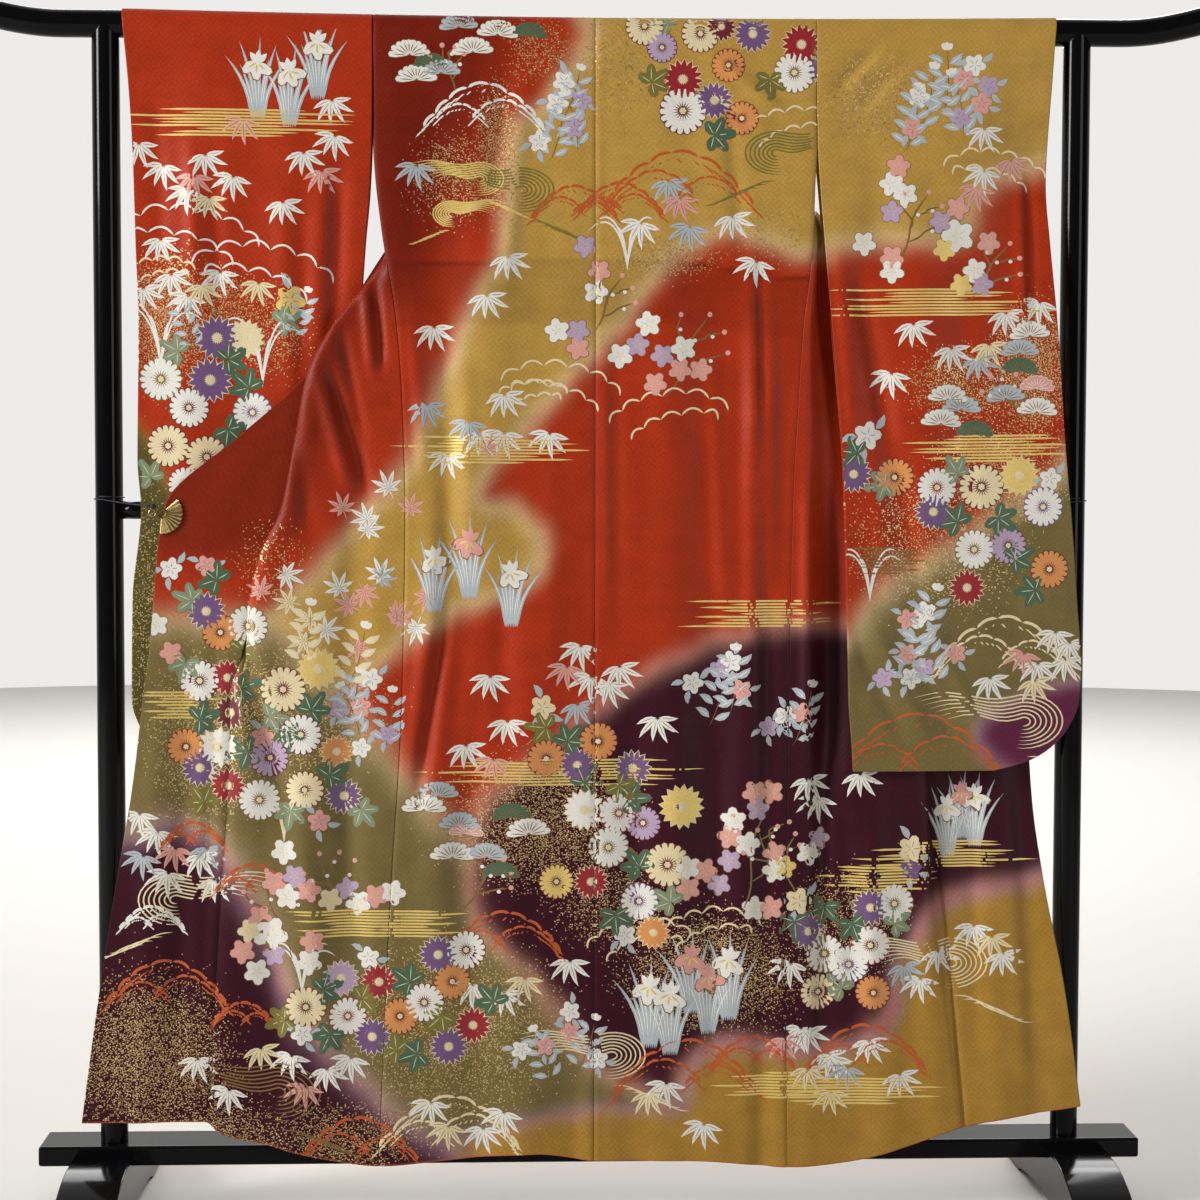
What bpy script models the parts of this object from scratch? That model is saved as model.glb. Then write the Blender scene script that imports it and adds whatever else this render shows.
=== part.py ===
"""Furisode kimono hung over a black lacquered kimono stand, seen from its back.

Frame: metres, X to the right of the back view, Y away from the viewer, Z up.
The origin is on the floor under the middle of the stand. The kimono hangs over
the stand's top bar with its back in front, its sleeves spread along the bar,
and its fronts drawn out to both sides: the left front passes through the
underarm gap and lies over the left sleeve, the right front lies behind the
right sleeve.
"""
import math

import bmesh
import bpy
import numpy as np
from mathutils import Vector

CM = 0.01
GAP = 0.0003

# Stand, in metres
BAR_RADIUS = 0.0195
BAR_HEIGHT = 1.717
BAR_HALF_LENGTH = 0.95
BAR_SAG = 0.006
SAG_HALF_SPAN = 0.66
BAR_RISE = 0.040
BAR_RISE_START = 0.76
POST_X = 0.698
POST_RADIUS = 0.0198
RAIL_RADIUS = 0.013
RAIL_HEIGHT = 1.025
BEAM_HALF_LENGTH = 0.803
BEAM_FRONT = -0.032
BEAM_BACK = 0.053
BEAM_LOW = 0.076
BEAM_HIGH = 0.105
BEAM_ROUND = 0.004
FOOT_HALF_LENGTH = 0.25
FOOT_WIDTH = 0.086
FOOT_OFFSET = 0.012
FOOT_TOP = 0.088
FOOT_ROUND = 0.003
TOE_LENGTH = 0.085
ARCH_HEIGHT = 0.016

# Cloth, in metres
CLOTH = 0.002
HANG_RADIUS = BAR_RADIUS + 0.0005 + CLOTH / 2
CLOTH_TOP = BAR_HEIGHT + HANG_RADIUS
WRIST_OPENING = 0.23
SLEEVE_DROP = 1.086
COLLAR_WIDTH = 0.055
OKUMI_TIP_DROP = 0.235
COLLAR_END_DROP = 0.705
LEAF_SPACE = 0.0023
CROWN_GAP = 0.0004
COLLAR_BEHIND = 0.0028
SLEEVE_CLOSES = 0.04

# Cloth, in cm
BAR_DEPTH = 2.1
SAG_FADES = (60.0, 150.0)
HEM_STRETCH_FROM = 97.0
BACK_STEPS = 11
OKUMI_STEPS = 7
SLEEVE_STEPS = 10
SLEEVE_FOOT_FROM = 90.0
NECK_HALF_WIDTH = 8.0
NECK_DROP = 1.2
COLLAR_LAP = 0.35
COLLAR_ROWS = 18

# Turns of the drawn-out fronts, in cm
SEAM = 0.03
TURN_LEAD = 0.6
LIP_SHARE = 0.07
LIP_DROPS = (31.0, 37.0)
TURN_SHARES = (0.35, 0.7)
SIDE_NAMES = {-1: "left_x", 1: "right_x"}

# Clips and cords, in metres
FAN_RADIUS = 0.030
FAN_HUB_RADIUS = 0.0075
FAN_RIBS = 11
FAN_FROM = math.radians(-97)
FAN_TO = math.radians(42)
FAN_LEAF = 0.0009
FAN_PLEAT = 0.0016
RING_RADIUS = 0.005
RING_WIRE = 0.0008
RING_STEPS = 20
CORD_RADIUS = 0.001
CORD_HEIGHT = 1.0402
CORD_TURN = 380
CORD_SLIDE = 0.0045
CORD_STEPS = 20
CORD_DIP = 0.0012
KNOT_RADIUS = 0.0035
KNOT_SHAPE = (1.25, 0.95, 1.0)
HUB_THICKNESS = 0.002
HUB_BEFORE = 0.0026
RING_BEFORE = 0.0015
DISC_RADIUS = 0.009
DISC_THICKNESS = 0.0025
DISC_ROUND = 0.0008
LEFT_CLIP = (-0.617, -0.0425, 1.0215)
RIGHT_CLIP = (0.590, -0.0250, 1.022)
LEFT_KNOT_ASIDE = 0.0015
RIGHT_KNOT_FROM_CLIP = (0.0135, 0.0, 0.008)

# Drops below the top of the bar where each cloth grid has a row, in cm
LEFT_DROPS = (
    0, 0.16, 0.62, 1.3, 2.1, 6, 9, 12, 18.3, 24, 29, 33, 35, 38, 43, 49, 56, 63, 70, 78, 87, 92,
    97, 108, 120, 131, 142, 154, 166)
RIGHT_DROPS = (
    0, 0.16, 0.62, 1.3, 2.1, 6, 9, 12, 18.3, 24, 26.5, 29, 33, 37, 42, 48, 55, 62, 70, 78, 87,
    97, 108, 116, 124, 132, 142, 154, 166)
SLEEVE_DROPS = (
    0, 0.16, 0.62, 1.3, 2.1, 6, 12, 18.3, 24, 31, 40, 50, 61, 73, 84, 92, 98.5, 103,
    106.4, 108.6)

# Side seams out from the centre seam, and the depth of the back and of a front along them,
# in cm; depth is toward the viewer when negative
BODY_COLUMNS = ("drop", "left_x", "right_x", "back_y", "front_y")
BODY_TABLE = (
    (0, 31.8, 31.8, -2.1, 2.1),
    (2.1, 31.8, 31.8, -2.1, 2.1),
    (6, 31.8, 31.8, -2.2, 1.9),
    (12, 31.8, 31.8, -2.4, 1.5),
    (18.3, 31.7, 31.8, -2.7, 1.1),
    (24, 31.3, 31.5, -3.4, -1.0),
    (29, 30.7, 31.3, -3.9, -2.8),
    (33, 30.1, 31.1, -4.3, -3.9),
    (37, 29.4, 30.7, -4.6, -4.55),
    (44, 28.4, 29.8, -4.9, -4.9),
    (55, 27.6, 29.1, -5.0, -5.0),
    (70, 27.2, 28.4, -5.1, -5.1),
    (98, 27.7, 28.0, -5.1, -5.1),
    (127, 29.4, 27.7, -5.1, -5.1),
    (166, 31.2, 28.2, -5.2, -5.2))

# Each front, as the places across it where it turns, in cm out from the centre seam:
# outward fold, inward fold, okumi seam and collar line or free edge,
# and the depths of the run on top, of the run back and of the run below
FRONT_COLUMNS = ("drop", "fold_out", "fold_in", "okumi", "edge", "top_y", "mid_y", "under_y")
LEFT_FRONT_TABLE = (
    (0, 30.9, 10.1, 9.0, 9.0, 2.1, 2.1, 2.1),
    (2.1, 30.9, 10.6, 10.0, 10.0, 2.1, 2.1, 2.2),
    (6, 30.9, 13.3, 12.8, 12.8, 1.9, 1.9, 2.4),
    (9, 30.9, 14.3, 14.6, 14.6, 1.7, 1.7, 2.6),
    (12, 30.9, 12.6, 16.4, 16.4, 1.5, 1.5, 2.3),
    (18.3, 30.2, 14.1, 20.4, 20.4, 1.1, 1.1, 1.9),
    (23.5, 29.7, 15.0, 23.0, 23.6, -0.6, -0.4, 0.4),
    (29, 29.4, 15.7, 24.9, 27.0, -2.0, -1.7, -0.9),
    (33, 29.5, 16.4, 26.3, 29.6, -3.1, -2.4, -1.7),
    (37, 31.6, 19.2, 27.5, 32.1, -3.9, -3.3, -2.7),
    (44, 37.1, 25.9, 30.0, 36.5, -5.1, -4.3, -3.5),
    (51.7, 41.0, 31.6, 32.8, 41.2, -5.8, -4.7, -3.8),
    (60, 42.6, 36.2, 38.6, 50.2, -6.0, -4.8, -3.9),
    (70.5, 44.7, 41.2, 44.2, 61.3, -6.0, -4.9, -4.0),
    (78, 48.0, 45.6, 47.3, 62.5, -6.0, -5.0, -4.1),
    (87, 49.6, 47.8, 49.2, 63.2, -5.9, -5.1, -4.4),
    (92, 49.8, 49.6, 50.6, 63.7, -5.9, -5.0, -4.4),
    (97, 50.0, 51.1, 52.0, 64.4, -5.8, -5.0, -4.5),
    (110, 50.7, 51.6, 52.4, 65.9, -5.3, -5.1, -4.8),
    (130, 52.5, 53.1, 53.7, 68.9, -5.1, -5.0, -4.9),
    (166, 54.5, 55.0, 55.5, 73.7, -5.0, -4.9, -4.9))
RIGHT_FRONT_TABLE = (
    (0, 30.9, 10.1, 9.0, 9.0, 2.1, 2.1, 2.1),
    (2.1, 30.9, 10.6, 10.0, 10.0, 2.1, 2.1, 2.2),
    (6, 30.9, 13.4, 12.9, 12.9, 1.9, 1.9, 2.4),
    (9, 30.9, 14.4, 14.7, 14.7, 1.7, 1.7, 2.6),
    (12, 30.9, 12.7, 16.6, 16.6, 1.5, 1.5, 2.3),
    (18.3, 30.0, 14.2, 20.8, 20.8, 1.1, 1.1, 1.9),
    (24, 28.9, 15.2, 23.4, 24.2, -0.3, 0.7, 1.5),
    (29, 33.2, 16.2, 25.2, 27.4, -0.5, 0.6, 1.5),
    (33, 34.2, 17.6, 26.8, 30.0, -0.7, 0.2, 1.1),
    (37, 34.9, 21.0, 28.0, 32.6, -1.0, -0.1, 0.8),
    (44, 36.8, 25.5, 31.0, 37.6, -1.8, -0.9, 0.0),
    (51.7, 39.8, 30.5, 34.1, 43.0, -2.6, -1.7, -0.8),
    (60, 42.0, 35.3, 39.0, 50.5, -3.2, -2.4, -1.6),
    (70.5, 44.0, 39.7, 43.4, 60.0, -3.6, -2.9, -2.2),
    (80, 46.0, 42.7, 45.2, 61.8, -3.8, -3.1, -2.4),
    (97, 47.6, 45.5, 47.2, 63.0, -3.9, -3.2, -2.5),
    (108, 48.2, 46.6, 48.0, 63.5, -4.1, -3.4, -2.7),
    (116, 48.5, 47.2, 48.6, 64.1, -4.5, -3.7, -2.9),
    (124, 48.7, 49.0, 50.0, 65.1, -4.7, -3.9, -3.2),
    (132, 49.3, 50.4, 51.2, 66.3, -4.8, -4.0, -3.5),
    (145, 50.8, 51.6, 52.4, 68.5, -4.7, -4.3, -4.0),
    (166, 53.2, 53.8, 54.3, 71.2, -4.9, -4.7, -4.6))

# Run of a front from its side seam to its outward fold: share of the way out and share of the
# change in depth; the right front keeps a flat lip beside the seam before it falls back
LEFT_RUN = ((0.0, 0.0), (0.18, 0.06), (0.38, 0.32), (0.58, 0.64), (0.8, 0.9))
RIGHT_RUN = ((0.0, 0.0), (0.14, 0.0), (0.3, 0.6), (0.46, 1.0), (0.72, 1.0))

# Sleeves: inner and outer edge out from the centre seam, and the depth of both leaves, in cm
SLEEVE_COLUMNS = ("drop", "inner", "outer", "near_y", "far_y")
LEFT_SLEEVE_TABLE = (
    (0, 31.8, 67.3, -2.1, 2.1),
    (3.3, 31.8, 67.0, -2.1, 2.1),
    (10, 31.8, 66.4, -2.4, 1.6),
    (18.3, 31.9, 66.0, -2.7, 1.1),
    (25, 32.2, 65.8, -2.5, 0.6),
    (33, 32.9, 65.6, -2.2, 0.1),
    (45, 33.6, 65.2, -2.2, -0.8),
    (64, 34.2, 65.4, -2.6, -1.6),
    (71, 34.4, 64.9, -2.9, -2.0),
    (84, 34.7, 66.2, -2.9, -1.9),
    (98.5, 35.0, 66.4, -2.9, -2.0),
    (102.5, 35.1, 65.2, -2.9, -2.1),
    (105.3, 35.1, 62.9, -2.9, -2.2),
    (107.4, 35.2, 59.8, -2.9, -2.3),
    (108.6, 35.2, 55.5, -2.9, -2.4))
RIGHT_SLEEVE_TABLE = (
    (0, 31.8, 66.5, -2.1, 2.1),
    (3.3, 31.8, 66.2, -2.1, 2.1),
    (10, 31.8, 65.8, -2.4, 1.6),
    (18.3, 31.9, 65.4, -2.7, 1.1),
    (25, 32.3, 65.1, -3.2, -0.2),
    (33, 32.9, 65.6, -4.0, -1.7),
    (45, 33.9, 66.6, -4.9, -3.2),
    (64, 35.5, 67.9, -5.4, -4.3),
    (71, 35.8, 68.6, -5.5, -4.5),
    (84, 36.2, 69.6, -5.6, -4.7),
    (94, 36.5, 70.3, -5.6, -4.8),
    (98.5, 36.6, 70.1, -5.6, -4.8),
    (102.5, 36.9, 68.5, -5.6, -4.9),
    (105.3, 37.1, 66.0, -5.6, -5.0),
    (107.4, 37.2, 62.4, -5.6, -5.1),
    (108.6, 37.3, 57.6, -5.6, -5.2))

# Height of the hem above the floor along the whole lower edge, in cm
HEM_COLUMNS = ("x", "height")
HEM_TABLE = (
    (-74.0, 14.4),
    (-56.2, 14.5),
    (-53.7, 12.7),
    (-47.1, 11.1),
    (-38.9, 8.9),
    (-31.1, 7.9),
    (-19.5, 8.8),
    (-8.4, 9.5),
    (0.0, 8.4),
    (15.5, 8.2),
    (28.8, 7.2),
    (36.7, 7.8),
    (45.6, 10.0),
    (53.5, 12.6),
    (72.0, 15.8))

# Largest folds: place at its top and foot, drops where it starts and ends, depth and half width, in cm
FOLD_COLUMNS = ("top_x", "foot_x", "start", "end", "depth", "width")
BACK_FOLDS = (
    (-22.5, -24.0, 6, 60, 0.35, 3.2),
    (-13.5, -17.5, 10, 95, -0.45, 3.6),
    (-24.0, -22.0, 60, 150, -0.55, 2.6),
    (-19.0, -17.0, 62, 166, 0.60, 2.6),
    (-9.0, -10.5, 70, 166, -0.50, 3.2),
    (-4.0, -3.0, 96, 166, 0.45, 2.4),
    (10.0, 12.0, 20, 140, -0.45, 3.4),
    (17.5, 16.5, 34, 130, 0.45, 2.6),
    (22.5, 21.0, 30, 150, -0.60, 2.2),
    (26.0, 24.5, 44, 166, 0.50, 1.8),
    (5.0, 6.0, 90, 166, 0.40, 2.8))
LEFT_SLEEVE_FOLDS = (
    (-41.0, -43.0, 8, 100, -0.30, 3.0),
    (-49.0, -52.0, 14, 80, 0.28, 3.2),
    (-58.0, -59.0, 20, 96, -0.25, 3.0))
RIGHT_SLEEVE_FOLDS = (
    (40.0, 43.0, 10, 100, 0.30, 2.8),
    (46.0, 50.0, 16, 104, -0.35, 3.0),
    (57.0, 61.0, 20, 100, 0.30, 3.2))
LEFT_OKUMI_FOLDS = (
    (-57.5, -60.5, 78, 158, 0.45, 2.2),
    (-61.5, -66.0, 92, 166, -0.35, 1.8))
RIGHT_OKUMI_FOLDS = (
    (56.0, 60.0, 84, 160, -0.40, 2.4),
    (61.0, 66.0, 100, 166, 0.30, 1.8))
LEFT_FRONT_FOLDS = (
    (-33.5, -37.0, 52, 150, 0.45, 2.2),
    (-39.0, -44.0, 78, 166, -0.50, 2.6))
RIGHT_FRONT_FOLDS = (
    (33.0, 33.5, 60, 158, 1.30, 2.0),
    (40.0, 42.0, 96, 166, -0.40, 2.6))

CORAL_RED = (0.50, 0.075, 0.022, 1)
OCHRE = (0.50, 0.32, 0.08, 1)
PLUM = (0.075, 0.012, 0.035, 1)
OLIVE = (0.22, 0.17, 0.06, 1)
LACQUER = (0.006, 0.006, 0.007, 1)
BRASS = (0.62, 0.47, 0.20, 1)
BLACK_CORD = (0.015, 0.010, 0.020, 1)


def clear_scene():
    """Remove every object of the scene that the script runs in."""
    for thing in list(bpy.data.objects):
        bpy.data.objects.remove(thing, do_unlink=True)


def new_collection(name):
    """Make a collection in the scene."""
    collection = bpy.data.collections.new(name)
    bpy.context.scene.collection.children.link(collection)
    return collection


def new_material(name, colour, roughness, metallic=0.0):
    """Make a Principled material."""
    material = bpy.data.materials.new(name)
    material.use_nodes = True
    shader = material.node_tree.nodes["Principled BSDF"]
    shader.inputs["Base Color"].default_value = colour
    shader.inputs["Roughness"].default_value = roughness
    shader.inputs["Metallic"].default_value = metallic
    return material


def smooth_step(value, start, end):
    """Rise from 0 at start to 1 at end with no slope at either."""
    part = np.clip((np.asarray(value, float) - start) / (end - start), 0.0, 1.0)
    return part * part * (3.0 - 2.0 * part)


def column(table, names, name, at):
    """Read a table's column at places of its first column, on a curve without overshoot."""
    rows = np.array(table, float)
    x = rows[:, 0]
    y = rows[:, names.index(name)]
    step = np.diff(x)
    slope = np.diff(y) / step
    tangent = np.zeros(len(x))
    tangent[0] = slope[0]
    tangent[-1] = slope[-1]
    before, after = slope[:-1], slope[1:]
    turns = before * after <= 0
    weight_a = 2 * step[1:] + step[:-1]
    weight_b = step[1:] + 2 * step[:-1]
    safe_before = np.where(turns, 1.0, before)
    safe_after = np.where(turns, 1.0, after)
    mean = (weight_a + weight_b) / (weight_a / safe_before + weight_b / safe_after)
    tangent[1:-1] = np.where(turns, 0.0, mean)
    at = np.clip(np.asarray(at, float), x[0], x[-1])
    cell = np.clip(np.searchsorted(x, at, side="right") - 1, 0, len(step) - 1)
    t = (at - x[cell]) / step[cell]
    value = (2 * t**3 - 3 * t**2 + 1) * y[cell]
    value += (t**3 - 2 * t**2 + t) * step[cell] * tangent[cell]
    value += (3 * t**2 - 2 * t**3) * y[cell + 1]
    value += (t**3 - t**2) * step[cell] * tangent[cell + 1]
    return value


def bar_sag(x):
    """How far the bar hangs below its ends at x, in metres."""
    return BAR_SAG * np.clip(1.0 - (x / SAG_HALF_SPAN) ** 2, 0.0, 1.0)


def fold_depth(folds, x, drop):
    """Depth of the folds at x and drop, all in cm: soft ridges and troughs along slanting lines."""
    total = np.zeros(np.broadcast(x, drop).shape)
    for row in folds:
        top_x, foot_x, start, end, depth, width = row
        along = np.clip((drop - start) / (end - start), 0.0, 1.0)
        centre = top_x + (foot_x - top_x) * along
        runs_out = end >= 160
        fade = smooth_step(along, 0.0, 0.25)
        if not runs_out:
            fade = fade * (1.0 - smooth_step(along, 0.75, 1.0))
        total += depth * fade * np.exp(-((x - centre) / width) ** 2)
    return total


def over_bar(depth, drop):
    """Draw depth in to the crown of the bar over the first centimetres, in cm."""
    radius = HANG_RADIUS / CM
    rise = np.clip(1.0 - drop / radius, 0.0, 1.0)
    return depth * np.maximum(np.sqrt(1.0 - rise * rise), CROWN_GAP / 2 / HANG_RADIUS)


def place(x, depth, drop):
    """World points from x, depth and drop in cm, the top following the bar's sag."""
    sag = bar_sag(x * CM) * (1.0 - smooth_step(drop, *SAG_FADES))
    return np.stack([x * CM, depth * CM, CLOTH_TOP - drop * CM - sag], axis=-1)


def drops_to_hem(x, drops):
    """Stretch the lower drops so that the last one ends on the hem at x, in cm."""
    last = drops[-1]
    hem = CLOTH_TOP / CM - column(HEM_TABLE, HEM_COLUMNS, "height", x)
    lower = smooth_step(drops, HEM_STRETCH_FROM, last)
    return drops + (hem - last) * lower


def back_points(side):
    """Back panel: from the centre seam to the side seam, and from the bar's crown to the hem."""
    share = np.linspace(0.0, 1.0, BACK_STEPS)[None, :]
    drops = np.array(LEFT_DROPS if side < 0 else RIGHT_DROPS, float)[:, None]
    reach = column(BODY_TABLE, BODY_COLUMNS, SIDE_NAMES[side], drops)
    x = side * (SEAM / 2 + (reach - SEAM) * share)
    drop = drops_to_hem(x, drops)
    depth = column(BODY_TABLE, BODY_COLUMNS, "back_y", drops)
    hold = smooth_step(np.abs(x), 0.0, 3.0) * (1.0 - smooth_step(share, 0.84, 1.0))
    depth = depth + hold * fold_depth(BACK_FOLDS, x, drop)
    return place(x, over_bar(depth, drop), drop)


def front_section(side, drop):
    """Points across a front from its side seam to its okumi seam, with the two turns of its fold."""
    table = LEFT_FRONT_TABLE if side < 0 else RIGHT_FRONT_TABLE
    run_on_top = LEFT_RUN if side < 0 else RIGHT_RUN
    read = {name: column(table, FRONT_COLUMNS, name, drop) for name in FRONT_COLUMNS[1:]}
    seam_x = column(BODY_TABLE, BODY_COLUMNS, SIDE_NAMES[side], drop)
    seam_y = column(BODY_TABLE, BODY_COLUMNS, "front_y", drop)
    lead_in = np.clip((seam_x - read["fold_out"]) * 0.4, -TURN_LEAD, TURN_LEAD)
    lead_back = np.clip((read["fold_in"] - read["fold_out"]) * 0.35, -TURN_LEAD, TURN_LEAD)
    leave = np.clip((read["okumi"] - read["fold_in"]) * 0.4, -TURN_LEAD, TURN_LEAD)
    first = read["mid_y"] - read["top_y"]
    second = read["under_y"] - read["mid_y"]
    keys = [
        (seam_x + SEAM / 2, seam_y),
        (read["fold_out"] + lead_in, read["top_y"]),
        (read["fold_out"], read["top_y"] + TURN_SHARES[0] * first),
        (read["fold_out"] + lead_back, read["top_y"] + TURN_SHARES[1] * first),
        (read["fold_in"] - lead_back, read["mid_y"]),
        (read["fold_in"], read["mid_y"] + TURN_SHARES[0] * second),
        (read["fold_in"] + leave, read["mid_y"] + TURN_SHARES[1] * second),
        (read["okumi"] - SEAM / 2, read["under_y"])]
    run_back = ((0.0, 0.0), (0.5, 0.5))
    run_below = ((0.0, 0.0), (0.5, 0.7))
    turned = ((0.0, 0.0),)
    spans = (run_on_top, turned, turned, run_back, turned, turned, run_below)
    shaped = smooth_step(drop, *LIP_DROPS)
    across = []
    depth = []
    for (x0, y0), (x1, y1), span in zip(keys[:-1], keys[1:], spans):
        for part, ease in span:
            across.append(x0 + (x1 - x0) * part)
            depth.append(y0 + (y1 - y0) * (part + (ease - part) * shaped))
    across.append(keys[-1][0])
    depth.append(keys[-1][1])
    return side * np.concatenate(across, axis=1), np.concatenate(depth, axis=1)


def front_points(side):
    """Front panel from the bar's crown to the hem, drawn out sideways with one deep fold."""
    folds = LEFT_FRONT_FOLDS if side < 0 else RIGHT_FRONT_FOLDS
    drops = np.array(LEFT_DROPS if side < 0 else RIGHT_DROPS, float)[:, None]
    x, depth = front_section(side, drops)
    drop = drops_to_hem(x, drops)
    share = np.linspace(0.0, 1.0, x.shape[1])[None, :]
    hold = smooth_step(share, LIP_SHARE, 0.2) * (1.0 - smooth_step(share, 0.85, 1.0))
    depth = depth + hold * fold_depth(folds, x, drop)
    return place(x, over_bar(depth, drop), drop)


def okumi_points(side):
    """Okumi: the tapered strip between a front's inner seam and the collar line or free edge."""
    table = LEFT_FRONT_TABLE if side < 0 else RIGHT_FRONT_TABLE
    folds = LEFT_OKUMI_FOLDS if side < 0 else RIGHT_OKUMI_FOLDS
    first = OKUMI_TIP_DROP / CM
    below = [drop for drop in (LEFT_DROPS if side < 0 else RIGHT_DROPS) if drop > first + 2]
    drops = np.array([first] + below, float)[:, None]
    share = np.linspace(0.0, 1.0, OKUMI_STEPS)[None, :]
    inner = column(table, FRONT_COLUMNS, "okumi", drops) + SEAM / 2
    outer = column(table, FRONT_COLUMNS, "edge", drops)
    across = inner + (outer - inner) * share
    drop = drops_to_hem(side * across, drops)
    depth = column(table, FRONT_COLUMNS, "under_y", drops) + 0.0 * share
    hold = smooth_step(share, 0.0, 0.3)
    depth = depth + hold * fold_depth(folds, side * across, drop)
    return place(side * across, depth, drop)


def sleeve_points(side, leaf):
    """One leaf of a sleeve: near is before the bar and far is behind it."""
    table = LEFT_SLEEVE_TABLE if side < 0 else RIGHT_SLEEVE_TABLE
    folds = LEFT_SLEEVE_FOLDS if side < 0 else RIGHT_SLEEVE_FOLDS
    drop = np.array(SLEEVE_DROPS, float)[:, None]
    share = np.linspace(0.0, 1.0, SLEEVE_STEPS)[None, :]
    inner = column(table, SLEEVE_COLUMNS, "inner", drop) + SEAM
    outer = column(table, SLEEVE_COLUMNS, "outer", drop)
    across = inner + (outer - inner) * share
    near = column(table, SLEEVE_COLUMNS, "near_y", drop)
    far = column(table, SLEEVE_COLUMNS, "far_y", drop)
    closed = smooth_step(drop, SLEEVE_CLOSES / CM, WRIST_OPENING / CM) * smooth_step(share, 0.55, 1.0)
    closed = np.maximum(closed, smooth_step(drop, SLEEVE_FOOT_FROM, SLEEVE_DROP / CM) + 0.0 * share)
    middle = (near + far) / 2
    half = (far - near) / 2
    half = half + (LEAF_SPACE / CM / 2 - half) * closed
    depth = middle + (half if leaf == "far" else -half)
    hold = smooth_step(share, 0.0, 0.12) * smooth_step(drop, 3.0, 20.0)
    depth = depth + hold * fold_depth(folds, side * across, drop)
    return place(side * across, over_bar(depth, drop), drop + 0.0 * share)


def collar_points():
    """Collar band: up the left front's edge, behind the neck and down the right front's edge."""
    radius = (HANG_RADIUS + CLOTH + 2 * GAP) / CM
    lowest = COLLAR_END_DROP / CM
    down = lowest * np.linspace(0.0, 1.0, COLLAR_ROWS + 1)[1:] ** 1.15
    edge = []
    for side, table in ((-1, LEFT_FRONT_TABLE), (1, RIGHT_FRONT_TABLE)):
        x = side * column(table, FRONT_COLUMNS, "edge", down)
        under = column(table, FRONT_COLUMNS, "under_y", down)
        path = np.stack([x, down + NECK_DROP, under], axis=1)
        edge.append(path[::-1] if side < 0 else path)
    neck_x = np.linspace(-NECK_HALF_WIDTH, NECK_HALF_WIDTH, 6)
    neck = np.stack([neck_x, np.full(6, NECK_DROP), np.full(6, BAR_DEPTH)], axis=1)
    path = np.concatenate([edge[0], neck, edge[1]])
    run = np.gradient(path[:, :2], axis=0)
    run /= np.linalg.norm(run, axis=1)[:, None]
    width = np.linspace(-COLLAR_LAP, COLLAR_WIDTH / CM - COLLAR_LAP, 4)
    x = path[:, None, 0] - run[:, None, 1] * width[None, :]
    drop = path[:, None, 1] + run[:, None, 0] * width[None, :]
    behind = path[:, None, 2] + COLLAR_BEHIND / CM + 0.0 * width[None, :]
    rise = np.clip(1.0 - drop / radius, 0.0, 1.0)
    depth = np.where(drop < radius, radius * np.sqrt(1.0 - rise * rise), behind)
    depth = np.maximum(depth, behind - 0.05)
    return place(x, depth, drop - (radius - HANG_RADIUS / CM))


def sheet_object(name, points, material, collection, thickness=CLOTH):
    """Make a wall from a grid of points with Solidify on the open surface."""
    rows, columns = points.shape[:2]
    index = np.arange(rows * columns).reshape(rows, columns)
    faces = np.stack(
        [index[:-1, :-1], index[1:, :-1], index[1:, 1:], index[:-1, 1:]], axis=-1).reshape(-1, 4)
    mesh = bpy.data.meshes.new(name)
    mesh.from_pydata(points.reshape(-1, 3).tolist(), [], faces.tolist())
    mesh.shade_smooth()
    thing = bpy.data.objects.new(name, mesh)
    mesh.materials.append(material)
    collection.objects.link(thing)
    wall = thing.modifiers.new("cloth thickness", "SOLIDIFY")
    wall.thickness = thickness
    wall.offset = 0.0
    wall.use_even_offset = False
    return thing


def mesh_object(name, build, material, collection, location=(0, 0, 0), rotation=(0, 0, 0)):
    """Make an object from a function that fills a bmesh."""
    mesh = bpy.data.meshes.new(name)
    shape = bmesh.new()
    build(shape)
    bmesh.ops.recalc_face_normals(shape, faces=shape.faces)
    shape.to_mesh(mesh)
    shape.free()
    mesh.shade_smooth()
    mesh.set_sharp_from_angle(angle=math.radians(35))
    thing = bpy.data.objects.new(name, mesh)
    thing.location = location
    thing.rotation_euler = rotation
    if material is not None:
        mesh.materials.append(material)
    collection.objects.link(thing)
    return thing


def add_bevel(thing, width, segments=2):
    """Round an object's sharp edges."""
    bevel = thing.modifiers.new("rounded edges", "BEVEL")
    bevel.width = width
    bevel.segments = segments
    bevel.limit_method = "ANGLE"
    bevel.angle_limit = math.radians(35)


def cylinder(radius, length, sides):
    """A function that fills a bmesh with a capped cylinder along Z."""
    def build(shape):
        bmesh.ops.create_cone(
            shape, cap_ends=True, segments=sides, radius1=radius, radius2=radius, depth=length)
    return build


def tube_object(name, path, radius, resolution, material, collection, closed=False):
    """Make a tube along a list of points, with filled caps unless it closes on itself."""
    curve = bpy.data.curves.new(name, "CURVE")
    curve.dimensions = "3D"
    curve.bevel_depth = radius
    curve.bevel_resolution = resolution
    curve.use_fill_caps = not closed
    spline = curve.splines.new("POLY")
    spline.points.add(len(path) - 1)
    for point, place_at in zip(spline.points, path):
        point.co = (*place_at, 1.0)
    spline.use_cyclic_u = closed
    curve.materials.append(material)
    thing = bpy.data.objects.new(name, curve)
    collection.objects.link(thing)
    return thing


def cut_away(thing, cutter):
    """Take a cutter out of an object."""
    cut = thing.modifiers.new("seat", "BOOLEAN")
    cut.operation = "DIFFERENCE"
    cut.object = cutter
    cut.solver = "EXACT"


def make_cutter(name, radius, length, location, rotation, cutters):
    """Make a hidden cylinder that cuts a round seat."""
    cutter = mesh_object(name, cylinder(radius, length, 48), None, cutters, location, rotation)
    cutter.hide_render = True
    cutter.display_type = "WIRE"
    return cutter


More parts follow.
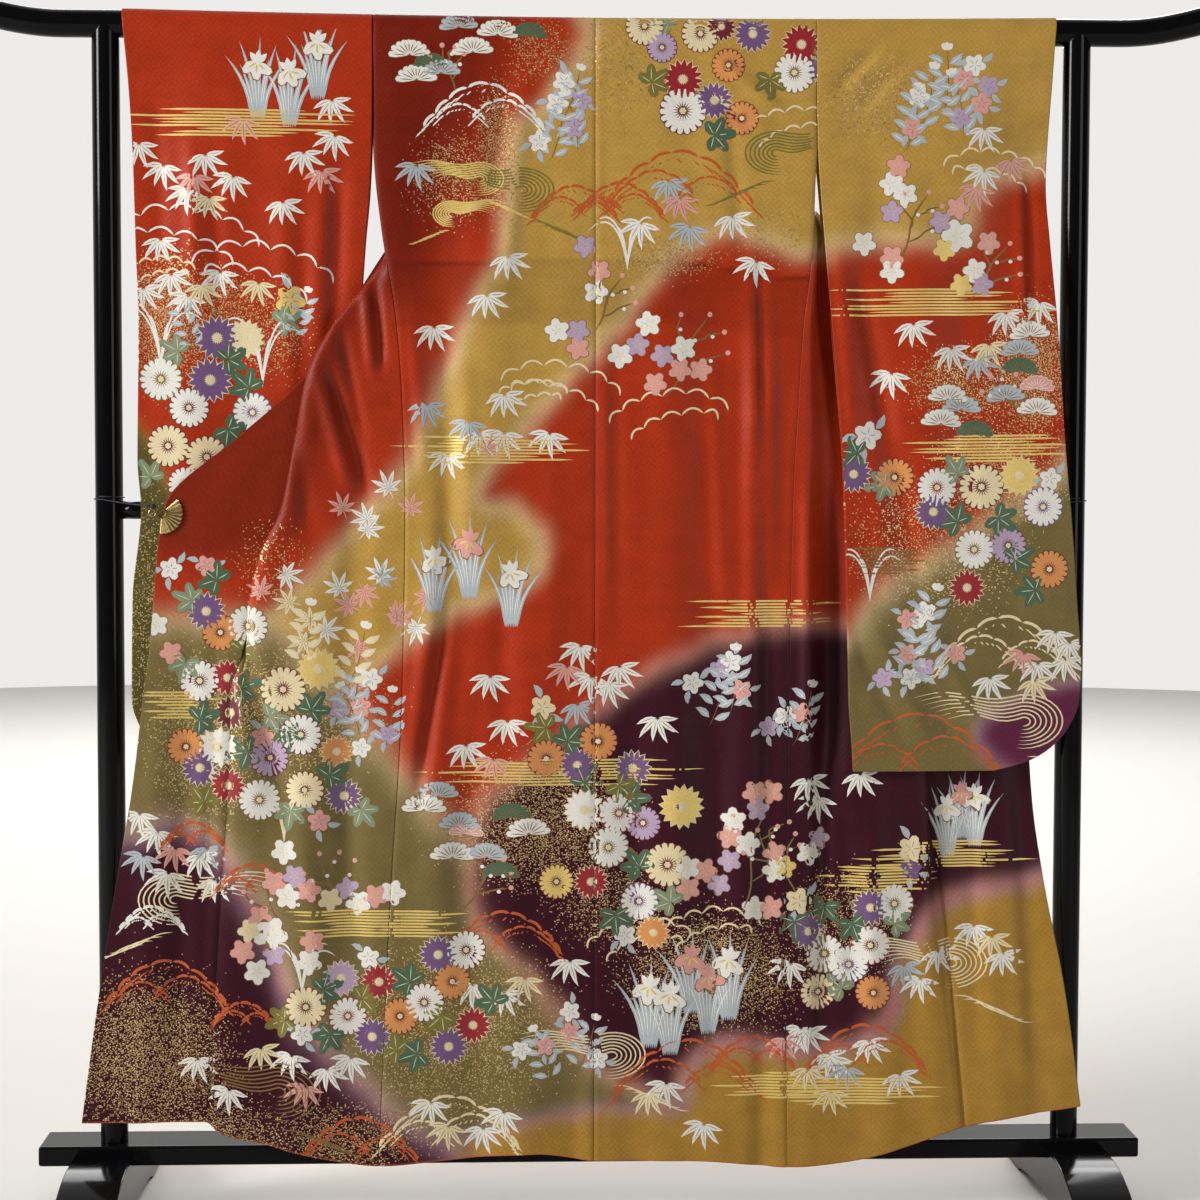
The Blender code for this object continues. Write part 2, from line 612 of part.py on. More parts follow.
def bar_path():
    """The bar's centre line: a slight sag between the posts and ends that curve up."""
    x = np.concatenate([
        np.linspace(-BAR_HALF_LENGTH, -BAR_RISE_START, 8),
        np.linspace(-POST_X, POST_X, 11),
        np.linspace(BAR_RISE_START, BAR_HALF_LENGTH, 8)])
    rise = smooth_step(np.abs(x), BAR_RISE_START, 2 * BAR_HALF_LENGTH - BAR_RISE_START)
    z = BAR_HEIGHT - bar_sag(x) + 2 * BAR_RISE * rise
    return np.stack([x, np.zeros(len(x)), z], axis=1)


def build_stand(parts, cutters):
    """Top bar, posts, rail, lower beam and two arched feet."""
    lacquer = new_material("black lacquer", LACQUER, 0.18)
    tube_object("top_bar", bar_path().tolist(), BAR_RADIUS, 4, lacquer, parts)
    bar_seat = make_cutter(
        "cutter_bar_seat", BAR_RADIUS + GAP, 2.0, (0, 0, BAR_HEIGHT), (0, math.pi / 2, 0), cutters)
    rail = mesh_object(
        "middle_rail", cylinder(RAIL_RADIUS, 2 * POST_X, 24), lacquer, parts,
        (0, 0, RAIL_HEIGHT), (0, math.pi / 2, 0))
    post_length = BAR_HEIGHT - BEAM_HIGH - GAP
    for side, label in ((-1, "left"), (1, "right")):
        post = mesh_object(
            "post_" + label, cylinder(POST_RADIUS, post_length, 28), lacquer, parts,
            (side * POST_X, 0, BEAM_HIGH + GAP + post_length / 2))
        cut_away(post, bar_seat)
        rail_seat = make_cutter(
            "cutter_rail_seat_" + label, POST_RADIUS + GAP, 0.2, (side * POST_X, 0, RAIL_HEIGHT),
            (0, 0, 0), cutters)
        cut_away(rail, rail_seat)

    def beam_block(shape):
        size = (2 * BEAM_HALF_LENGTH, BEAM_BACK - BEAM_FRONT, BEAM_HIGH - BEAM_LOW)
        bmesh.ops.create_cube(shape, size=1.0)
        bmesh.ops.scale(shape, vec=size, verts=shape.verts)

    beam = mesh_object(
        "lower_beam", beam_block, lacquer, parts,
        (0, (BEAM_BACK + BEAM_FRONT) / 2, (BEAM_HIGH + BEAM_LOW) / 2))
    add_bevel(beam, BEAM_ROUND, 3)
    for side, label in ((-1, "left"), (1, "right")):
        build_foot("foot_" + label, side, lacquer, parts)


def foot_outline():
    """Side outline of a foot, as points of Y and Z: arched top with a notch, hollow underside."""
    half = FOOT_HALF_LENGTH
    notch = BEAM_LOW - GAP
    toe = [(0.005, 0.012), (0.022, 0.034), (0.055, 0.058), (0.10, 0.076), (0.14, FOOT_TOP - 0.003)]
    back = [(half - inset, z) for inset, z in toe]
    front = [(inset - half, z) for inset, z in reversed(toe)]
    seat = [
        (BEAM_BACK + GAP, FOOT_TOP), (BEAM_BACK + GAP, notch),
        (BEAM_FRONT - GAP, notch), (BEAM_FRONT - GAP, FOOT_TOP)]
    arch = []
    for step in range(7):
        turn = math.pi * step / 6
        arch.append((-(half - TOE_LENGTH) * math.cos(turn), ARCH_HEIGHT * math.sin(turn)))
    return back + seat + front + [(-half, 0.0)] + arch + [(half, 0.0)]


def build_foot(name, side, material, collection):
    """Arched foot that runs from front to back under a post: its side outline, extruded."""
    curve = bpy.data.curves.new(name, "CURVE")
    curve.dimensions = "2D"
    curve.fill_mode = "BOTH"
    curve.extrude = FOOT_WIDTH / 2
    outline = foot_outline()
    spline = curve.splines.new("POLY")
    spline.points.add(len(outline) - 1)
    for point, (y, z) in zip(spline.points, outline):
        point.co = (y, z, 0.0, 1.0)
    spline.use_cyclic_u = True
    curve.materials.append(material)
    foot = bpy.data.objects.new(name, curve)
    foot.location = (side * (POST_X + FOOT_OFFSET), 0, 0)
    foot.rotation_euler = (math.pi / 2, 0, math.pi / 2)
    collection.objects.link(foot)
    foot.modifiers.new("joined caps", "WELD")
    add_bevel(foot, FOOT_ROUND, 2)


def fan_points():
    """Pleated leaf of the fan clip around its hub, as a grid of radius and angle."""
    angles = np.linspace(FAN_FROM, FAN_TO, 2 * FAN_RIBS + 1)[:, None]
    radii = np.linspace(FAN_HUB_RADIUS * 0.55, FAN_RADIUS, 4)[None, :]
    ridge = np.where(np.arange(2 * FAN_RIBS + 1) % 2 == 0, 0.0, 1.0)[:, None]
    height = FAN_PLEAT * ridge * radii / FAN_RADIUS
    rounded = radii - 0.0012 * (1 - ridge) * (radii == radii.max())
    return np.stack([rounded * np.cos(angles), -height, rounded * np.sin(angles)], axis=-1)


def knot_bead(shape):
    """Fill a bmesh with the knot of a cord: a ball pressed a little flat."""
    bmesh.ops.create_uvsphere(shape, u_segments=12, v_segments=8, radius=KNOT_RADIUS)
    bmesh.ops.scale(shape, vec=KNOT_SHAPE, verts=shape.verts)


def cord_path(side, knot, leave):
    """A turn round the post that leaves it at its tangent and runs to the knot, hanging a little."""
    reach = POST_RADIUS + CORD_RADIUS + GAP
    path = []
    for step in range(CORD_STEPS + 1):
        left = 1 - step / CORD_STEPS
        turn = math.radians(-90 + side * (leave + CORD_TURN * left))
        path.append(Vector((
            side * POST_X + reach * math.cos(turn), reach * math.sin(turn),
            CORD_HEIGHT + CORD_SLIDE * left)))
    start = path[-1]
    end = knot + (start - knot).normalized() * (1.3 * KNOT_RADIUS + GAP)
    for step in (0.35, 0.7, 1.0):
        hang = Vector((0, 0, -4 * CORD_DIP * step * (1 - step)))
        path.append(start.lerp(end, step) + hang)
    return [tuple(point) for point in path]


def build_clips(parts):
    """Brass fan clip on the left front, plain clip on the right front, and their cords."""
    brass = new_material("aged brass", BRASS, 0.32, 1.0)
    cord = new_material("black silk cord", BLACK_CORD, 0.6)
    turned = (math.pi / 2, 0, 0)
    left_at = Vector(LEFT_CLIP)
    right_at = Vector(RIGHT_CLIP)
    fan = sheet_object("clip_left_fan", fan_points(), brass, parts, FAN_LEAF)
    fan.location = left_at
    mesh_object(
        "clip_left_hub", cylinder(FAN_HUB_RADIUS, HUB_THICKNESS, 20), brass, parts,
        left_at + Vector((0, -HUB_BEFORE, 0)), turned)
    ring_out = FAN_HUB_RADIUS + RING_RADIUS + RING_WIRE + GAP
    ring_at = left_at + Vector((-ring_out, -RING_BEFORE, 0))
    turns = [math.radians(360 * step / RING_STEPS) for step in range(RING_STEPS)]
    circle = [
        tuple(ring_at + RING_RADIUS * Vector((math.cos(turn), 0, math.sin(turn)))) for turn in turns]
    tube_object("clip_left_ring", circle, RING_WIRE, 2, brass, parts, closed=True)
    disc = mesh_object(
        "clip_right", cylinder(DISC_RADIUS, DISC_THICKNESS, 24), brass, parts, right_at, turned)
    add_bevel(disc, DISC_ROUND, 1)
    above = RING_RADIUS + RING_WIRE + GAP + KNOT_RADIUS
    left_knot = ring_at + Vector((LEFT_KNOT_ASIDE, 0, above))
    right_knot = right_at + Vector(RIGHT_KNOT_FROM_CLIP)
    for side, label, knot, leave in ((-1, "left", left_knot, 15), (1, "right", right_knot, 2)):
        mesh_object("knot_" + label, knot_bead, cord, parts, knot)
        tube_object("cord_" + label, cord_path(side, knot, leave), CORD_RADIUS, 2, cord, parts)


def build_kimono(parts):
    """The sewn pieces of the kimono."""
    red = new_material("red silk", CORAL_RED, 0.5)
    gold = new_material("ochre silk", OCHRE, 0.5)
    purple = new_material("plum silk", PLUM, 0.5)
    olive = new_material("olive silk", OLIVE, 0.5)
    sheet_object("back_left", back_points(-1), red, parts)
    sheet_object("back_right", back_points(1)[:, ::-1], purple, parts)
    sheet_object("front_left", front_points(-1)[:, ::-1], olive, parts)
    sheet_object("front_right", front_points(1), red, parts)
    sheet_object("okumi_left", okumi_points(-1)[:, ::-1], olive, parts)
    sheet_object("okumi_right", okumi_points(1), gold, parts)
    for side, label in ((-1, "left"), (1, "right")):
        for leaf in ("near", "far"):
            sheet_object("sleeve_" + label + "_" + leaf, sleeve_points(side, leaf), red, parts)
    sheet_object("collar", collar_points(), red, parts)


def main():
    """Build the whole object."""
    clear_scene()
    parts = new_collection("furisode_on_stand")
    cutters = new_collection("cutters")
    build_stand(parts, cutters)
    build_kimono(parts)
    build_clips(parts)


main()
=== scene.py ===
"""Looks of a long-sleeved silk kimono that hangs over a black lacquered kimono stand.

Every piece lies on the form of its solid, in metres: X to the right of the back view, Y away
from the viewer, Z up from the floor. Places on the cloth are named in centimetres: x out from
the centre seam, to the right, and drop down from the top of the cloth. The ground is dyed in
named areas, with painted shade in a few areas, along seams, below the tuck and in the grooves
of the weave, and the pattern on it is made of thin raised leaves of thread and paint.
"""

import math

import bpy
import numpy as np
from mathutils import Matrix, Vector


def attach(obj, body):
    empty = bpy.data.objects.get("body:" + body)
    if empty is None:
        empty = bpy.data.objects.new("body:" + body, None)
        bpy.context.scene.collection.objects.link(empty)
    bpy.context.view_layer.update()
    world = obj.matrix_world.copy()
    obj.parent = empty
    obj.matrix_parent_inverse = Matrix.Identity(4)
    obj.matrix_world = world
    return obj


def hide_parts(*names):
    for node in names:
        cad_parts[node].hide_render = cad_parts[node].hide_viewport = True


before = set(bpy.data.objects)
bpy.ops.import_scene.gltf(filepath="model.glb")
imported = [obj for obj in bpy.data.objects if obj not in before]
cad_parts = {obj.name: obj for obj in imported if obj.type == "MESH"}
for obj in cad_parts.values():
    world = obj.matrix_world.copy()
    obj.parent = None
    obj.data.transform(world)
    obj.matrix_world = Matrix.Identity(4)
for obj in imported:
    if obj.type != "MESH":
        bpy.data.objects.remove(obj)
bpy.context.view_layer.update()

bl_info = {
    "name": "Furisode kimono on its stand",
    "version": (1, 0, 0),
    "blender": (4, 5, 0),
    "location": "3D View > Sidebar > Kimono",
    "description": "Dyed and stitched silk, black lacquer and aged brass of a hung kimono",
    "category": "Object",
}

CM = 0.01
MM = 0.001
GAP = 0.0003

# Stand, in metres
BAR_RADIUS = 0.0195
BAR_HEIGHT = 1.717
BAR_HALF_LENGTH = 0.95
BAR_SAG = 0.006
SAG_HALF_SPAN = 0.66
BAR_RISE = 0.040
BAR_RISE_START = 0.76
POST_X = 0.698
POST_RADIUS = 0.0198
RAIL_RADIUS = 0.013
RAIL_HEIGHT = 1.025
BEAM_HALF_LENGTH = 0.803
BEAM_FRONT = -0.032
BEAM_BACK = 0.053
BEAM_LOW = 0.076
BEAM_HIGH = 0.105
BEAM_ROUND = 0.004
FOOT_HALF_LENGTH = 0.25
FOOT_WIDTH = 0.086
FOOT_OFFSET = 0.012
FOOT_TOP = 0.088
FOOT_ROUND = 0.003
TOE_LENGTH = 0.085
ARCH_HEIGHT = 0.016

# Cloth, in metres
CLOTH = 0.002
HANG_RADIUS = BAR_RADIUS + 0.0005 + CLOTH / 2
CLOTH_TOP = BAR_HEIGHT + HANG_RADIUS
WRIST_OPENING = 0.23
SLEEVE_DROP = 1.086
COLLAR_WIDTH = 0.055
OKUMI_TIP_DROP = 0.235
COLLAR_END_DROP = 0.705
LEAF_SPACE = 0.0023
COLLAR_BEHIND = 0.0028
SLEEVE_CLOSES = 0.04

# Cloth, in cm
BAR_DEPTH = 2.1
SAG_FADES = (60.0, 150.0)
HEM_STRETCH_FROM = 97.0
SLEEVE_FOOT_FROM = 90.0
NECK_HALF_WIDTH = 8.0
NECK_DROP = 1.2
COLLAR_LAP = 0.35
COLLAR_ROWS = 120
COLLAR_COLUMNS = 12
NECK_ROWS = 25
HEM_DROP = 166.0
BACK_WIDTH = 31.8
FRONT_WIDTH = 32.0
OKUMI_WIDTH = 16.0
SLEEVE_WIDTH = 34.0

# Turns of the drawn-out fronts, in cm
TURN_LEAD = 0.6
LIP_DROPS = (31.0, 37.0)
TURN_SHARES = (0.35, 0.7)
SIDE_NAMES = {-1: "left_x", 1: "right_x"}

# Clips and cords, in metres
FAN_RADIUS = 0.030
FAN_HUB_RADIUS = 0.0075
FAN_RIBS = 11
FAN_FROM = math.radians(-97)
FAN_TO = math.radians(42)
FAN_LEAF = 0.0009
FAN_PLEAT = 0.0016
FAN_START_SHARE = 0.55
FAN_RIM = 0.0004
FAN_SCALLOP = 0.0012
FAN_STEPS = 4
RING_RADIUS = 0.005
RING_WIRE = 0.0008
CORD_RADIUS = 0.001
CORD_HEIGHT = 1.0402
CORD_TURN = 380
CORD_SLIDE = 0.0045
CORD_DIP = 0.0012
KNOT_RADIUS = 0.0035
KNOT_SHAPE = (1.25, 0.95, 1.0)
KNOT_DENT = 0.07
CORD_STOP = 1.3
HUB_THICKNESS = 0.002
HUB_BEFORE = 0.0026
RING_BEFORE = 0.0015
DISC_RADIUS = 0.009
DISC_THICKNESS = 0.0025
DISC_ROUND = 0.0008
LEFT_CLIP = (-0.617, -0.0425, 1.0215)
RIGHT_CLIP = (0.590, -0.0250, 1.022)
LEFT_KNOT_ASIDE = 0.0015
RIGHT_KNOT_FROM_CLIP = (0.0135, 0.0, 0.008)

# Sides of round pieces
BAR_SIDES = 56
POST_SIDES = 48
RAIL_SIDES = 40
DISC_SIDES = 40
WIRE_SIDES = 12
KNOT_SIDES = 32
CORD_SIDES = 10
FLOOR_SIDES = 96

# Looks: sides, skin of the cloth, flat sizes of the pieces and the camera
SIDES = ((-1, "left"), (1, "right"))
SHELL = 0.0014
TURNED_ROWS = 4
BACK_FLAT = (0.318, 1.66)
FRONT_FLAT = (0.34, 1.66)
OKUMI_FLAT = (0.19, 1.40)
OKUMI_SHARE = 0.75
SLEEVE_FLAT = (0.35, 1.086)
COLLAR_FLAT = (0.055, 2.0)
CORD_LEAVES = {-1: 15, 1: 2}
CAMERA_PLACE = (-0.1293, -3.5, 1.0808)
CAMERA_TURN = (0.05287, 0.0395, 0.002355)
CAMERA_LENS = 72.38
CAMERA_SENSOR = 36.0
CAMERA_REACH = 60.0
ROOM_COLOUR = (1.0, 0.985, 0.965, 1.0)

# Area lights: name, place, aim, size and share of the main light's power
LIGHTS = (
    ("main light", (-6.6, -3.2, 3.9), (0.0, 0.0, 0.95), (2.1, 3.5), 1.0),
    ("fill light", (3.2, -3.6, 1.6), (0.1, 0.0, 0.9), (1.6, 2.4), 0.055),
    ("back light", (0.6, 3.2, 3.0), (0.0, 0.0, 1.0), (2.4, 1.4), 0.08),
    ("floor light", (0.0, 5.4, 3.2), (0.0, 4.8, 0.0), (6.0, 3.0), 0.4),
)

# Side seams out from the centre seam, and the depth of the back and of a front along them,
# in cm; depth is toward the viewer when negative
BODY_TABLE = (
    ("drop", "left_x", "right_x", "back_y", "front_y"),
    (0, 31.8, 31.8, -2.1, 2.1), (2.1, 31.8, 31.8, -2.1, 2.1), (6, 31.8, 31.8, -2.2, 1.9),
    (12, 31.8, 31.8, -2.4, 1.5), (18.3, 31.7, 31.8, -2.7, 1.1), (24, 31.3, 31.5, -3.4, -1),
    (29, 30.7, 31.3, -3.9, -2.8), (33, 30.1, 31.1, -4.3, -3.9), (37, 29.4, 30.7, -4.6, -4.55),
    (44, 28.4, 29.8, -4.9, -4.9), (55, 27.6, 29.1, -5, -5), (70, 27.2, 28.4, -5.1, -5.1),
    (98, 27.7, 28, -5.1, -5.1), (127, 29.4, 27.7, -5.1, -5.1), (166, 31.2, 28.2, -5.2, -5.2))

# Each front, as the places across it where it turns, in cm out from the centre seam:
# outward fold, inward fold, okumi seam and collar line or free edge,
# and the depths of the run on top, of the run back and of the run below
FRONT_TABLES = {-1: (
    ("drop", "fold_out", "fold_in", "okumi", "edge", "top_y", "mid_y", "under_y"),
    (0, 30.9, 10.1, 9, 9, 2.1, 2.1, 2.1), (2.1, 30.9, 10.6, 10, 10, 2.1, 2.1, 2.2),
    (6, 30.9, 13.3, 12.8, 12.8, 1.9, 1.9, 2.4), (9, 30.9, 14.3, 14.6, 14.6, 1.7, 1.7, 2.6),
    (12, 30.9, 12.6, 16.4, 16.4, 1.5, 1.5, 2.3), (18.3, 30.2, 14.1, 20.4, 20.4, 1.1, 1.1, 1.9),
    (23.5, 29.7, 15, 23, 23.6, -0.6, -0.4, 0.4), (29, 29.4, 15.7, 24.9, 27, -2, -1.7, -0.9),
    (33, 29.5, 16.4, 26.3, 29.6, -3.1, -2.4, -1.7), (37, 31.6, 19.2, 27.5, 32.1, -3.9, -3.3, -2.7),
    (44, 37.1, 25.9, 30, 36.5, -5.1, -4.3, -3.5), (51.7, 41, 31.6, 32.8, 41.2, -5.8, -4.7, -3.8),
    (60, 42.6, 36.2, 38.6, 50.2, -6, -4.8, -3.9), (70.5, 44.7, 41.2, 44.2, 61.3, -6, -4.9, -4),
    (78, 48, 45.6, 47.3, 62.5, -6, -5, -4.1), (87, 49.6, 47.8, 49.2, 63.2, -5.9, -5.1, -4.4),
    (92, 49.8, 49.6, 50.6, 63.7, -5.9, -5, -4.4), (97, 50, 51.1, 52, 64.4, -5.8, -5, -4.5),
    (110, 50.7, 51.6, 52.4, 65.9, -5.3, -5.1, -4.8), (130, 52.5, 53.1, 53.7, 68.9, -5.1, -5, -4.9),
    (166, 54.5, 55, 55.5, 73.7, -5, -4.9, -4.9)), 1: (
    ("drop", "fold_out", "fold_in", "okumi", "edge", "top_y", "mid_y", "under_y"),
    (0, 30.9, 10.1, 9, 9, 2.1, 2.1, 2.1), (2.1, 30.9, 10.6, 10, 10, 2.1, 2.1, 2.2),
    (6, 30.9, 13.4, 12.9, 12.9, 1.9, 1.9, 2.4), (9, 30.9, 14.4, 14.7, 14.7, 1.7, 1.7, 2.6),
    (12, 30.9, 12.7, 16.6, 16.6, 1.5, 1.5, 2.3), (18.3, 30, 14.2, 20.8, 20.8, 1.1, 1.1, 1.9),
    (24, 28.9, 15.2, 23.4, 24.2, -0.3, 0.7, 1.5), (29, 33.2, 16.2, 25.2, 27.4, -0.5, 0.6, 1.5),
    (33, 34.2, 17.6, 26.8, 30, -0.7, 0.2, 1.1), (37, 34.9, 21, 28, 32.6, -1, -0.1, 0.8),
    (44, 36.8, 25.5, 31, 37.6, -1.8, -0.9, 0), (51.7, 39.8, 30.5, 34.1, 43, -2.6, -1.7, -0.8),
    (60, 42, 35.3, 39, 50.5, -3.2, -2.4, -1.6), (70.5, 44, 39.7, 43.4, 60, -3.6, -2.9, -2.2),
    (80, 46, 42.7, 45.2, 61.8, -3.8, -3.1, -2.4), (97, 47.6, 45.5, 47.2, 63, -3.9, -3.2, -2.5),
    (108, 48.2, 46.6, 48, 63.5, -4.1, -3.4, -2.7), (116, 48.5, 47.2, 48.6, 64.1, -4.5, -3.7, -2.9),
    (124, 48.7, 49, 50, 65.1, -4.7, -3.9, -3.2), (132, 49.3, 50.4, 51.2, 66.3, -4.8, -4, -3.5),
    (145, 50.8, 51.6, 52.4, 68.5, -4.7, -4.3, -4), (166, 53.2, 53.8, 54.3, 71.2, -4.9, -4.7, -4.6))}

# Run of a front from its side seam to its outward fold: share of the way out and share of the
# change in depth; the right front keeps a flat lip beside the seam before it falls back
RUNS_ON_TOP = {
    -1: ((0, 0), (0.18, 0.06), (0.38, 0.32), (0.58, 0.64), (0.8, 0.9)),
    1: ((0, 0), (0.14, 0), (0.3, 0.6), (0.46, 1), (0.72, 1))}

# Sleeves: inner and outer edge out from the centre seam, and the depth of both leaves, in cm
SLEEVE_TABLES = {-1: (
    ("drop", "inner", "outer", "near_y", "far_y"),
    (0, 31.8, 67.3, -2.1, 2.1), (3.3, 31.8, 67, -2.1, 2.1), (10, 31.8, 66.4, -2.4, 1.6),
    (18.3, 31.9, 66, -2.7, 1.1), (25, 32.2, 65.8, -2.5, 0.6), (33, 32.9, 65.6, -2.2, 0.1),
    (45, 33.6, 65.2, -2.2, -0.8), (64, 34.2, 65.4, -2.6, -1.6), (71, 34.4, 64.9, -2.9, -2),
    (84, 34.7, 66.2, -2.9, -1.9), (98.5, 35, 66.4, -2.9, -2), (102.5, 35.1, 65.2, -2.9, -2.1),
    (105.3, 35.1, 62.9, -2.9, -2.2), (107.4, 35.2, 59.8, -2.9, -2.3), (108.6, 35.2, 55.5, -2.9, -2.4)), 1: (
    ("drop", "inner", "outer", "near_y", "far_y"),
    (0, 31.8, 66.5, -2.1, 2.1), (3.3, 31.8, 66.2, -2.1, 2.1), (10, 31.8, 65.8, -2.4, 1.6),
    (18.3, 31.9, 65.4, -2.7, 1.1), (25, 32.3, 65.1, -3.2, -0.2), (33, 32.9, 65.6, -4, -1.7),
    (45, 33.9, 66.6, -4.9, -3.2), (64, 35.5, 67.9, -5.4, -4.3), (71, 35.8, 68.6, -5.5, -4.5),
    (84, 36.2, 69.6, -5.6, -4.7), (94, 36.5, 70.3, -5.6, -4.8), (98.5, 36.6, 70.1, -5.6, -4.8),
    (102.5, 36.9, 68.5, -5.6, -4.9), (105.3, 37.1, 66, -5.6, -5), (107.4, 37.2, 62.4, -5.6, -5.1),
    (108.6, 37.3, 57.6, -5.6, -5.2))}

# Height of the hem above the floor along the whole lower edge, in cm
HEM_TABLE = (
    ("x", "height"),
    (-74, 14.4), (-56.2, 14.5), (-53.7, 12.7), (-47.1, 11.1), (-38.9, 8.9), (-31.1, 7.9), (-19.5, 8.8),
    (-8.4, 9.5), (0, 8.4), (15.5, 8.2), (28.8, 7.2), (36.7, 7.8), (45.6, 10), (53.5, 12.6), (72, 15.8))

# Largest folds: place at its top and foot, drops where it starts and ends, depth and half width,
# in cm
BACK_FOLDS = (
    (-22.5, -24, 6, 60, 0.35, 3.2), (-13.5, -17.5, 10, 95, -0.45, 3.6), (-24, -22, 60, 150, -0.55, 2.6),
    (-19, -17, 62, 166, 0.6, 2.6), (-9, -10.5, 70, 166, -0.5, 3.2), (-4, -3, 96, 166, 0.45, 2.4),
    (10, 12, 20, 140, -0.45, 3.4), (17.5, 16.5, 34, 130, 0.45, 2.6), (22.5, 21, 30, 150, -0.6, 2.2),
    (26, 24.5, 44, 166, 0.5, 1.8), (5, 6, 90, 166, 0.4, 2.8))
SLEEVE_FOLDS = {
    -1: ((-41, -43, 8, 100, -0.3, 3), (-49, -52, 14, 80, 0.28, 3.2), (-58, -59, 20, 96, -0.25, 3)),
    1: ((40, 43, 10, 100, 0.3, 2.8), (46, 50, 16, 104, -0.35, 3), (57, 61, 20, 100, 0.3, 3.2))}
OKUMI_FOLDS = {
    -1: ((-57.5, -60.5, 78, 158, 0.45, 2.2), (-61.5, -66, 92, 166, -0.35, 1.8)),
    1: ((56, 60, 84, 160, -0.4, 2.4), (61, 66, 100, 166, 0.3, 1.8))}
FRONT_FOLDS = {
    -1: ((-33.5, -37, 52, 150, 0.45, 2.2), (-39, -44, 78, 166, -0.5, 2.6)),
    1: ((33, 33.5, 60, 158, 1.3, 2), (40, 42, 96, 166, -0.4, 2.6))}

# How the cloth is drawn, in cm
CROWN_ROWS = 8
ROW_STEP = 0.62
COLUMN_STEP = 0.5
FRONT_COLUMN_STEP = 0.36
EDGE_PLACES = (0.0, 0.15, 0.35)
SEAM_WIDTH = 0.3
SEAM_SINK = 0.16
TUCK_DROP = 35.8
TUCK_DEPTH = 0.10
TUCK_WIDTH = 0.3
TUCK_HANGS = {-1: 0.6, 1: 2.2}
TUCK_HANG_SPAN = (10.0, 30.0)
CREASE_SHARE = 1.5
COLLAR_ROW_SPREAD = 1.15

# Where folds and creases fade in or out: cm away from a seam, drops in cm, or shares of a width
FOLDS_FROM_CENTRE = (0.0, 3.0)
FOLDS_FROM_SIDE = (2.0, 5.0)
FOLDS_FROM_OKUMI = (0.0, 4.0)
CREASES_FROM_SIDE = (0.0, 2.5)
CREASES_FROM_OKUMI = (0.0, 2.0)
CREASE_DROPS = (2.0, 9.0)
FRONT_CREASE_DROPS = (30.0, 40.0)
OKUMI_CREASE_DROPS = (60.0, 80.0)
SLEEVE_FOLD_DROPS = (3.0, 20.0)
SLEEVE_CREASE_ENDS = (102.0, 108.0)
BACK_FOLD_SHARES = (0.84, 1.0)
BACK_CREASE_SHARES = (0.05, 0.9)
OKUMI_FOLD_SHARES = (0.0, 0.3)
OKUMI_CREASE_SHARES = (0.0, 0.2)
SLEEVE_FOLD_SHARES = (0.0, 0.12)
SLEEVE_CREASE_SHARES = (0.06, 0.94)
SLEEVE_CLOSE_SHARES = (0.55, 1.0)

# Soft creases: from x and drop, to x and drop, depth and half width, in cm
BACK_CREASES = (
    (-30, 38, -26, 64, 0.28, 1.6), (-26.5, 44, -24.5, 66, -0.24, 1.3), (-21.5, 40, -21, 84, 0.34, 1.5),
    (-18.5, 48, -18, 80, -0.22, 1.4), (-21.2, 84, -25.4, 113, 0.75, 1.1),
    (-23.6, 86, -27.6, 110, -0.3, 1.5), (-17, 88, -20, 116, -0.22, 1.5),
    (-13.5, 82, -12.5, 108, 0.26, 1.7), (-12.5, 6, -16, 34, 0.24, 1.3), (-9.8, 8, -13, 40, -0.2, 1.2),
    (-6, 56, -6.5, 100, -0.16, 1.8), (-8, 110, -10, 156, 0.24, 1.7), (-3, 104, -3.5, 158, -0.18, 1.3),
    (1.4, 50, 1.6, 84, -0.16, 0.8), (3, 44, 3.4, 92, 0.16, 1.1), (5.5, 100, 6.5, 150, 0.2, 1.5),
    (12, 96, 12.5, 152, -0.22, 1.7), (16.6, 46, 18.6, 88, -0.3, 1.2), (20.6, 44, 21.2, 92, 0.34, 1.2),
    (22.2, 36, 22.8, 64, -0.16, 0.7), (23.4, 34, 24.2, 60, 0.24, 0.8), (25, 44, 25.4, 84, -0.34, 1.1),
    (30.2, 36, 28.2, 60, 0.36, 0.9), (28.2, 58, 27.8, 92, 0.4, 0.9), (23, 84, 24, 132, -0.26, 1.4),
    (18, 104, 17, 156, 0.26, 1.5), (16, 5, 28, 14.5, -0.26, 0.9), (14, 8, 24, 18, 0.18, 1),
    (19, 12, 21, 34, 0.2, 1.2))
FRONT_CREASES = {-1: (
    (-32.8, 39, -31.8, 52, -0.34, 0.8), (-31.2, 38, -30.4, 51, 0.46, 0.8),
    (-36.4, 44, -32.8, 62, 0.34, 0.9), (-39.6, 51, -34.6, 69, -0.4, 1), (-37.8, 50, -32.2, 69, 0.52, 1),
    (-43, 56, -40.5, 76, 0.3, 1.4), (-50, 61, -47, 73, 0.34, 1.5), (-54, 66, -51, 74, -0.24, 1.2),
    (-57.2, 78, -48.4, 108, -0.45, 1.5), (-54.6, 76, -42.6, 120, 0.85, 1.7),
    (-47, 104, -38, 134, -0.35, 1.8), (-61.5, 84, -61, 112, -0.24, 1.2), (-36, 106, -33, 150, 0.28, 1.7),
    (-41, 128, -37, 158, -0.26, 1.6), (-48, 124, -44, 158, 0.3, 1.6)), 1: (
    (29.8, 62, 31, 110, -0.4, 1.1), (33.8, 68, 35.2, 112, 0.75, 1.8), (36, 110, 37.5, 146, 0.3, 1.4),
    (40.5, 112, 40, 152, -0.26, 1.5), (45, 108, 47, 150, 0.3, 1.6))}
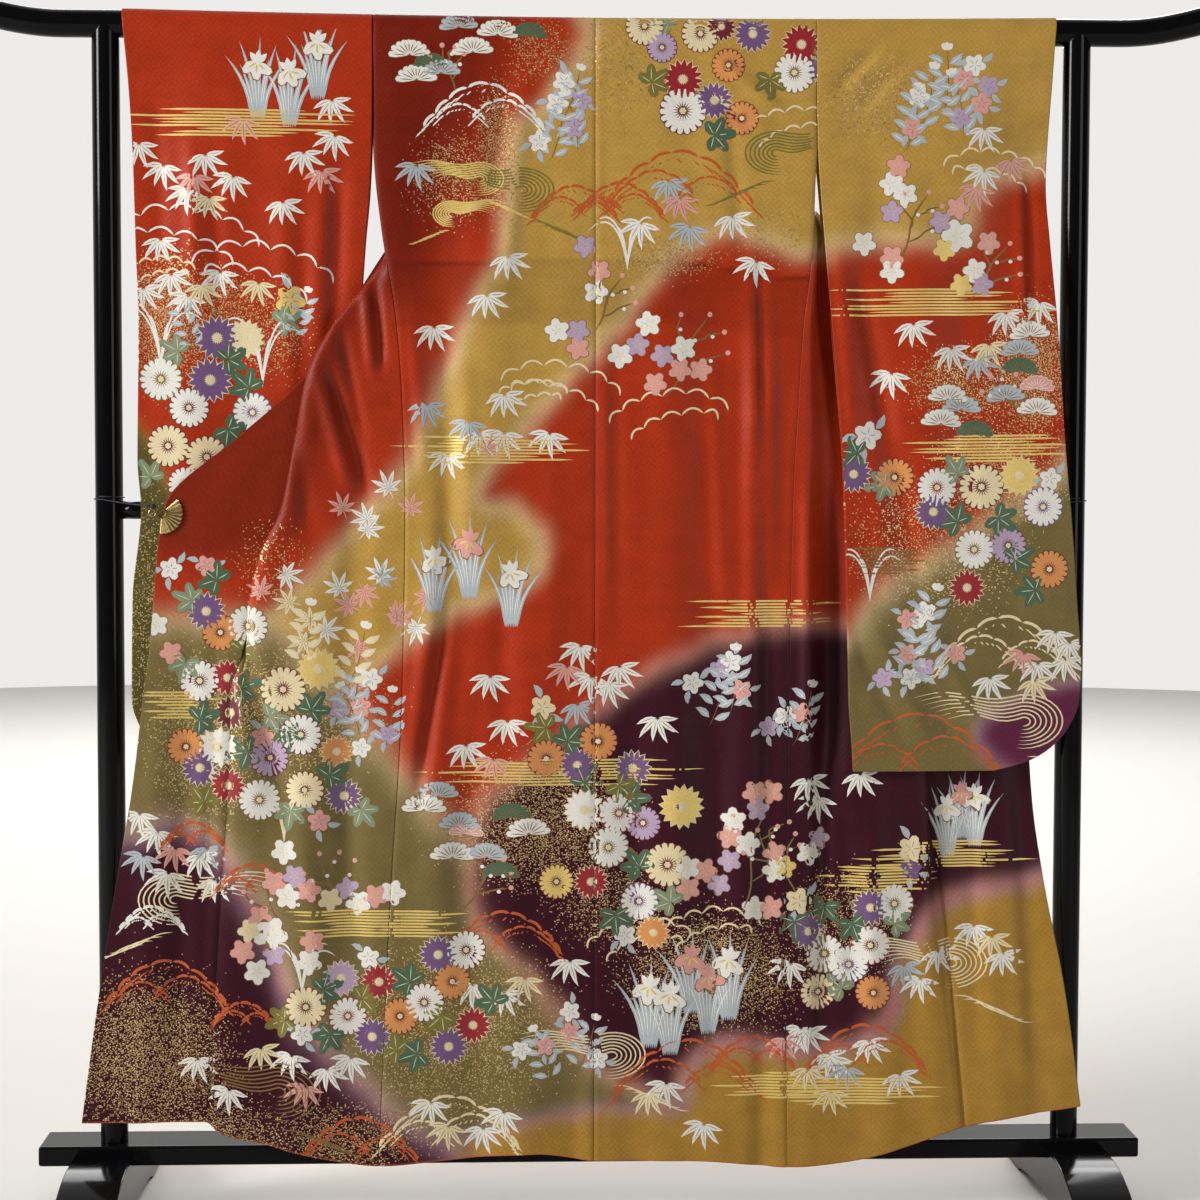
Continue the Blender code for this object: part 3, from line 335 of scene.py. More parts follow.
SLEEVE_CREASES = {-1: (
    (-57.6, 18, -57.2, 40, -0.26, 1.1), (-54.4, 20, -53.6, 44, 0.26, 1.2),
    (-38.6, 22, -39.6, 50, -0.3, 1.4), (-36.4, 20, -37.4, 46, 0.34, 1.3), (-45, 24, -44, 52, -0.18, 1.4),
    (-41.6, 22, -42, 56, 0.2, 1.2), (-62.6, 12, -62, 36, 0.18, 1.2), (-50, 50, -49, 96, 0.2, 1.6)), 1: (
    (41.4, 3.5, 33.8, 11, 0.3, 0.8), (45.4, 5.5, 37, 14, 0.3, 0.9), (43, 3.5, 36, 11.5, -0.16, 0.7),
    (34.8, 34, 37, 62, -0.2, 1), (37.4, 34, 42.8, 64, 0.5, 1.5), (42.8, 62, 47.6, 88, 0.42, 1.6),
    (39.4, 64, 43, 84, -0.26, 1.3), (36.4, 87, 45.5, 106, 0.3, 1.1), (39.4, 86, 49, 106, -0.28, 1.1),
    (42.6, 85, 53, 106, 0.32, 1.2), (46.4, 84, 57, 105, -0.24, 1.2), (61.2, 22, 61.4, 44, -0.26, 0.9),
    (62.6, 22, 63, 46, 0.28, 0.9), (52.6, 30, 54, 76, 0.2, 1.6))}
OKUMI_CREASES = ((54, 84, 56, 150, 0.24, 1.3), (59.5, 100, 63, 160, -0.22, 1.5))

# Slow waves over all the cloth: length across and down, in cm, depth, in cm, and start
WAVES = ((12.3, 71, 0.06, 0.4), (6.7, 47, 0.022, 2.1), (3.1, 29, 0.006, 4.4))

# Fronts: drops, in cm, where the parts that are drawn on end and where okumi and front merge, the
# keys of the two folds, steps between keys and columns of a part
SHOWN_FROM = 30.0
BEHIND_TO = 27.0
MERGE_DROP = {-1: 94.0, 1: 124.0}
MERGE_FADE = 6.0
OUT_KEY = 6
IN_KEY = 10
KEY_STEPS = 8
PART_COLUMNS = 81


def smooth_step(value, start, end):
    """Rise from 0 at start to 1 at end with no slope at either: 3 t t - 2 t t t."""
    part = np.clip((np.asarray(value, float) - start) / (end - start), 0.0, 1.0)
    return part * part * (3.0 - 2.0 * part)


def column(table, name, at):
    """Read a named column of a table at places of its first column, on a cubic that never
    overshoots. The first row of the table names its columns."""
    names, *rows = table
    x, y = np.array(rows, float).T[[0, names.index(name)]]
    step = np.diff(x)
    slope = np.diff(y) / step
    before, after = slope[:-1], slope[1:]
    turns = before * after <= 0
    weight_a = 2 * step[1:] + step[:-1]
    weight_b = step[1:] + 2 * step[:-1]
    mean = (weight_a + weight_b) / (
        weight_a / np.where(turns, 1.0, before) + weight_b / np.where(turns, 1.0, after))
    tangent = np.concatenate([slope[:1], np.where(turns, 0.0, mean), slope[-1:]])
    at = np.clip(np.asarray(at, float), x[0], x[-1])
    cell = np.clip(np.searchsorted(x, at, side="right") - 1, 0, len(step) - 1)
    t = (at - x[cell]) / step[cell]
    value = (2 * t**3 - 3 * t**2 + 1) * y[cell]
    value += (t**3 - 2 * t**2 + t) * step[cell] * tangent[cell]
    value += (3 * t**2 - 2 * t**3) * y[cell + 1]
    value += (t**3 - t**2) * step[cell] * tangent[cell + 1]
    return value


def bar_sag(x):
    """How far the bar hangs below its ends at x, in metres: a parabola."""
    return BAR_SAG * np.clip(1.0 - (x / SAG_HALF_SPAN) ** 2, 0.0, 1.0)


def fold_depth(folds, x, drop):
    """Depth of the large folds: a bell across each slanting line, faded in and out along it."""
    total = np.zeros(np.broadcast(x, drop).shape)
    for top_x, foot_x, start, end, depth, width in folds:
        along = np.clip((drop - start) / (end - start), 0.0, 1.0)
        centre = top_x + (foot_x - top_x) * along
        fade = smooth_step(along, 0.0, 0.25)
        if end < 160:
            fade = fade * (1.0 - smooth_step(along, 0.75, 1.0))
        total += depth * fade * np.exp(-((x - centre) / width) ** 2)
    return total


def crease_depth(creases, x, drop):
    """Depth of the listed creases: a bell of the distance to each line, faded at its ends."""
    total = np.zeros(np.broadcast(x, drop).shape)
    for from_x, from_drop, to_x, to_drop, depth, width in creases:
        run_x, run_drop = to_x - from_x, to_drop - from_drop
        length = math.hypot(run_x, run_drop)
        along = ((x - from_x) * run_x + (drop - from_drop) * run_drop) / length**2
        aside = ((x - from_x) * run_drop - (drop - from_drop) * run_x) / length
        fade = smooth_step(along, -0.1, 0.3) * (1.0 - smooth_step(along, 0.7, 1.1))
        total += depth * fade * np.exp(-(aside / width) ** 2)
    return CREASE_SHARE * total


def wave_depth(x, drop):
    """Slow uneven waves: a sum of sines whose crests wander with drop."""
    total = np.zeros(np.broadcast(x, drop).shape)
    for across, down, depth, start in WAVES:
        wander = 0.8 * np.sin(2 * math.pi * drop / down + start)
        total += depth * np.sin(2 * math.pi * x / across + start + wander)
    return total


def over_bar(depth, drop):
    """Draw depth in to the crown of the bar over the first centimetres: a quarter circle."""
    rise = np.clip(1.0 - drop / (HANG_RADIUS / CM), 0.0, 1.0)
    return depth * np.sqrt(1.0 - rise * rise)


def place(x, depth, drop):
    """World points from x, depth and drop in cm, the top following the bar's sag."""
    sag = bar_sag(x * CM) * (1.0 - smooth_step(drop, *SAG_FADES))
    return np.stack(np.broadcast_arrays(x * CM, depth * CM, CLOTH_TOP - drop * CM - sag), axis=-1)


def drops_to_hem(x, drops):
    """Stretch the lower drops so that the last one ends on the hem at x, in cm."""
    hem = CLOTH_TOP / CM - column(HEM_TABLE, "height", x)
    return drops + (hem - HEM_DROP) * smooth_step(drops, HEM_STRETCH_FROM, HEM_DROP)


def merge_share(side, drops):
    """How far a front has come to lie flat in one with its okumi, from 0 to 1, at a drop."""
    return smooth_step(drops, MERGE_DROP[side] - MERGE_FADE, MERGE_DROP[side])


def between(share, start, end):
    """Rise from 0 over the first shares of a piece, and fall to 0 over the last ones."""
    return smooth_step(share, 0.0, start) * (1.0 - smooth_step(share, end, 1.0))


def fine_drops(first, last):
    """Rows down a piece: even turns of angle round the crown, even steps, close rows at the end."""
    radius = HANG_RADIUS / CM
    crown = radius * (1 - np.cos(np.linspace(0, math.pi / 2, CROWN_ROWS + 1)))
    start = max(first, radius)
    count = int(round((last - start) / ROW_STEP))
    down = np.linspace(start, last, count + 1)
    rows = np.concatenate([crown[crown >= first], down, last - np.array(EDGE_PLACES)])
    rows = np.unique(np.round(rows, 4))
    keep = np.concatenate([[True], np.diff(rows) > 0.04])
    return rows[keep][:, None]


def fine_shares(width, step):
    """Shares across a piece: close columns beside both edges and even ones between."""
    near = np.array(EDGE_PLACES) / width
    count = int(round(width / step))
    inner = near[-1] + 0.3 / width
    return np.concatenate([near, np.linspace(inner, 1 - inner, count), 1 - near[::-1]])[None, :]


def edge_dip(inside):
    """Groove beside a seam, in cm: a bell of the distance from the seam."""
    return -SEAM_SINK * np.exp(-((inside / SEAM_WIDTH) ** 2))


def unit(vectors):
    """Vectors brought to length 1."""
    length = np.linalg.norm(vectors, axis=-1, keepdims=True)
    return vectors / np.maximum(length, 1e-12)


def grid_normals(grid, sign):
    """Normals of a grid of points: the cross of its run across and its run down."""
    across = np.gradient(grid, axis=1)
    down = np.gradient(grid, axis=0)
    return unit(np.cross(across, down)) * sign


def tuck_shift(x):
    """How far the tuck seam hangs below its middle toward either side seam: a shallow curve."""
    right, left = smooth_step(x, *TUCK_HANG_SPAN), smooth_step(-x, *TUCK_HANG_SPAN)
    return TUCK_HANGS[1] * right + TUCK_HANGS[-1] * left


def back_grid(side):
    """Back panel from the centre seam to the side seam: straight rows across the body table."""
    share = fine_shares(BACK_WIDTH, COLUMN_STEP)
    drops = fine_drops(0.0, HEM_DROP)
    reach = column(BODY_TABLE, SIDE_NAMES[side], drops)
    x = side * reach * share
    drop = drops_to_hem(x, drops)
    hold = smooth_step(np.abs(x), *FOLDS_FROM_CENTRE) * (1.0 - smooth_step(share, *BACK_FOLD_SHARES))
    depth = column(BODY_TABLE, "back_y", drops) + hold * fold_depth(BACK_FOLDS, x, drop)
    soft = between(share, *BACK_CREASE_SHARES) * smooth_step(drop, *CREASE_DROPS)
    depth = depth + soft * (crease_depth(BACK_CREASES, x, drop) + wave_depth(x, drop))
    depth = depth - edge_dip(share * reach) - edge_dip((1 - share) * reach)
    tuck = (drop - TUCK_DROP - tuck_shift(x)) / TUCK_WIDTH
    depth = depth + TUCK_DEPTH * np.exp(-tuck * tuck) - TUCK_DEPTH * smooth_step(tuck, -2.5, -0.5)
    return place(x, over_bar(depth, drop), drop)


def front_keys(side, drop):
    """Places across a front where it turns, from its side seam to its okumi seam, in cm."""
    table = FRONT_TABLES[side]
    fold_out, fold_in, okumi, _, top, middle, under = (column(table, name, drop) for name in table[0][1:])
    seam_x = column(BODY_TABLE, SIDE_NAMES[side], drop)
    lead_in = np.clip((seam_x - fold_out) * 0.4, -TURN_LEAD, TURN_LEAD)
    lead_back = np.clip((fold_in - fold_out) * 0.35, -TURN_LEAD, TURN_LEAD)
    leave = np.clip((okumi - fold_in) * 0.4, -TURN_LEAD, TURN_LEAD)
    first, second = middle - top, under - middle
    keys = [
        (seam_x, column(BODY_TABLE, "front_y", drop)),
        (fold_out + lead_in, top),
        (fold_out, top + TURN_SHARES[0] * first),
        (fold_out + lead_back, top + TURN_SHARES[1] * first),
        (fold_in - lead_back, middle),
        (fold_in, middle + TURN_SHARES[0] * second),
        (fold_in + leave, middle + TURN_SHARES[1] * second),
        (okumi, under)]
    turn = ((0, 0),)
    spans = (RUNS_ON_TOP[side], turn, turn, ((0, 0), (0.5, 0.5)), turn, turn, ((0, 0), (0.5, 0.7)))
    shaped = smooth_step(drop, *LIP_DROPS)
    across, depth = [], []
    for (x0, y0), (x1, y1), span in zip(keys[:-1], keys[1:], spans):
        for part, ease in span:
            across.append(x0 + (x1 - x0) * part)
            depth.append(y0 + (y1 - y0) * (part + (ease - part) * shaped))
    across.append(okumi)
    depth.append(under)
    return side * np.concatenate(across, axis=1), np.concatenate(depth, axis=1)


def curve_through(keys, steps):
    """Cubic curve through each row's keys, its slopes weighted by the chords beside them."""
    chord = np.maximum(np.linalg.norm(np.diff(keys, axis=1), axis=-1, keepdims=True), 1e-6)
    slope = np.diff(keys, axis=1) / chord
    inner = slope[:, :-1] * chord[:, 1:] + slope[:, 1:] * chord[:, :-1]
    inner = inner / (chord[:, :-1] + chord[:, 1:])
    tangent = np.concatenate([slope[:, :1], inner, slope[:, -1:]], axis=1)
    t = (np.arange(steps) / steps)[None, None, :, None]
    a, b = keys[:, :-1, None], keys[:, 1:, None]
    ta, tb = (tangent[:, :-1] * chord)[:, :, None], (tangent[:, 1:] * chord)[:, :, None]
    points = (2 * t**3 - 3 * t**2 + 1) * a + (t**3 - 2 * t**2 + t) * ta
    points = points + (3 * t**2 - 2 * t**3) * b + (t**3 - t**2) * tb
    points = points.reshape(len(keys), -1, keys.shape[-1])
    return np.concatenate([points, keys[:, -1:]], axis=1)


def even_columns(lines_across, shares):
    """Each row's curve read again at the given shares of its own length."""
    rows = []
    for line in lines_across:
        run = np.linalg.norm(np.diff(line, axis=0), axis=-1)
        at = np.concatenate([[0.0], np.cumsum(run)])
        rows.append(np.stack([np.interp(shares[0] * at[-1], at, part) for part in line.T], axis=-1))
    return np.stack(rows)


def front_grid(side, part="whole"):
    """Front panel from its side seam to its okumi seam, with the fold where it is drawn out.
    Part shown is what lies on top before the viewer, and part behind is its top over the bar."""
    drops = fine_drops(0.0, HEM_DROP)
    across = curve_through(np.stack(front_keys(side, drops), axis=-1), KEY_STEPS)
    if part == "whole":
        across = even_columns(across, fine_shares(FRONT_WIDTH, FRONT_COLUMN_STEP))
    else:
        if part == "shown":
            keep = drops[:, 0] > SHOWN_FROM
            ends = np.where(drops[:, 0] < MERGE_DROP[side], OUT_KEY * KEY_STEPS, across.shape[1] - 1)
        else:
            keep = drops[:, 0] < BEHIND_TO
            ends = np.full(len(drops), IN_KEY * KEY_STEPS)
        lines_across = [line[:end + 1] for line, end in zip(across[keep], ends[keep])]
        across = even_columns(lines_across, np.linspace(0.0, 1.0, PART_COLUMNS)[None, :])
        drops = drops[keep]
    x, depth = across[..., 0], across[..., 1]
    drop = drops_to_hem(x, drops)
    inside = np.abs(x - side * column(BODY_TABLE, SIDE_NAMES[side], drops))
    seam = np.abs(x - side * column(FRONT_TABLES[side], "okumi", drops))
    merged = merge_share(side, drops)
    hold = smooth_step(inside, *FOLDS_FROM_SIDE)
    hold = hold * (1.0 - merged * (1.0 - smooth_step(seam, *FOLDS_FROM_OKUMI)))
    depth = depth + hold * fold_depth(FRONT_FOLDS[side], x, drop)
    soft = smooth_step(inside, *CREASES_FROM_SIDE) * smooth_step(drop, *FRONT_CREASE_DROPS)
    soft = soft * (1.0 - merged * (1.0 - smooth_step(seam, *CREASES_FROM_OKUMI)))
    depth = depth + soft * (crease_depth(FRONT_CREASES[side], x, drop) + wave_depth(x, drop))
    depth = depth - edge_dip(seam) * merged
    return place(x, over_bar(depth, drop), drop)


def okumi_grid(side):
    """Okumi: the tapered strip between a front's inner seam and its free edge."""
    table = FRONT_TABLES[side]
    drops = fine_drops(OKUMI_TIP_DROP / CM, HEM_DROP)
    share = fine_shares(OKUMI_WIDTH, COLUMN_STEP)
    inner, outer, under = (column(table, name, drops) for name in ("okumi", "edge", "under_y"))
    x = side * (inner + (outer - inner) * share)
    drop = drops_to_hem(x, drops)
    depth = under + smooth_step(share, *OKUMI_FOLD_SHARES) * fold_depth(OKUMI_FOLDS[side], x, drop)
    soft = smooth_step(share, *OKUMI_CREASE_SHARES) * smooth_step(drop, *OKUMI_CREASE_DROPS)
    depth = depth + soft * (crease_depth(OKUMI_CREASES, np.abs(x), drop) + wave_depth(x, drop))
    depth = depth - edge_dip((outer - inner) * share) * merge_share(side, drops)
    return place(x, depth, drop)


def sleeve_grid(side, leaf):
    """One leaf of a sleeve: near is before the bar and far is behind it."""
    table = SLEEVE_TABLES[side]
    drop = fine_drops(0.0, SLEEVE_DROP / CM)
    share = fine_shares(SLEEVE_WIDTH, COLUMN_STEP)
    inner, outer, near, far = (column(table, name, drop) for name in table[0][1:])
    across = inner + (outer - inner) * share
    closed = smooth_step(drop, SLEEVE_CLOSES / CM, WRIST_OPENING / CM)
    closed = closed * smooth_step(share, *SLEEVE_CLOSE_SHARES)
    closed = np.maximum(closed, smooth_step(drop, SLEEVE_FOOT_FROM, SLEEVE_DROP / CM))
    half = (far - near) / 2
    half = half + (LEAF_SPACE / CM / 2 - half) * closed
    depth = (near + far) / 2 + (half if leaf == "far" else -half)
    hold = smooth_step(share, *SLEEVE_FOLD_SHARES) * smooth_step(drop, *SLEEVE_FOLD_DROPS)
    depth = depth + hold * fold_depth(SLEEVE_FOLDS[side], side * across, drop)
    soft = between(share, *SLEEVE_CREASE_SHARES) * smooth_step(drop, *CREASE_DROPS)
    soft = soft * (1.0 - smooth_step(drop, *SLEEVE_CREASE_ENDS))
    creases = crease_depth(SLEEVE_CREASES[side], side * across, drop)
    depth = depth + soft * (creases + wave_depth(across, drop))
    return place(side * across, over_bar(depth, drop), drop)


def collar_grid():
    """Collar band: up the left front's edge, behind the neck and down the right front's edge."""
    radius = (HANG_RADIUS + CLOTH + 2 * GAP) / CM
    lowest = COLLAR_END_DROP / CM
    down = lowest * np.linspace(0.0, 1.0, COLLAR_ROWS + 1)[1:] ** COLLAR_ROW_SPREAD
    edge = []
    for side in (-1, 1):
        x = side * column(FRONT_TABLES[side], "edge", down)
        under = column(FRONT_TABLES[side], "under_y", down)
        path = np.stack([x, down + NECK_DROP, under], axis=1)
        edge.append(path[::-1] if side < 0 else path)
    neck_x = np.linspace(-NECK_HALF_WIDTH, NECK_HALF_WIDTH, NECK_ROWS)
    neck = np.stack([neck_x, np.full(NECK_ROWS, NECK_DROP), np.full(NECK_ROWS, BAR_DEPTH)], axis=1)
    path = np.concatenate([edge[0], neck, edge[1]])
    run = np.gradient(path[:, :2], axis=0)
    run /= np.linalg.norm(run, axis=1)[:, None]
    width = np.linspace(-COLLAR_LAP, COLLAR_WIDTH / CM - COLLAR_LAP, COLLAR_COLUMNS)
    x = path[:, None, 0] - run[:, None, 1] * width[None, :]
    drop = path[:, None, 1] + run[:, None, 0] * width[None, :]
    behind = path[:, None, 2] + COLLAR_BEHIND / CM + 0.0 * width[None, :]
    rise = np.clip(1.0 - drop / radius, 0.0, 1.0)
    depth = np.where(drop < radius, radius * np.sqrt(1.0 - rise * rise), behind)
    depth = np.maximum(depth, behind - 0.05)
    return place(x, depth, drop - (radius - HANG_RADIUS / CM))


# Colours, as they show in daylight
def linear(red, green, blue):
    """A colour of 0 to 255 as the shader's linear values."""
    part = np.array([red, green, blue], float) / 255
    return np.where(part <= 0.04045, part / 12.92, ((part + 0.055) / 1.055) ** 2.4)


DYES = {
    "red": linear(172, 50, 18),
    # The next two are painted shade laid like dyes: the red ground where less light falls on it
    "painted shade dark red": linear(120, 30, 12),
    "painted shade mid red": linear(132, 36, 13),
    "gold": linear(188, 148, 70),
    "ochre": linear(172, 130, 54),
    "olive": linear(122, 106, 62),
    "dark olive": linear(92, 84, 40),
    "purple": linear(60, 15, 30),
    "wine": linear(98, 36, 64),
    "pale": linear(226, 196, 150),
    "pale rose": linear(214, 150, 130),
    "pale lilac": linear(178, 134, 152),
    "ivory": linear(222, 214, 202),
    "coral": linear(212, 96, 62),
    "fleck": linear(250, 224, 160),
    "dull fleck": linear(148, 106, 62),
    "lacquer": linear(10, 10, 12),
    "brass": linear(196, 170, 110),
    "bright brass": linear(232, 210, 150),
    "dark brass": linear(120, 98, 60),
    "cord": linear(34, 22, 38),
    "floor": linear(196, 193, 188),
}

# Painted shade on the seams and in the band below the tuck: how dark, and over how many cm; and how far the
# hem turns to coral
TUCK_BAND_ENDS = (8.0, 9.2)
TUCK_SEAM_WIDTH = 0.22
SEAM_SHADE_WIDTH = 0.16
TUCK_BAND_SHADE = 0.16
TUCK_SEAM_SHADE = 0.45
MIDDLE_SEAM_SHADE = 0.25
OKUMI_SEAM_SHADE = 0.35
HEM_BLUSH = 0.4
BORDER_WANDER = 0.35
DUST_SHARE = 1.25

# Dyed areas, and areas of painted shade, in the order they are laid: dye, dye of the soft border,
# width of the border in cm, share of the border colour, and the outline as x and drop in cm
BODY_AREAS = (
    # Painted shade: the top of the left back, darker where the light falls off, is laid in dark red
    ("painted shade dark red", "red", 12, 0, ((-36, -6), (-12, -6), (-15, 12), (-19, 26), (-25, 38), (-36, 40))),
    # Painted shade: the drawn-out left front, turned away from the light, is laid in a darker red
    ("painted shade mid red", "red", 7, 0, ((-64, 46), (-44, 36), (-34, 40), (-37, 60), (-45, 76), (-64, 76))),
    ("gold", "pale", 2.2, 0.45, (
        (0.5, -2), (34, -2), (34, 32), (20, 31.5), (14, 33), (8.5, 38), (1.5, 47), (-3.5, 52),
        (-10, 59.5), (-15, 65), (-16.5, 69.5), (-12, 71), (-8, 74.5), (-8, 79), (-11.5, 82.5), (-16, 84),
        (-21.5, 86.5), (-28, 90.5), (-34, 95.5), (-43, 99), (-48.5, 89.5), (-43.5, 84), (-38, 78),
        (-33.5, 72.5), (-27.5, 66), (-25, 61), (-22.5, 54.5), (-19.5, 47.5), (-17, 41), (-13.5, 35.5),
        (-12.5, 26.5), (-11.5, 17.5), (-6.5, 12.5), (-1, 4))),
    ("olive", "pale", 3.2, 0.4, (
        (-66, 88), (-51, 87.5), (-43, 90), (-39, 96), (-32, 104), (-25, 112.5), (-18.5, 119.5),
        (-14.5, 125), (-16, 129.5), (-11, 134), (-5, 141), (-1, 148), (6.5, 153), (15, 154), (15, 170),
        (-25, 170), (-28, 161), (-35, 154), (-41, 147), (-45, 138), (-49, 127), (-54, 119.5),
        (-60.5, 117.5), (-68, 119.5), (-71, 98))),
    ("purple", "pale rose", 2.2, 0.45, (
        (0.5, 99.5), (6, 95.5), (11.5, 92.5), (17, 90), (22.5, 88.5), (28, 87.5), (36, 87.5), (66, 88),
        (72, 120), (63.5, 125), (55, 126.5), (49.5, 129), (46.5, 134), (43.5, 142), (38.5, 148.5),
        (28, 149.5), (19.5, 148), (13.5, 152), (12, 156), (6.5, 155), (0.5, 151.5), (-3.5, 146.5),
        (-7, 141), (-12, 135.5), (-16.5, 131), (-18, 122.5), (-16.5, 114), (-10.5, 109), (-5, 104))),
    ("ochre", "pale lilac", 1.9, 0.4, (
        (74, 123.5), (63.5, 125.5), (55.5, 127), (50, 129.5), (46.5, 133.5), (43.5, 138), (44, 144),
        (38.5, 149), (28, 150), (20, 148.5), (14, 152), (13, 157.5), (6, 157.5), (-5, 158.5), (-16, 161),
        (-22, 164.5), (-22, 172), (80, 172))),
    ("purple", "pale lilac", 3, 0.4, (
        (-76, 121), (-66, 118), (-60.5, 116.5), (-55, 119.5), (-50, 127), (-45.5, 137.5), (-41.5, 146),
        (-35, 153), (-28, 159.5), (-20.5, 164.5), (-20.5, 172), (-80, 172), (-80, 140))))
SLEEVE_AREAS = {-1: (
    ("dark olive", "ochre", 1.2, 0.3, (
        (-70, 60), (-63.5, 62), (-60.5, 69.5), (-58, 78), (-31, 80), (-31, 112), (-70, 112))),), 1: (
    ("gold", "pale", 2.4, 0.45, (
        (30, -2), (70, -2), (70, 19.5), (65, 21.5), (58, 23.5), (54.5, 27), (53.5, 31), (49.5, 32.5),
        (42, 32.5), (35.5, 33), (30, 32))),
    ("olive", "pale", 2.6, 0.5, (
        (30, 91), (36.5, 89.5), (40, 84.5), (44, 81), (51, 77), (58, 72), (66, 66.5), (72, 65), (72, 114),
        (30, 114))),
    ("wine", "pale lilac", 1.6, 0.4, (
        (72, 96.5), (61, 98), (55.5, 102.5), (57, 107), (63.5, 110), (72, 110))))}

# Clouds of gold dust: centre x and drop, half width and half height in cm, and strength
BODY_DUST = (
    (-14, 20, 3.2, 9, 0.75), (-20, 24, 6, 6, 0.45), (-8, 6, 4.5, 4, 0.5), (4, 8, 6, 6, 0.25),
    (10, 35, 7, 3, 0.45), (25, 32, 5, 4, 0.2), (-8, 116, 12, 9, 0.55), (2, 128, 8, 6, 0.4),
    (17, 138, 12, 8, 0.6), (-20, 146, 14, 12, 0.4), (-44, 100, 12, 9, 0.4), (-56, 104, 7, 12, 0.45),
    (-64, 150, 11, 11, 0.62), (-58, 164, 16, 8, 0.6), (-36, 162, 10, 5, 0.5), (36, 132, 8, 8, 0.4),
    (-46, 79, 5, 6, 0.2))
SLEEVE_DUST = {-1: (
    (-61, 44, 6, 9, 1), (-54, 42, 6, 5, 0.55), (-47, 46, 6, 6, 0.45), (-64, 86, 5, 16, 0.35)), 1: (
    (41, 12, 8, 6, 0.35), (63, 51, 6, 9, 0.9), (53, 53, 8, 5, 0.6), (49, 76, 12, 9, 0.35),
    (58, 66, 9, 7, 0.45))}


def signed_distance(outline, x, drop):
    """Distance from a closed outline, less than 0 inside: the nearest side, and crossings counted."""
    start = np.array(outline, float)
    end = np.roll(start, -1, axis=0)
    nearest = np.full(x.shape, 1e9)
    inside = np.zeros(x.shape, bool)
    for (ax, ad), (bx, bd) in zip(start, end):
        run_x, run_d = bx - ax, bd - ad
        t = np.clip(((x - ax) * run_x + (drop - ad) * run_d) / (run_x**2 + run_d**2), 0.0, 1.0)
        nearest = np.minimum(nearest, (x - ax - t * run_x) ** 2 + (drop - ad - t * run_d) ** 2)
        if ad != bd:
            crosses = (ad > drop) != (bd > drop)
            inside ^= crosses & (x < ax + (drop - ad) / run_d * run_x)
    return np.where(inside, -1.0, 1.0) * np.sqrt(nearest)


def round_outline(points, steps=5):
    """A closed curve through an outline's points: a cubic with slopes from the points beside each."""
    p = np.array(points, float)
    before, after, last = np.roll(p, 1, 0), np.roll(p, -1, 0), np.roll(p, -2, 0)
    t = (np.arange(steps) / steps)[None, :, None]
    p, before, after, last = (a[:, None] for a in (p, before, after, last))
    curve = 2 * p + (after - before) * t + (2 * before - 5 * p + 4 * after - last) * t**2
    return (0.5 * (curve + (3 * p - before - 3 * after + last) * t**3)).reshape(-1, 2)


def dyed_ground_with_painted_shade(areas, x, drop):
    """Colour of the dyed ground with its areas of painted shade: each area laid over the last one, with a
    soft glowing border.
    """
    colour = np.broadcast_to(DYES["red"], x.shape + (3,)).copy()
    uneven = 0.5 * np.sin(x * 0.9 + 0.3 * drop) + 0.4 * np.sin(drop * 0.7 - 0.5 * x + 1.0)
    for dye, border, soft, glow, outline in areas:
        away = signed_distance(round_outline(outline), x, drop) + BORDER_WANDER * uneven
        cover = 1.0 - smooth_step(away, -0.5 * soft, 0.5 * soft)
        halo = glow * np.exp(-((away / (0.75 * soft)) ** 2))
        colour += (DYES[dye] - colour) * cover[..., None]
        colour += (DYES[border] - colour) * halo[..., None]
    return colour


def dust_cover(clouds, x, drop):
    """Share of the ground under gold dust: soft bells, the strongest of those at a place."""
    cover = np.zeros(x.shape)
    for cx, cd, half_width, half_height, strength in clouds:
        away = ((x - cx) / half_width) ** 2 + ((drop - cd) / half_height) ** 2
        cover = np.maximum(cover, min(DUST_SHARE * strength, 1.0) * np.exp(-away * away))
    return cover


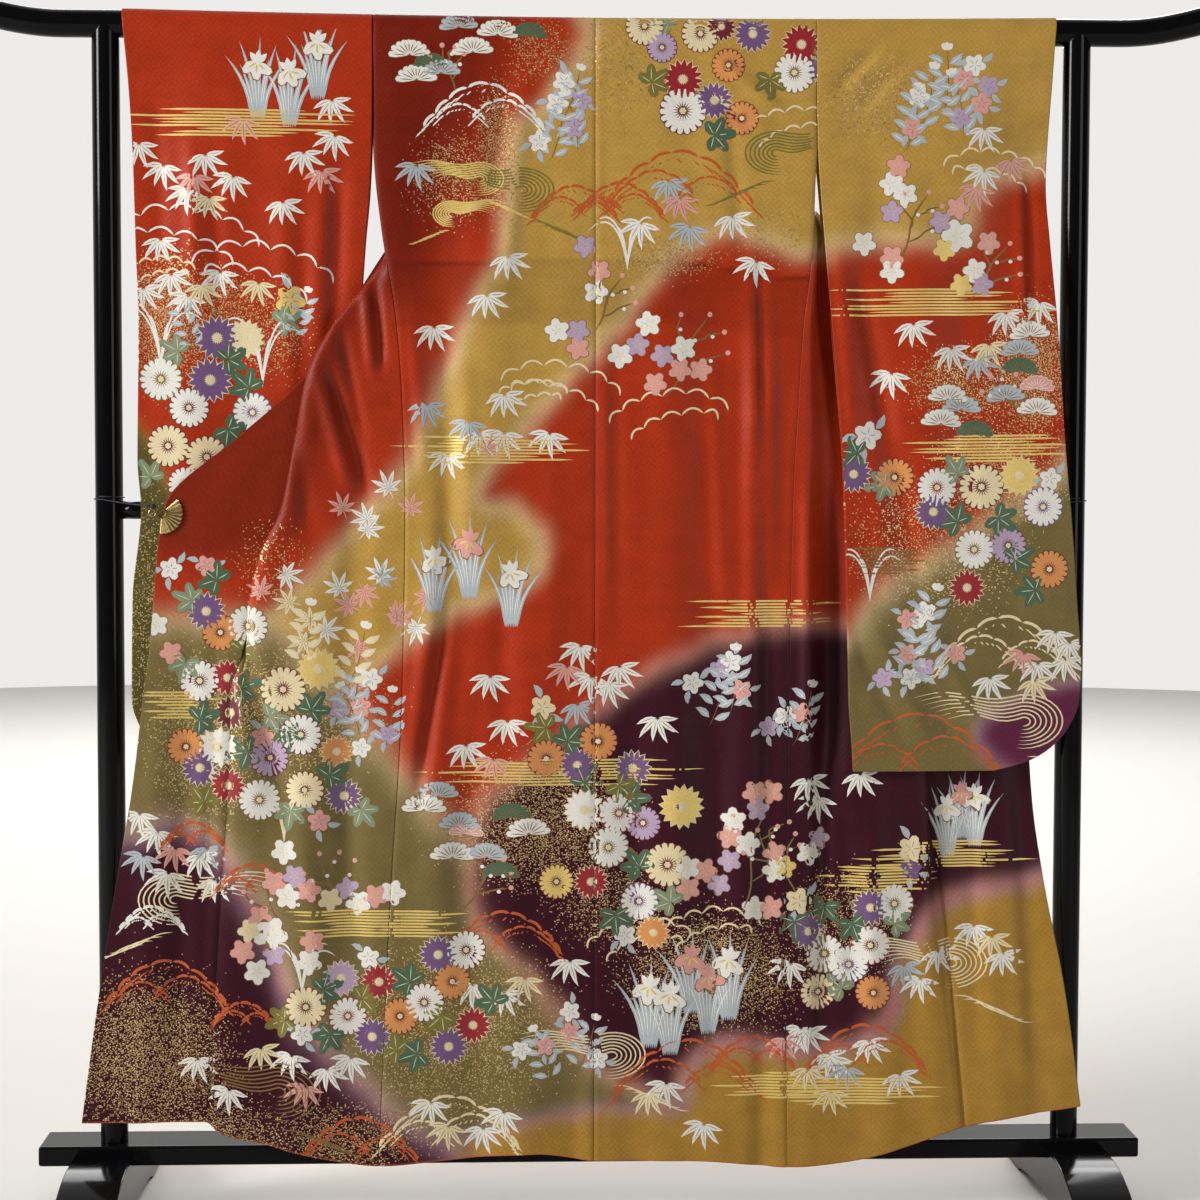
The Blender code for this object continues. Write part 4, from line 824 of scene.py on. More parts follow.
# Motifs of the layouts: motif, thread, size in cm, and x and drop in cm of one place after another
BODY_MOTIFS = (
    ("pine", "white", 5.6, (-26.5, 6, -14, 3, -25.5, 9.5, -17.5, 5.5)),
    ("pine", "grey", 5.2, (-19.5, 2, -22, 8.5)),
    ("pine", "green", 4.6, (-9.5, 3, -23.5, 7.5)),
    ("twig", "dull gold", 7, (-20, 11.5)),
    ("mountain", "white", 17, (-16, 10)),
    ("water", "gold", 9, (-16.5, 23.5)),
    ("bamboo", "grey", 5.2, (-25.5, 21.5)),
    ("sprig", "grey", 8, (-5, 15.5, -2.5, 19.5, -6.5, 21)),
    ("bell", "white", 3, (-4.5, 9.5, -8, 18, -5.5, 12.5)),
    ("bell", "lavender", 2.8, (-3, 16, -2, 12)),
    ("water", "olive", 12, (-10.5, 25)),
    ("mountain", "rust", 12, (-3, 24.5)),
    ("water", "gold", 7, (-20.5, 28.5)),
    ("bamboo", "white", 5.2, (-12.5, 34.5, -15.5, 40, -23, 44.5, -13, 54, -16.5, 59.5, -13, 59.5,
        -6.5, 59.5, -21, 62.5)),
    ("bamboo", "grey", 5, (-24, 55.5, -18, 58)),
    ("maple", "pink", 4, (-15.5, 62)),
    ("cloud", "cream", 11, (-9.5, 52.5)),
    ("mist", "gold", 23, (-14.5, 62)),
    ("maple", "white", 4.4, (-29.5, 67.5, -32.5, 72)),
    ("maple", "pink", 4, (-36, 70.5, -26.5, 70.5)),
    ("plum", "white", 3.2, (0, 39.5, -5.5, 45)),
    ("plum", "lavender", 3, (-1.5, 33, -2.5, 45)),
    ("plum", "pink", 3, (-2.5, 47.5, 0.5, 36.5)),
    ("twig", "dull gold", 9, (-0.5, 45.5)),
    ("mum sharp", "crimson", 5.4, (12.5, 9, 29.5, 4)),
    ("mum white", "maroon", 6.2, (12.5, 13.5)),
    ("mum white", "dull gold", 5.4, (28.5, 8)),
    ("mum sharp", "purple", 5, (17, 12, 22.5, 2.5, 33, 7.5)),
    ("mum", "orange", 4.4, (19, 7, 21, 14.5)),
    ("mum", "lavender", 4, (9.5, 4.5)),
    ("leaf", "green", 5, (17, 17, 35.5, 7.5, 39.5, 7)),
    ("leaf", "olive", 4.6, (25, 9, 8, 9.5)),
    ("mum", "cream", 5, (7, 1.5, 15, 2.5)),
    ("mum sharp", "maroon", 4, (18, 1.5)),
    ("leaf", "grey green", 4.2, (10.5, 1)),
    ("mountain", "rust", 21, (12, 19.5)),
    ("mountain", "rust", 12, (3.5, 24)),
    ("water", "olive", 12, (26, 19.5)),
    ("bamboo", "white", 5.2, (6.5, 29.5, 19.5, 28.5, 23, 35)),
    ("bamboo", "grey", 5.2, (10.5, 23.5, 13.5, 30)),
    ("bamboo", "pink", 5, (12, 26)),
    ("cloud", "cream", 14, (28, 13.5)),
    ("grass", "white", 7, (4.5, 36.5)),
    ("twig", "dull gold", 13, (10, 54.5)),
    ("plum", "white", 3.3, (3.5, 48.5, 7.5, 44, 12.5, 47.5)),
    ("plum", "lavender", 3, (6, 47, 9.5, 48.5)),
    ("plum", "pink", 3, (12, 50.5, 15, 50.5, 8.5, 52.5)),
    ("cloud", "cream", 17, (10.5, 54, -5, 50)),
    ("iris", "white", 8.4, (-23, 77.5, -12, 79.5)),
    ("iris", "pink", 9, (-18, 75)),
    ("maple", "white", 4.4, (-32.5, 73.5, -25.5, 87.5)),
    ("maple", "grey", 4, (-30.5, 80.5)),
    ("maple", "pink", 4.2, (-28, 86.5, -24, 83)),
    ("bamboo", "white", 5.3, (-2, 90, -0.5, 94.5, 3.5, 93, 2, 95.5, -15, 94.5, -12.5, 101, -18.5, 104.5,
        9, 100.5, 31, 109.5, 32.5, 112.5)),
    ("bamboo", "pink", 5, (-4, 93, -14.5, 106.5)),
    ("bamboo", "grey", 5, (-2.5, 98.5)),
    ("sprig", "grey", 9, (19.5, 100, 16.5, 102, 28.5, 105)),
    ("bell", "white", 3, (19.5, 92.5, 14, 95.5, 27.5, 100.5)),
    ("bell", "pink", 2.8, (21, 96.5, 30, 100)),
    ("bell", "lavender", 2.8, (18, 93.5, 25, 102)),
    ("mist", "gold", 20, (24.5, 85.5)),
    ("mist", "gold", 33, (-5, 108.5)),
    ("bell", "cream", 3.4, (-7.5, 99)),
    ("leaf", "olive", 4.8, (-7, 102, 3.5, 110.5)),
    ("leaf", "green", 4.8, (-1.5, 110, 5, 112.5, -4, 104)),
    ("mum", "orange", 5, (-7, 106.5, 0.5, 104)),
    ("mum sharp", "purple", 5, (-2.5, 107.5, 5.5, 108)),
    ("mum sharp", "white", 5.6, (-1.5, 114)),
    ("mum white", "crimson", 5.2, (3.5, 114.5)),
    ("mum", "lavender", 4.6, (7, 116)),
    ("mum sharp", "gold", 6, (12.5, 113.5)),
    ("mum white", "dull gold", 5.4, (2, 119.5)),
    ("mum", "gold", 4.6, (-5.5, 124.5)),
    ("mum sharp", "crimson", 4.8, (-0.5, 124.5)),
    ("pine", "white", 6, (-24.5, 114, -20.5, 121, -9.5, 117.5)),
    ("pine", "grey", 5.6, (-15.5, 121, -22.5, 112, -19.5, 116.5)),
    ("pine", "green", 5, (-13.5, 123.5, -12, 115)),
    ("pine", "pink", 4.6, (-18.5, 117.5)),
    ("twig", "dull gold", 9, (-19, 128.5)),
    ("mum", "cream", 6, (10.5, 122)),
    ("mum white", "purple", 5, (6.5, 127.5)),
    ("mum sharp", "orange", 4.6, (8.5, 132)),
    ("leaf", "green", 5, (6.5, 122.5, 3, 129.5)),
    ("leaf", "grey green", 4.6, (11, 127.5)),
    ("bell", "white", 3, (4.5, 132.5)),
    ("plum", "white", 3.3, (20, 115.5, 22, 119, 26, 123, 31, 120.5, 23, 128.5, 13.5, 122.5)),
    ("plum", "pink", 3.2, (19.5, 118, 23, 111.5, 25.5, 111.5, 16, 123, 13.5, 125.5, 26, 120.5,
        25.5, 128.5)),
    ("plum", "lavender", 3, (23.5, 114, 19.5, 121.5, 18, 125, 32.5, 118.5)),
    ("plum", "gold", 3, (27.5, 122.5)),
    ("twig", "dull gold", 16, (21, 129.5)),
    ("twig", "dull gold", 12, (29.5, 127.5)),
    ("mountain", "rust", 16, (-13, 129)),
    ("mist", "gold", 14, (-26.5, 130.5)),
    ("cloud", "cream", 15, (6.5, 130.5, 16.5, 129)),
    ("bamboo", "white", 5.3, (-3.5, 136, 28.5, 136.5, -17.5, 139.5, -13, 140.5)),
    ("bamboo", "cream", 5, (-10, 138.5)),
    ("iris", "pink", 9, (14, 135.5, 16.5, 138.5)),
    ("iris", "white", 9.5, (8, 140, 19.5, 136, 11, 141)),
    ("mum sharp", "purple", 5.2, (-22.5, 135, -32, 147, -21, 148.5)),
    ("mum white", "maroon", 5.2, (-18.5, 134.5, -24.5, 142)),
    ("mum sharp", "crimson", 5, (-31, 139, -17.5, 145.5)),
    ("mum", "orange", 4.8, (-28, 144, -20.5, 139)),
    ("leaf", "green", 5, (-26.5, 139, -14.5, 142, -25.5, 149.5)),
    ("leaf", "olive", 4.8, (-22, 144, -28.5, 149)),
    ("bell", "white", 2.8, (-10.5, 149, -3.5, 143.5, 0.5, 150.5)),
    ("bell", "pink", 2.6, (-7, 148.5, -3.5, 146.5)),
    ("sprig", "grey", 8, (-6, 154, -2.5, 152.5)),
    ("mountain", "cream", 20, (-21, 156)),
    ("water", "cream", 13, (2.5, 150)),
    ("mountain", "rust", 21, (13.5, 148)),
    ("mountain", "rust", 12, (23, 147.5)),
    ("bamboo", "white", 5.3, (-13, 158, -16, 160.5, -23.5, 156.5, 10.5, 154, 16, 160, 31, 146.5,
        34, 150)),
    ("bamboo", "cream", 5.1, (-21, 160, 8, 155.5, 31, 152)),
    ("bamboo", "pink", 5.1, (27.5, 147.5)),
    ("mist", "gold", 16, (27, 154.5)),
    ("bell", "cream", 3.6, (29.5, 127.5, 46, 120)),
    ("bell", "purple", 3, (46, 123)),
    ("leaf", "green", 4.8, (29, 130.5, 33.5, 128.5, 37.5, 131)),
    ("leaf", "grey green", 4.4, (36, 140.5, 43.5, 131)),
    ("mum sharp", "purple", 5, (31, 132, 40, 128.5)),
    ("mum white", "dull gold", 5.2, (33.5, 135.5, 43.5, 128)),
    ("mum white", "crimson", 5.2, (40, 134)),
    ("mum white", "purple", 5, (37, 137)),
    ("mum", "cream", 4.8, (32.5, 141)),
    ("mum", "orange", 4.6, (40.5, 141)),
    ("iris", "white", 8, (51.5, 114, 55.5, 112.5)),
    ("iris", "pink", 7.4, (53.5, 112)),
    ("mist", "gold", 22, (50.5, 121)),
    ("mist", "gold", 15, (41.5, 124.5)),
    ("bamboo", "white", 5.2, (38.5, 109, 55.5, 131.5, 59.5, 135.5, 50, 135, 47.5, 139, 30, 146, 40, 148,
        35, 150.5, 44.5, 153)),
    ("bamboo", "grey", 5, (45, 137, 37, 152)),
    ("bamboo", "cream", 5, (34.5, 155.5, 58, 133)),
    ("mountain", "rust", 17, (39.5, 146)),
    ("water", "cream", 14, (52, 137)),
    ("mist", "gold", 22, (38, 155.5)),
    ("bell", "white", 3, (-60.5, 79.5, -32, 95)),
    ("bell", "pink", 2.8, (-55.5, 79, -33.5, 99)),
    ("leaf", "green", 5, (-54, 81, -56.5, 101, -49.5, 105.5, -50.5, 96.5)),
    ("leaf", "grey green", 4.6, (-57.5, 84, -58.5, 93)),
    ("leaf", "olive", 4.8, (-56, 113, -50.5, 91)),
    ("mum sharp", "purple", 5.2, (-55.5, 85.5, -56.5, 108)),
    ("mum", "orange", 4.8, (-53.5, 88.5, -58.5, 105)),
    ("mum white", "dull gold", 5.4, (-49.5, 87.5, -48, 112.5)),
    ("mum sharp", "white", 5.6, (-54, 105)),
    ("mum white", "maroon", 5.4, (-56.5, 95.5)),
    ("mum sharp", "crimson", 4.8, (-52.5, 95, -52.5, 110.5)),
    ("mum sharp", "maroon", 4.6, (-52, 100)),
    ("plum", "white", 3, (-62.5, 87.5)),
    ("plum", "pink", 3, (-60.5, 91.5)),
    ("mist", "gold", 10, (-59.5, 99)),
    ("maple", "pink", 4.2, (-47.5, 82.5, -33, 82.5, -35, 84.5, -34, 90.5, -28.5, 85.5)),
    ("maple", "white", 4.4, (-44, 80, -36.5, 82, -38.5, 88, -30.5, 80)),
    ("maple", "cream", 4, (-43.5, 84, -40.5, 86.5, -41.5, 89.5)),
    ("sprig", "grey", 8, (-33.5, 104, -30, 105, -36, 102)),
    ("bell", "lavender", 2.7, (-36.5, 99.5, -29.5, 103)),
    ("bell", "white", 2.7, (-33.5, 105)),
    ("mum", "cream", 6, (-44.5, 96.5)),
    ("mum sharp", "gold", 5.6, (-39.5, 93.5)),
    ("mum white", "maroon", 5.4, (-42, 103)),
    ("mum", "lavender", 5, (-46.5, 106.5)),
    ("mum sharp", "orange", 4.6, (-37, 105.5)),
    ("mum", "cream", 5, (-41.5, 111)),
    ("mum sharp", "purple", 5, (-36, 112)),
    ("leaf", "green", 4.8, (-40.5, 99.5, -44, 102.5, -38, 109)),
    ("leaf", "grey green", 4.6, (-46.5, 100.5, -43.5, 114, -33.5, 114)),
    ("bell", "pink", 3, (-47.5, 103.5, -39.5, 115.5)),
    ("sprig", "cream", 9, (-42, 93.5, -35.5, 96.5)),
    ("grass", "cream", 8, (-44.5, 119)),
    ("mountain", "rust", 9, (-57.5, 116)),
    ("mountain", "rust", 11, (-49, 122)),
    ("mountain", "rust", 17, (-61.5, 136)),
    ("mountain", "rust", 9, (-50.5, 142)),
    ("mountain", "rust", 17, (-34, 159)),
    ("bamboo", "white", 5.2, (-65, 114.5, -62.5, 117, -56.5, 120.5, -61, 123, -54.5, 124, -43.5, 149.5,
        -38.5, 151.5, -57, 150, -52.5, 154.5, -35, 150)),
    ("bamboo", "grey", 5, (-64.5, 120.5, -55.5, 119.5)),
    ("bamboo", "pink", 5, (-60, 119.5, -41.5, 154)),
    ("bamboo", "cream", 5, (-48, 148.5)),
    ("water", "cream", 14, (-60, 127)),
    ("water", "dull gold", 16, (-45.5, 155)),
    ("mountain", "white", 9, (-63.5, 128)),
    ("plum", "white", 3.4, (-44.5, 120, -44, 126.5, -34, 127.5, -29, 126, -41, 136, -48.5, 137.5)),
    ("plum", "white", 4.6, (-46.5, 132)),
    ("plum", "pink", 3.2, (-46, 124.5, -41, 125.5, -31.5, 126.5, -48, 129.5, -40.5, 133, -50.5, 134.5)),
    ("plum", "lavender", 3.1, (-43, 123.5, -35.5, 125.5, -46, 135)),
    ("plum", "cream", 3.1, (-49.5, 131.5, -38, 127)),
    ("twig", "dull gold", 14, (-43.5, 136.5)),
    ("twig", "dull gold", 11, (-35, 130.5)),
    ("mist", "gold", 18, (-34, 130.5)),
    ("mum", "cream", 5.4, (-41.5, 142.5)),
    ("mum sharp", "lavender", 5, (-36.5, 138.5)),
    ("mum white", "crimson", 5, (-35.5, 144)),
    ("leaf", "green", 4.8, (-39, 140, -38, 146.5)),
    ("leaf", "olive", 4.6, (-44.5, 144.5, -33.5, 141.5)),
    ("bell", "white", 3, (-42, 146.5, -32.5, 135.5)),
    ("grass", "white", 7, (-42, 141)))
SLEEVE_MOTIFS = {-1: (
    ("iris", "white", 8.5, (-48, 7.5, -43.5, 8.5, -39.5, 4.5)),
    ("mist", "gold", 29, (-50.5, 16)),
    ("bamboo", "pink", 5, (-50, 15.5, -39, 22.5, -57, 23.5)),
    ("bamboo", "white", 5, (-37.5, 12.5, -37, 17.5, -41.5, 20, -44.5, 27, -61.5, 22, -55.5, 20.5,
        -51.5, 23.5, -58, 25.5, -62, 32.5, -53.5, 37, -60.5, 37.5, -64.5, 39.5, -58, 40.5, -65, 19)),
    ("bamboo", "cream", 4.7, (-55, 26.5, -56, 39, -48, 38.5)),
    ("cloud", "white", 20, (-58, 28.5, -47.5, 33.5)),
    ("cloud", "cream", 11, (-62.5, 35.5)),
    ("mum sharp", "purple", 6, (-54, 46.5, -55, 52.5)),
    ("mum sharp", "cream", 5.2, (-50, 46.5)),
    ("mum white", "dull gold", 5.6, (-62, 52.5)),
    ("mum white", "maroon", 5.2, (-58, 56.5)),
    ("mum white", "purple", 5.2, (-49, 57)),
    ("leaf", "green", 5, (-52.5, 49.5, -52.5, 59.5, -49.5, 53.5)),
    ("leaf", "grey green", 4.5, (-44.5, 44, -59.5, 48.5)),
    ("bell", "gold", 4, (-43.5, 41)),
    ("grass", "white", 9, (-62, 51.5, -47.5, 53.5)),
    ("sprig", "grey", 7, (-57, 48.5, -43.5, 46.5)),
    ("mum", "cream", 5.5, (-61, 62, -55.5, 63.5)),
    ("mum white", "crimson", 4.6, (-58.5, 67.5)),
    ("leaf", "grey green", 4.4, (-52.5, 66, -63.5, 66.5)),
    ("bell", "white", 2.8, (-51, 69.5, -48.5, 65.5)),
    ("mum", "cream", 5.6, (-43.5, 72.5)),
    ("mum sharp", "crimson", 5, (-49.5, 76, -38, 78)),
    ("mum white", "purple", 5.2, (-42, 80.5)),
    ("mum", "orange", 4.8, (-53.5, 82.5)),
    ("leaf", "green", 4.8, (-46.5, 81, -38.5, 72.5, -51, 80)),
    ("mist", "gold", 17, (-47.5, 86.5)),
    ("plum", "white", 3.2, (-56.5, 91, -53.5, 94)),
    ("plum", "pink", 3.1, (-54.5, 96.5, -51.5, 91)),
    ("twig", "dull gold", 10, (-54, 98)),
    ("bamboo", "white", 5.1, (-45, 92.5, -38, 89.5, -35.5, 85.5)),
    ("mountain", "cream", 17, (-43.5, 100))), 1: (
    ("sprig", "grey", 9, (46.5, 16.5, 53, 17.5, 50, 14, 44.5, 19.5)),
    ("bell", "white", 3, (46.5, 11.5, 54.5, 7)),
    ("bell", "pink", 2.9, (45.5, 16, 55.5, 12.5, 53, 9)),
    ("bell", "lavender", 2.9, (52.5, 14.5, 56.5, 10)),
    ("bamboo", "white", 5, (56, 22, 56, 16)),
    ("bamboo", "pink", 5, (55, 24.5, 60, 20.5)),
    ("cloud", "cream", 15, (57.5, 19.5)),
    ("plum", "white", 3.2, (42.5, 24, 38.5, 32.5, 42.5, 36.5, 54.5, 36.5, 44.5, 25.5)),
    ("plum", "white", 4.4, (52, 31.5)),
    ("plum", "pink", 3.1, (43.5, 21.5, 52, 27.5, 42.5, 34.5, 56.5, 32.5)),
    ("plum", "lavender", 3, (42.5, 28, 49.5, 29.5, 55.5, 38.5)),
    ("plum", "gold", 3, (50, 33.5, 52.5, 38.5)),
    ("twig", "dull gold", 11, (43, 35.5)),
    ("twig", "dull gold", 10, (53.5, 41)),
    ("mist", "gold", 28, (48.5, 41)),
    ("bamboo", "white", 5.2, (45.5, 44, 59, 42.5, 51, 47.5, 42.5, 51, 64, 41)),
    ("bamboo", "cream", 5.1, (56.5, 47)),
    ("bamboo", "grey", 5, (55, 49)),
    ("pine", "white", 5.6, (62.5, 46, 50.5, 55, 49.5, 58.5, 63.5, 57)),
    ("pine", "grey", 5.4, (52.5, 56.5, 59, 55, 61, 48.5)),
    ("pine", "green", 5, (61, 51, 54.5, 60)),
    ("pine", "pink", 4.6, (63.5, 53.5)),
    ("twig", "dull gold", 8, (61.5, 58)),
    ("bell", "white", 3.8, (39, 60)),
    ("leaf", "green", 4.8, (37.5, 62.5, 63.5, 82.5, 60.5, 78)),
    ("leaf", "grey green", 4.5, (41.5, 67, 52, 65.5)),
    ("mum sharp", "purple", 5, (37, 65.5, 48.5, 71)),
    ("mum", "orange", 5, (43, 66)),
    ("mum white", "crimson", 5.2, (49, 67.5)),
    ("mist", "gold", 22, (57, 62)),
    ("mum", "cream", 6, (55.5, 67.5)),
    ("mum sharp", "gold", 5.4, (61, 66)),
    ("mum white", "purple", 5.2, (64.5, 70.5)),
    ("leaf", "green", 5, (58, 72, 52, 72.5)),
    ("bell", "white", 3, (65.5, 66.5)),
    ("mum white", "dull gold", 5.2, (54.5, 76.5)),
    ("mum sharp", "crimson", 5, (53.5, 82)),
    ("mum", "orange", 5, (65.5, 79.5)),
    ("mum", "lavender", 4.8, (59.5, 76)),
    ("mountain", "cream", 20, (59, 86.5)),
    ("sprig", "grey", 9, (46, 91, 44.5, 96.5, 49.5, 96.5)),
    ("bell", "white", 3, (47.5, 85.5, 45.5, 95)),
    ("bell", "pink", 2.8, (45, 86.5, 45, 91.5, 52, 91.5)),
    ("bell", "lavender", 2.8, (47.5, 93.5, 41.5, 95)),
    ("bamboo", "white", 5.1, (66.5, 88.5, 68.5, 90, 64, 93, 68, 92.5, 57, 95)),
    ("bamboo", "pink", 5, (62, 91.5)),
    ("bamboo", "cream", 5, (63.5, 95.5)),
    ("mountain", "rust", 25, (46.5, 100.5)),
    ("water", "cream", 15, (62, 101.5)),
    ("grass", "white", 7, (39.5, 84)),
    ("mist", "dull gold", 10, (42, 78)))}


def grid_faces(rows, columns, turned):
    """Quads of a grid of vertices, running across then down, or the other way when turned."""
    index = np.arange(rows * columns).reshape(rows, columns)
    quads = [index[:-1, :-1], index[:-1, 1:], index[1:, 1:], index[1:, :-1]]
    if turned:
        quads = quads[::-1]
    return np.stack(quads, axis=-1).reshape(-1, 4)


def shell_faces(rows, columns, sign):
    """Quads of a closed shell on two like grids: the first grid, the second turned round, and
    the rim that joins their edges."""
    count = rows * columns
    index = np.arange(count).reshape(rows, columns)
    ring = np.concatenate([index[0, :-1], index[:-1, -1], index[-1, :0:-1], index[:0:-1, 0]])
    after = np.roll(ring, -1)
    start, end = (after, ring) if sign > 0 else (ring, after)
    rim = np.stack([start, end, end + count, start + count], axis=1)
    return np.concatenate([
        grid_faces(rows, columns, sign < 0), grid_faces(rows, columns, sign > 0) + count, rim])


def mesh_from(name, points, quads, triangles=()):
    """Make a smooth mesh object from arrays of points, quads and triangles."""
    quads = np.asarray(quads, np.int32).reshape(-1, 4)
    triangles = np.asarray(triangles, np.int32).reshape(-1, 3)
    mesh = bpy.data.meshes.new(name)
    mesh.vertices.add(len(points))
    mesh.vertices.foreach_set("co", np.ascontiguousarray(points, np.float32).ravel())
    loops = np.concatenate([quads.ravel(), triangles.ravel()])
    mesh.loops.add(len(loops))
    mesh.loops.foreach_set("vertex_index", loops)
    sizes = np.concatenate([np.full(len(quads), 4), np.full(len(triangles), 3)])
    mesh.polygons.add(len(sizes))
    starts = np.concatenate([[0], np.cumsum(sizes)[:-1]]).astype(np.int32)
    mesh.polygons.foreach_set("loop_start", starts)
    mesh.polygons.foreach_set("use_smooth", np.ones(len(sizes), bool))
    mesh.update(calc_edges=True)
    mesh.validate()
    thing = bpy.data.objects.new(name, mesh)
    bpy.context.scene.collection.objects.link(thing)
    return thing


def set_values(mesh, name, values):
    """Keep a number, or a colour of three parts, of each vertex as a named attribute."""
    if values.ndim == 1:
        layer = mesh.attributes.new(name, "FLOAT", "POINT")
        layer.data.foreach_set("value", np.ascontiguousarray(values, np.float32))
        return
    layer = mesh.attributes.new(name, "FLOAT_COLOR", "POINT")
    whole = np.concatenate([values, np.ones((len(values), 1))], axis=1)
    layer.data.foreach_set("color", np.ascontiguousarray(whole, np.float32).ravel())


def set_uv(mesh, uv):
    """Lay a UV map, in metres, from a pair of values of each vertex."""
    corner = np.empty(len(mesh.loops), np.int32)
    mesh.loops.foreach_get("vertex_index", corner)
    layer = mesh.uv_layers.new(name="cloth")
    layer.data.foreach_set("uv", np.ascontiguousarray(uv[corner], np.float32).ravel())


def cloth_shell(name, grid, sign, colour, dust, materials, turned_in):
    """A thin closed shell on a grid: one face each way along the normal, and a rim between them.
    The printed side is slot 0; the lining is slot 1. Along the hem, and for turned_in columns at
    the first and last edge, the printed silk is turned in over the lining."""
    rows, columns = grid.shape[:2]
    proud = grid_normals(grid, sign) * (SHELL / 2)
    points = np.concatenate([(grid + proud).reshape(-1, 3), (grid - proud).reshape(-1, 3)])
    thing = mesh_from(name, points, shell_faces(rows, columns, sign))
    mesh = thing.data
    for material in materials:
        mesh.materials.append(material)
    lined = np.ones((rows - 1, columns - 1), np.int32)
    lined[:, :turned_in[0]] = 0
    lined[:, columns - 1 - turned_in[1]:] = 0
    lined[-TURNED_ROWS:] = 0
    slots = np.zeros(len(mesh.polygons), np.int32)
    slots[lined.size:2 * lined.size] = lined.ravel()
    mesh.polygons.foreach_set("material_index", slots)
    across = np.linalg.norm(np.diff(grid, axis=1), axis=-1)
    across = np.concatenate([np.zeros((rows, 1)), np.cumsum(across, axis=1)], axis=1)
    uv = np.stack([across, CLOTH_TOP - grid[..., 2]], axis=-1).reshape(-1, 2)
    set_uv(mesh, np.tile(uv, (2, 1)))
    set_values(mesh, "tint", np.tile(colour.reshape(-1, 3), (2, 1)))
    set_values(mesh, "dust", np.tile(dust.ravel(), 2))
    return thing


# Materials
STRIPES = 2


class Nodes:
    """Short way to add and join the nodes of one tree."""

    def __init__(self, tree):
        """Keep the tree and start its row of nodes."""
        self.tree = tree
        self.place = 0

    def add(self, kind, label="", feeds=(), **settings):
        """Add a node, set its properties, label it and feed its inputs."""
        node = self.tree.nodes.new(kind)
        node.location = (180 * (self.place % 8), -260 * (self.place // 8))
        self.place += 1
        node.label = label
        for key, value in settings.items():
            setattr(node, key, value)
        self.feed(node, dict(feeds))
        return node

    def feed(self, node, feeds):
        """Join an output to each named or numbered input, or set the input to a value."""
        for key, value in feeds.items():
            if hasattr(value, "links"):
                self.tree.links.new(value, node.inputs[key])
            else:
                node.inputs[key].default_value = value

    def math(self, operation, first, second=None, label=""):
        """Add a Math node on values or outputs."""
        feeds = {0: first} if second is None else {0: first, 1: second}
        return self.add("ShaderNodeMath", label, feeds, operation=operation).outputs[0]

    def mix(self, share, first, second, label=""):
        """Add a colour Mix node."""
        feeds = {0: share, 6: first, 7: second}
        return self.add("ShaderNodeMix", label, feeds, data_type="RGBA").outputs[2]

    def noise(self, vector, scale, detail, label):
        """Add a Noise texture on a vector."""
        feeds = {"Vector": vector, "Scale": scale, "Detail": detail}
        return self.add("ShaderNodeTexNoise", label, feeds).outputs["Fac"]

    def span(self, value, low, high, to_low, to_high, label=""):
        """Map a value from one span to another, held at its ends."""
        feeds = {"Value": value, "From Min": low, "From Max": high, "To Min": to_low, "To Max": to_high}
        return self.add("ShaderNodeMapRange", label, feeds).outputs["Result"]

    def scaled(self, vector, factor, label=""):
        """Multiply a vector or a colour by a factor."""
        feeds = {0: vector, "Scale": factor}
        return self.add("ShaderNodeVectorMath", label, feeds, operation="SCALE").outputs[0]

    def attribute(self, name, output="Color"):
        """Read a named attribute of the mesh."""
        return self.add("ShaderNodeAttribute", attribute_name=name).outputs[output]

    def on_object(self):
        """Read the coordinates of the object."""
        return self.add("ShaderNodeTexCoord").outputs["Object"]

    def relief(self, shader, height, strength, distance):
        """Give a shader the relief of a height."""
        feeds = {"Height": height, "Strength": strength, "Distance": distance}
        self.feed(shader, {"Normal": self.add("ShaderNodeBump", "relief", feeds).outputs[0]})


def new_group(name, inputs, outputs):
    """Start a shader node group with named inputs, their values, and named float outputs."""
    tree = bpy.data.node_groups.new(name, "ShaderNodeTree")
    tree.interface.new_socket("Coordinates", in_out="INPUT", socket_type="NodeSocketVector")
    for socket, value in inputs.items():
        made = tree.interface.new_socket(socket, in_out="INPUT", socket_type="NodeSocketFloat")
        made.default_value = value
    for socket in outputs:
        tree.interface.new_socket(socket, in_out="OUTPUT", socket_type="NodeSocketFloat")
    nodes = Nodes(tree)
    return nodes, nodes.add("NodeGroupInput").outputs, nodes.add("NodeGroupOutput")


def weave_group(settings):
    """Figured weave: a damask of squares with fine stripes that turn from square to square."""
    nodes, given, made = new_group("figured weave", {"Size": settings.figure}, ("Height", "Mask"))
    feeds = {"Vector": given["Coordinates"], "Angle": math.radians(45)}
    slant = nodes.add("ShaderNodeVectorRotate", "quarter slant", feeds)
    split = nodes.add("ShaderNodeSeparateXYZ", "", {0: slant.outputs["Vector"]}).outputs
    across = nodes.math("DIVIDE", split["X"], given["Size"])
    down = nodes.math("DIVIDE", split["Y"], given["Size"])
    cell = nodes.math("ADD", nodes.math("FLOOR", across), nodes.math("FLOOR", down))
    odd = nodes.math("PINGPONG", cell, 1.0, "which square")
    stripes_across, stripes_down = (
        nodes.math("SINE", nodes.math("MULTIPLY", part, STRIPES * 2 * math.pi)) for part in (across, down))
    both = nodes.math(
        "ADD", nodes.math("MULTIPLY", stripes_across, odd),
        nodes.math("MULTIPLY", stripes_down, nodes.math("SUBTRACT", 1.0, odd)))
    nodes.feed(made, {"Height": both, "Mask": nodes.span(both, -1.0, 1.0, 0.0, 1.0)})


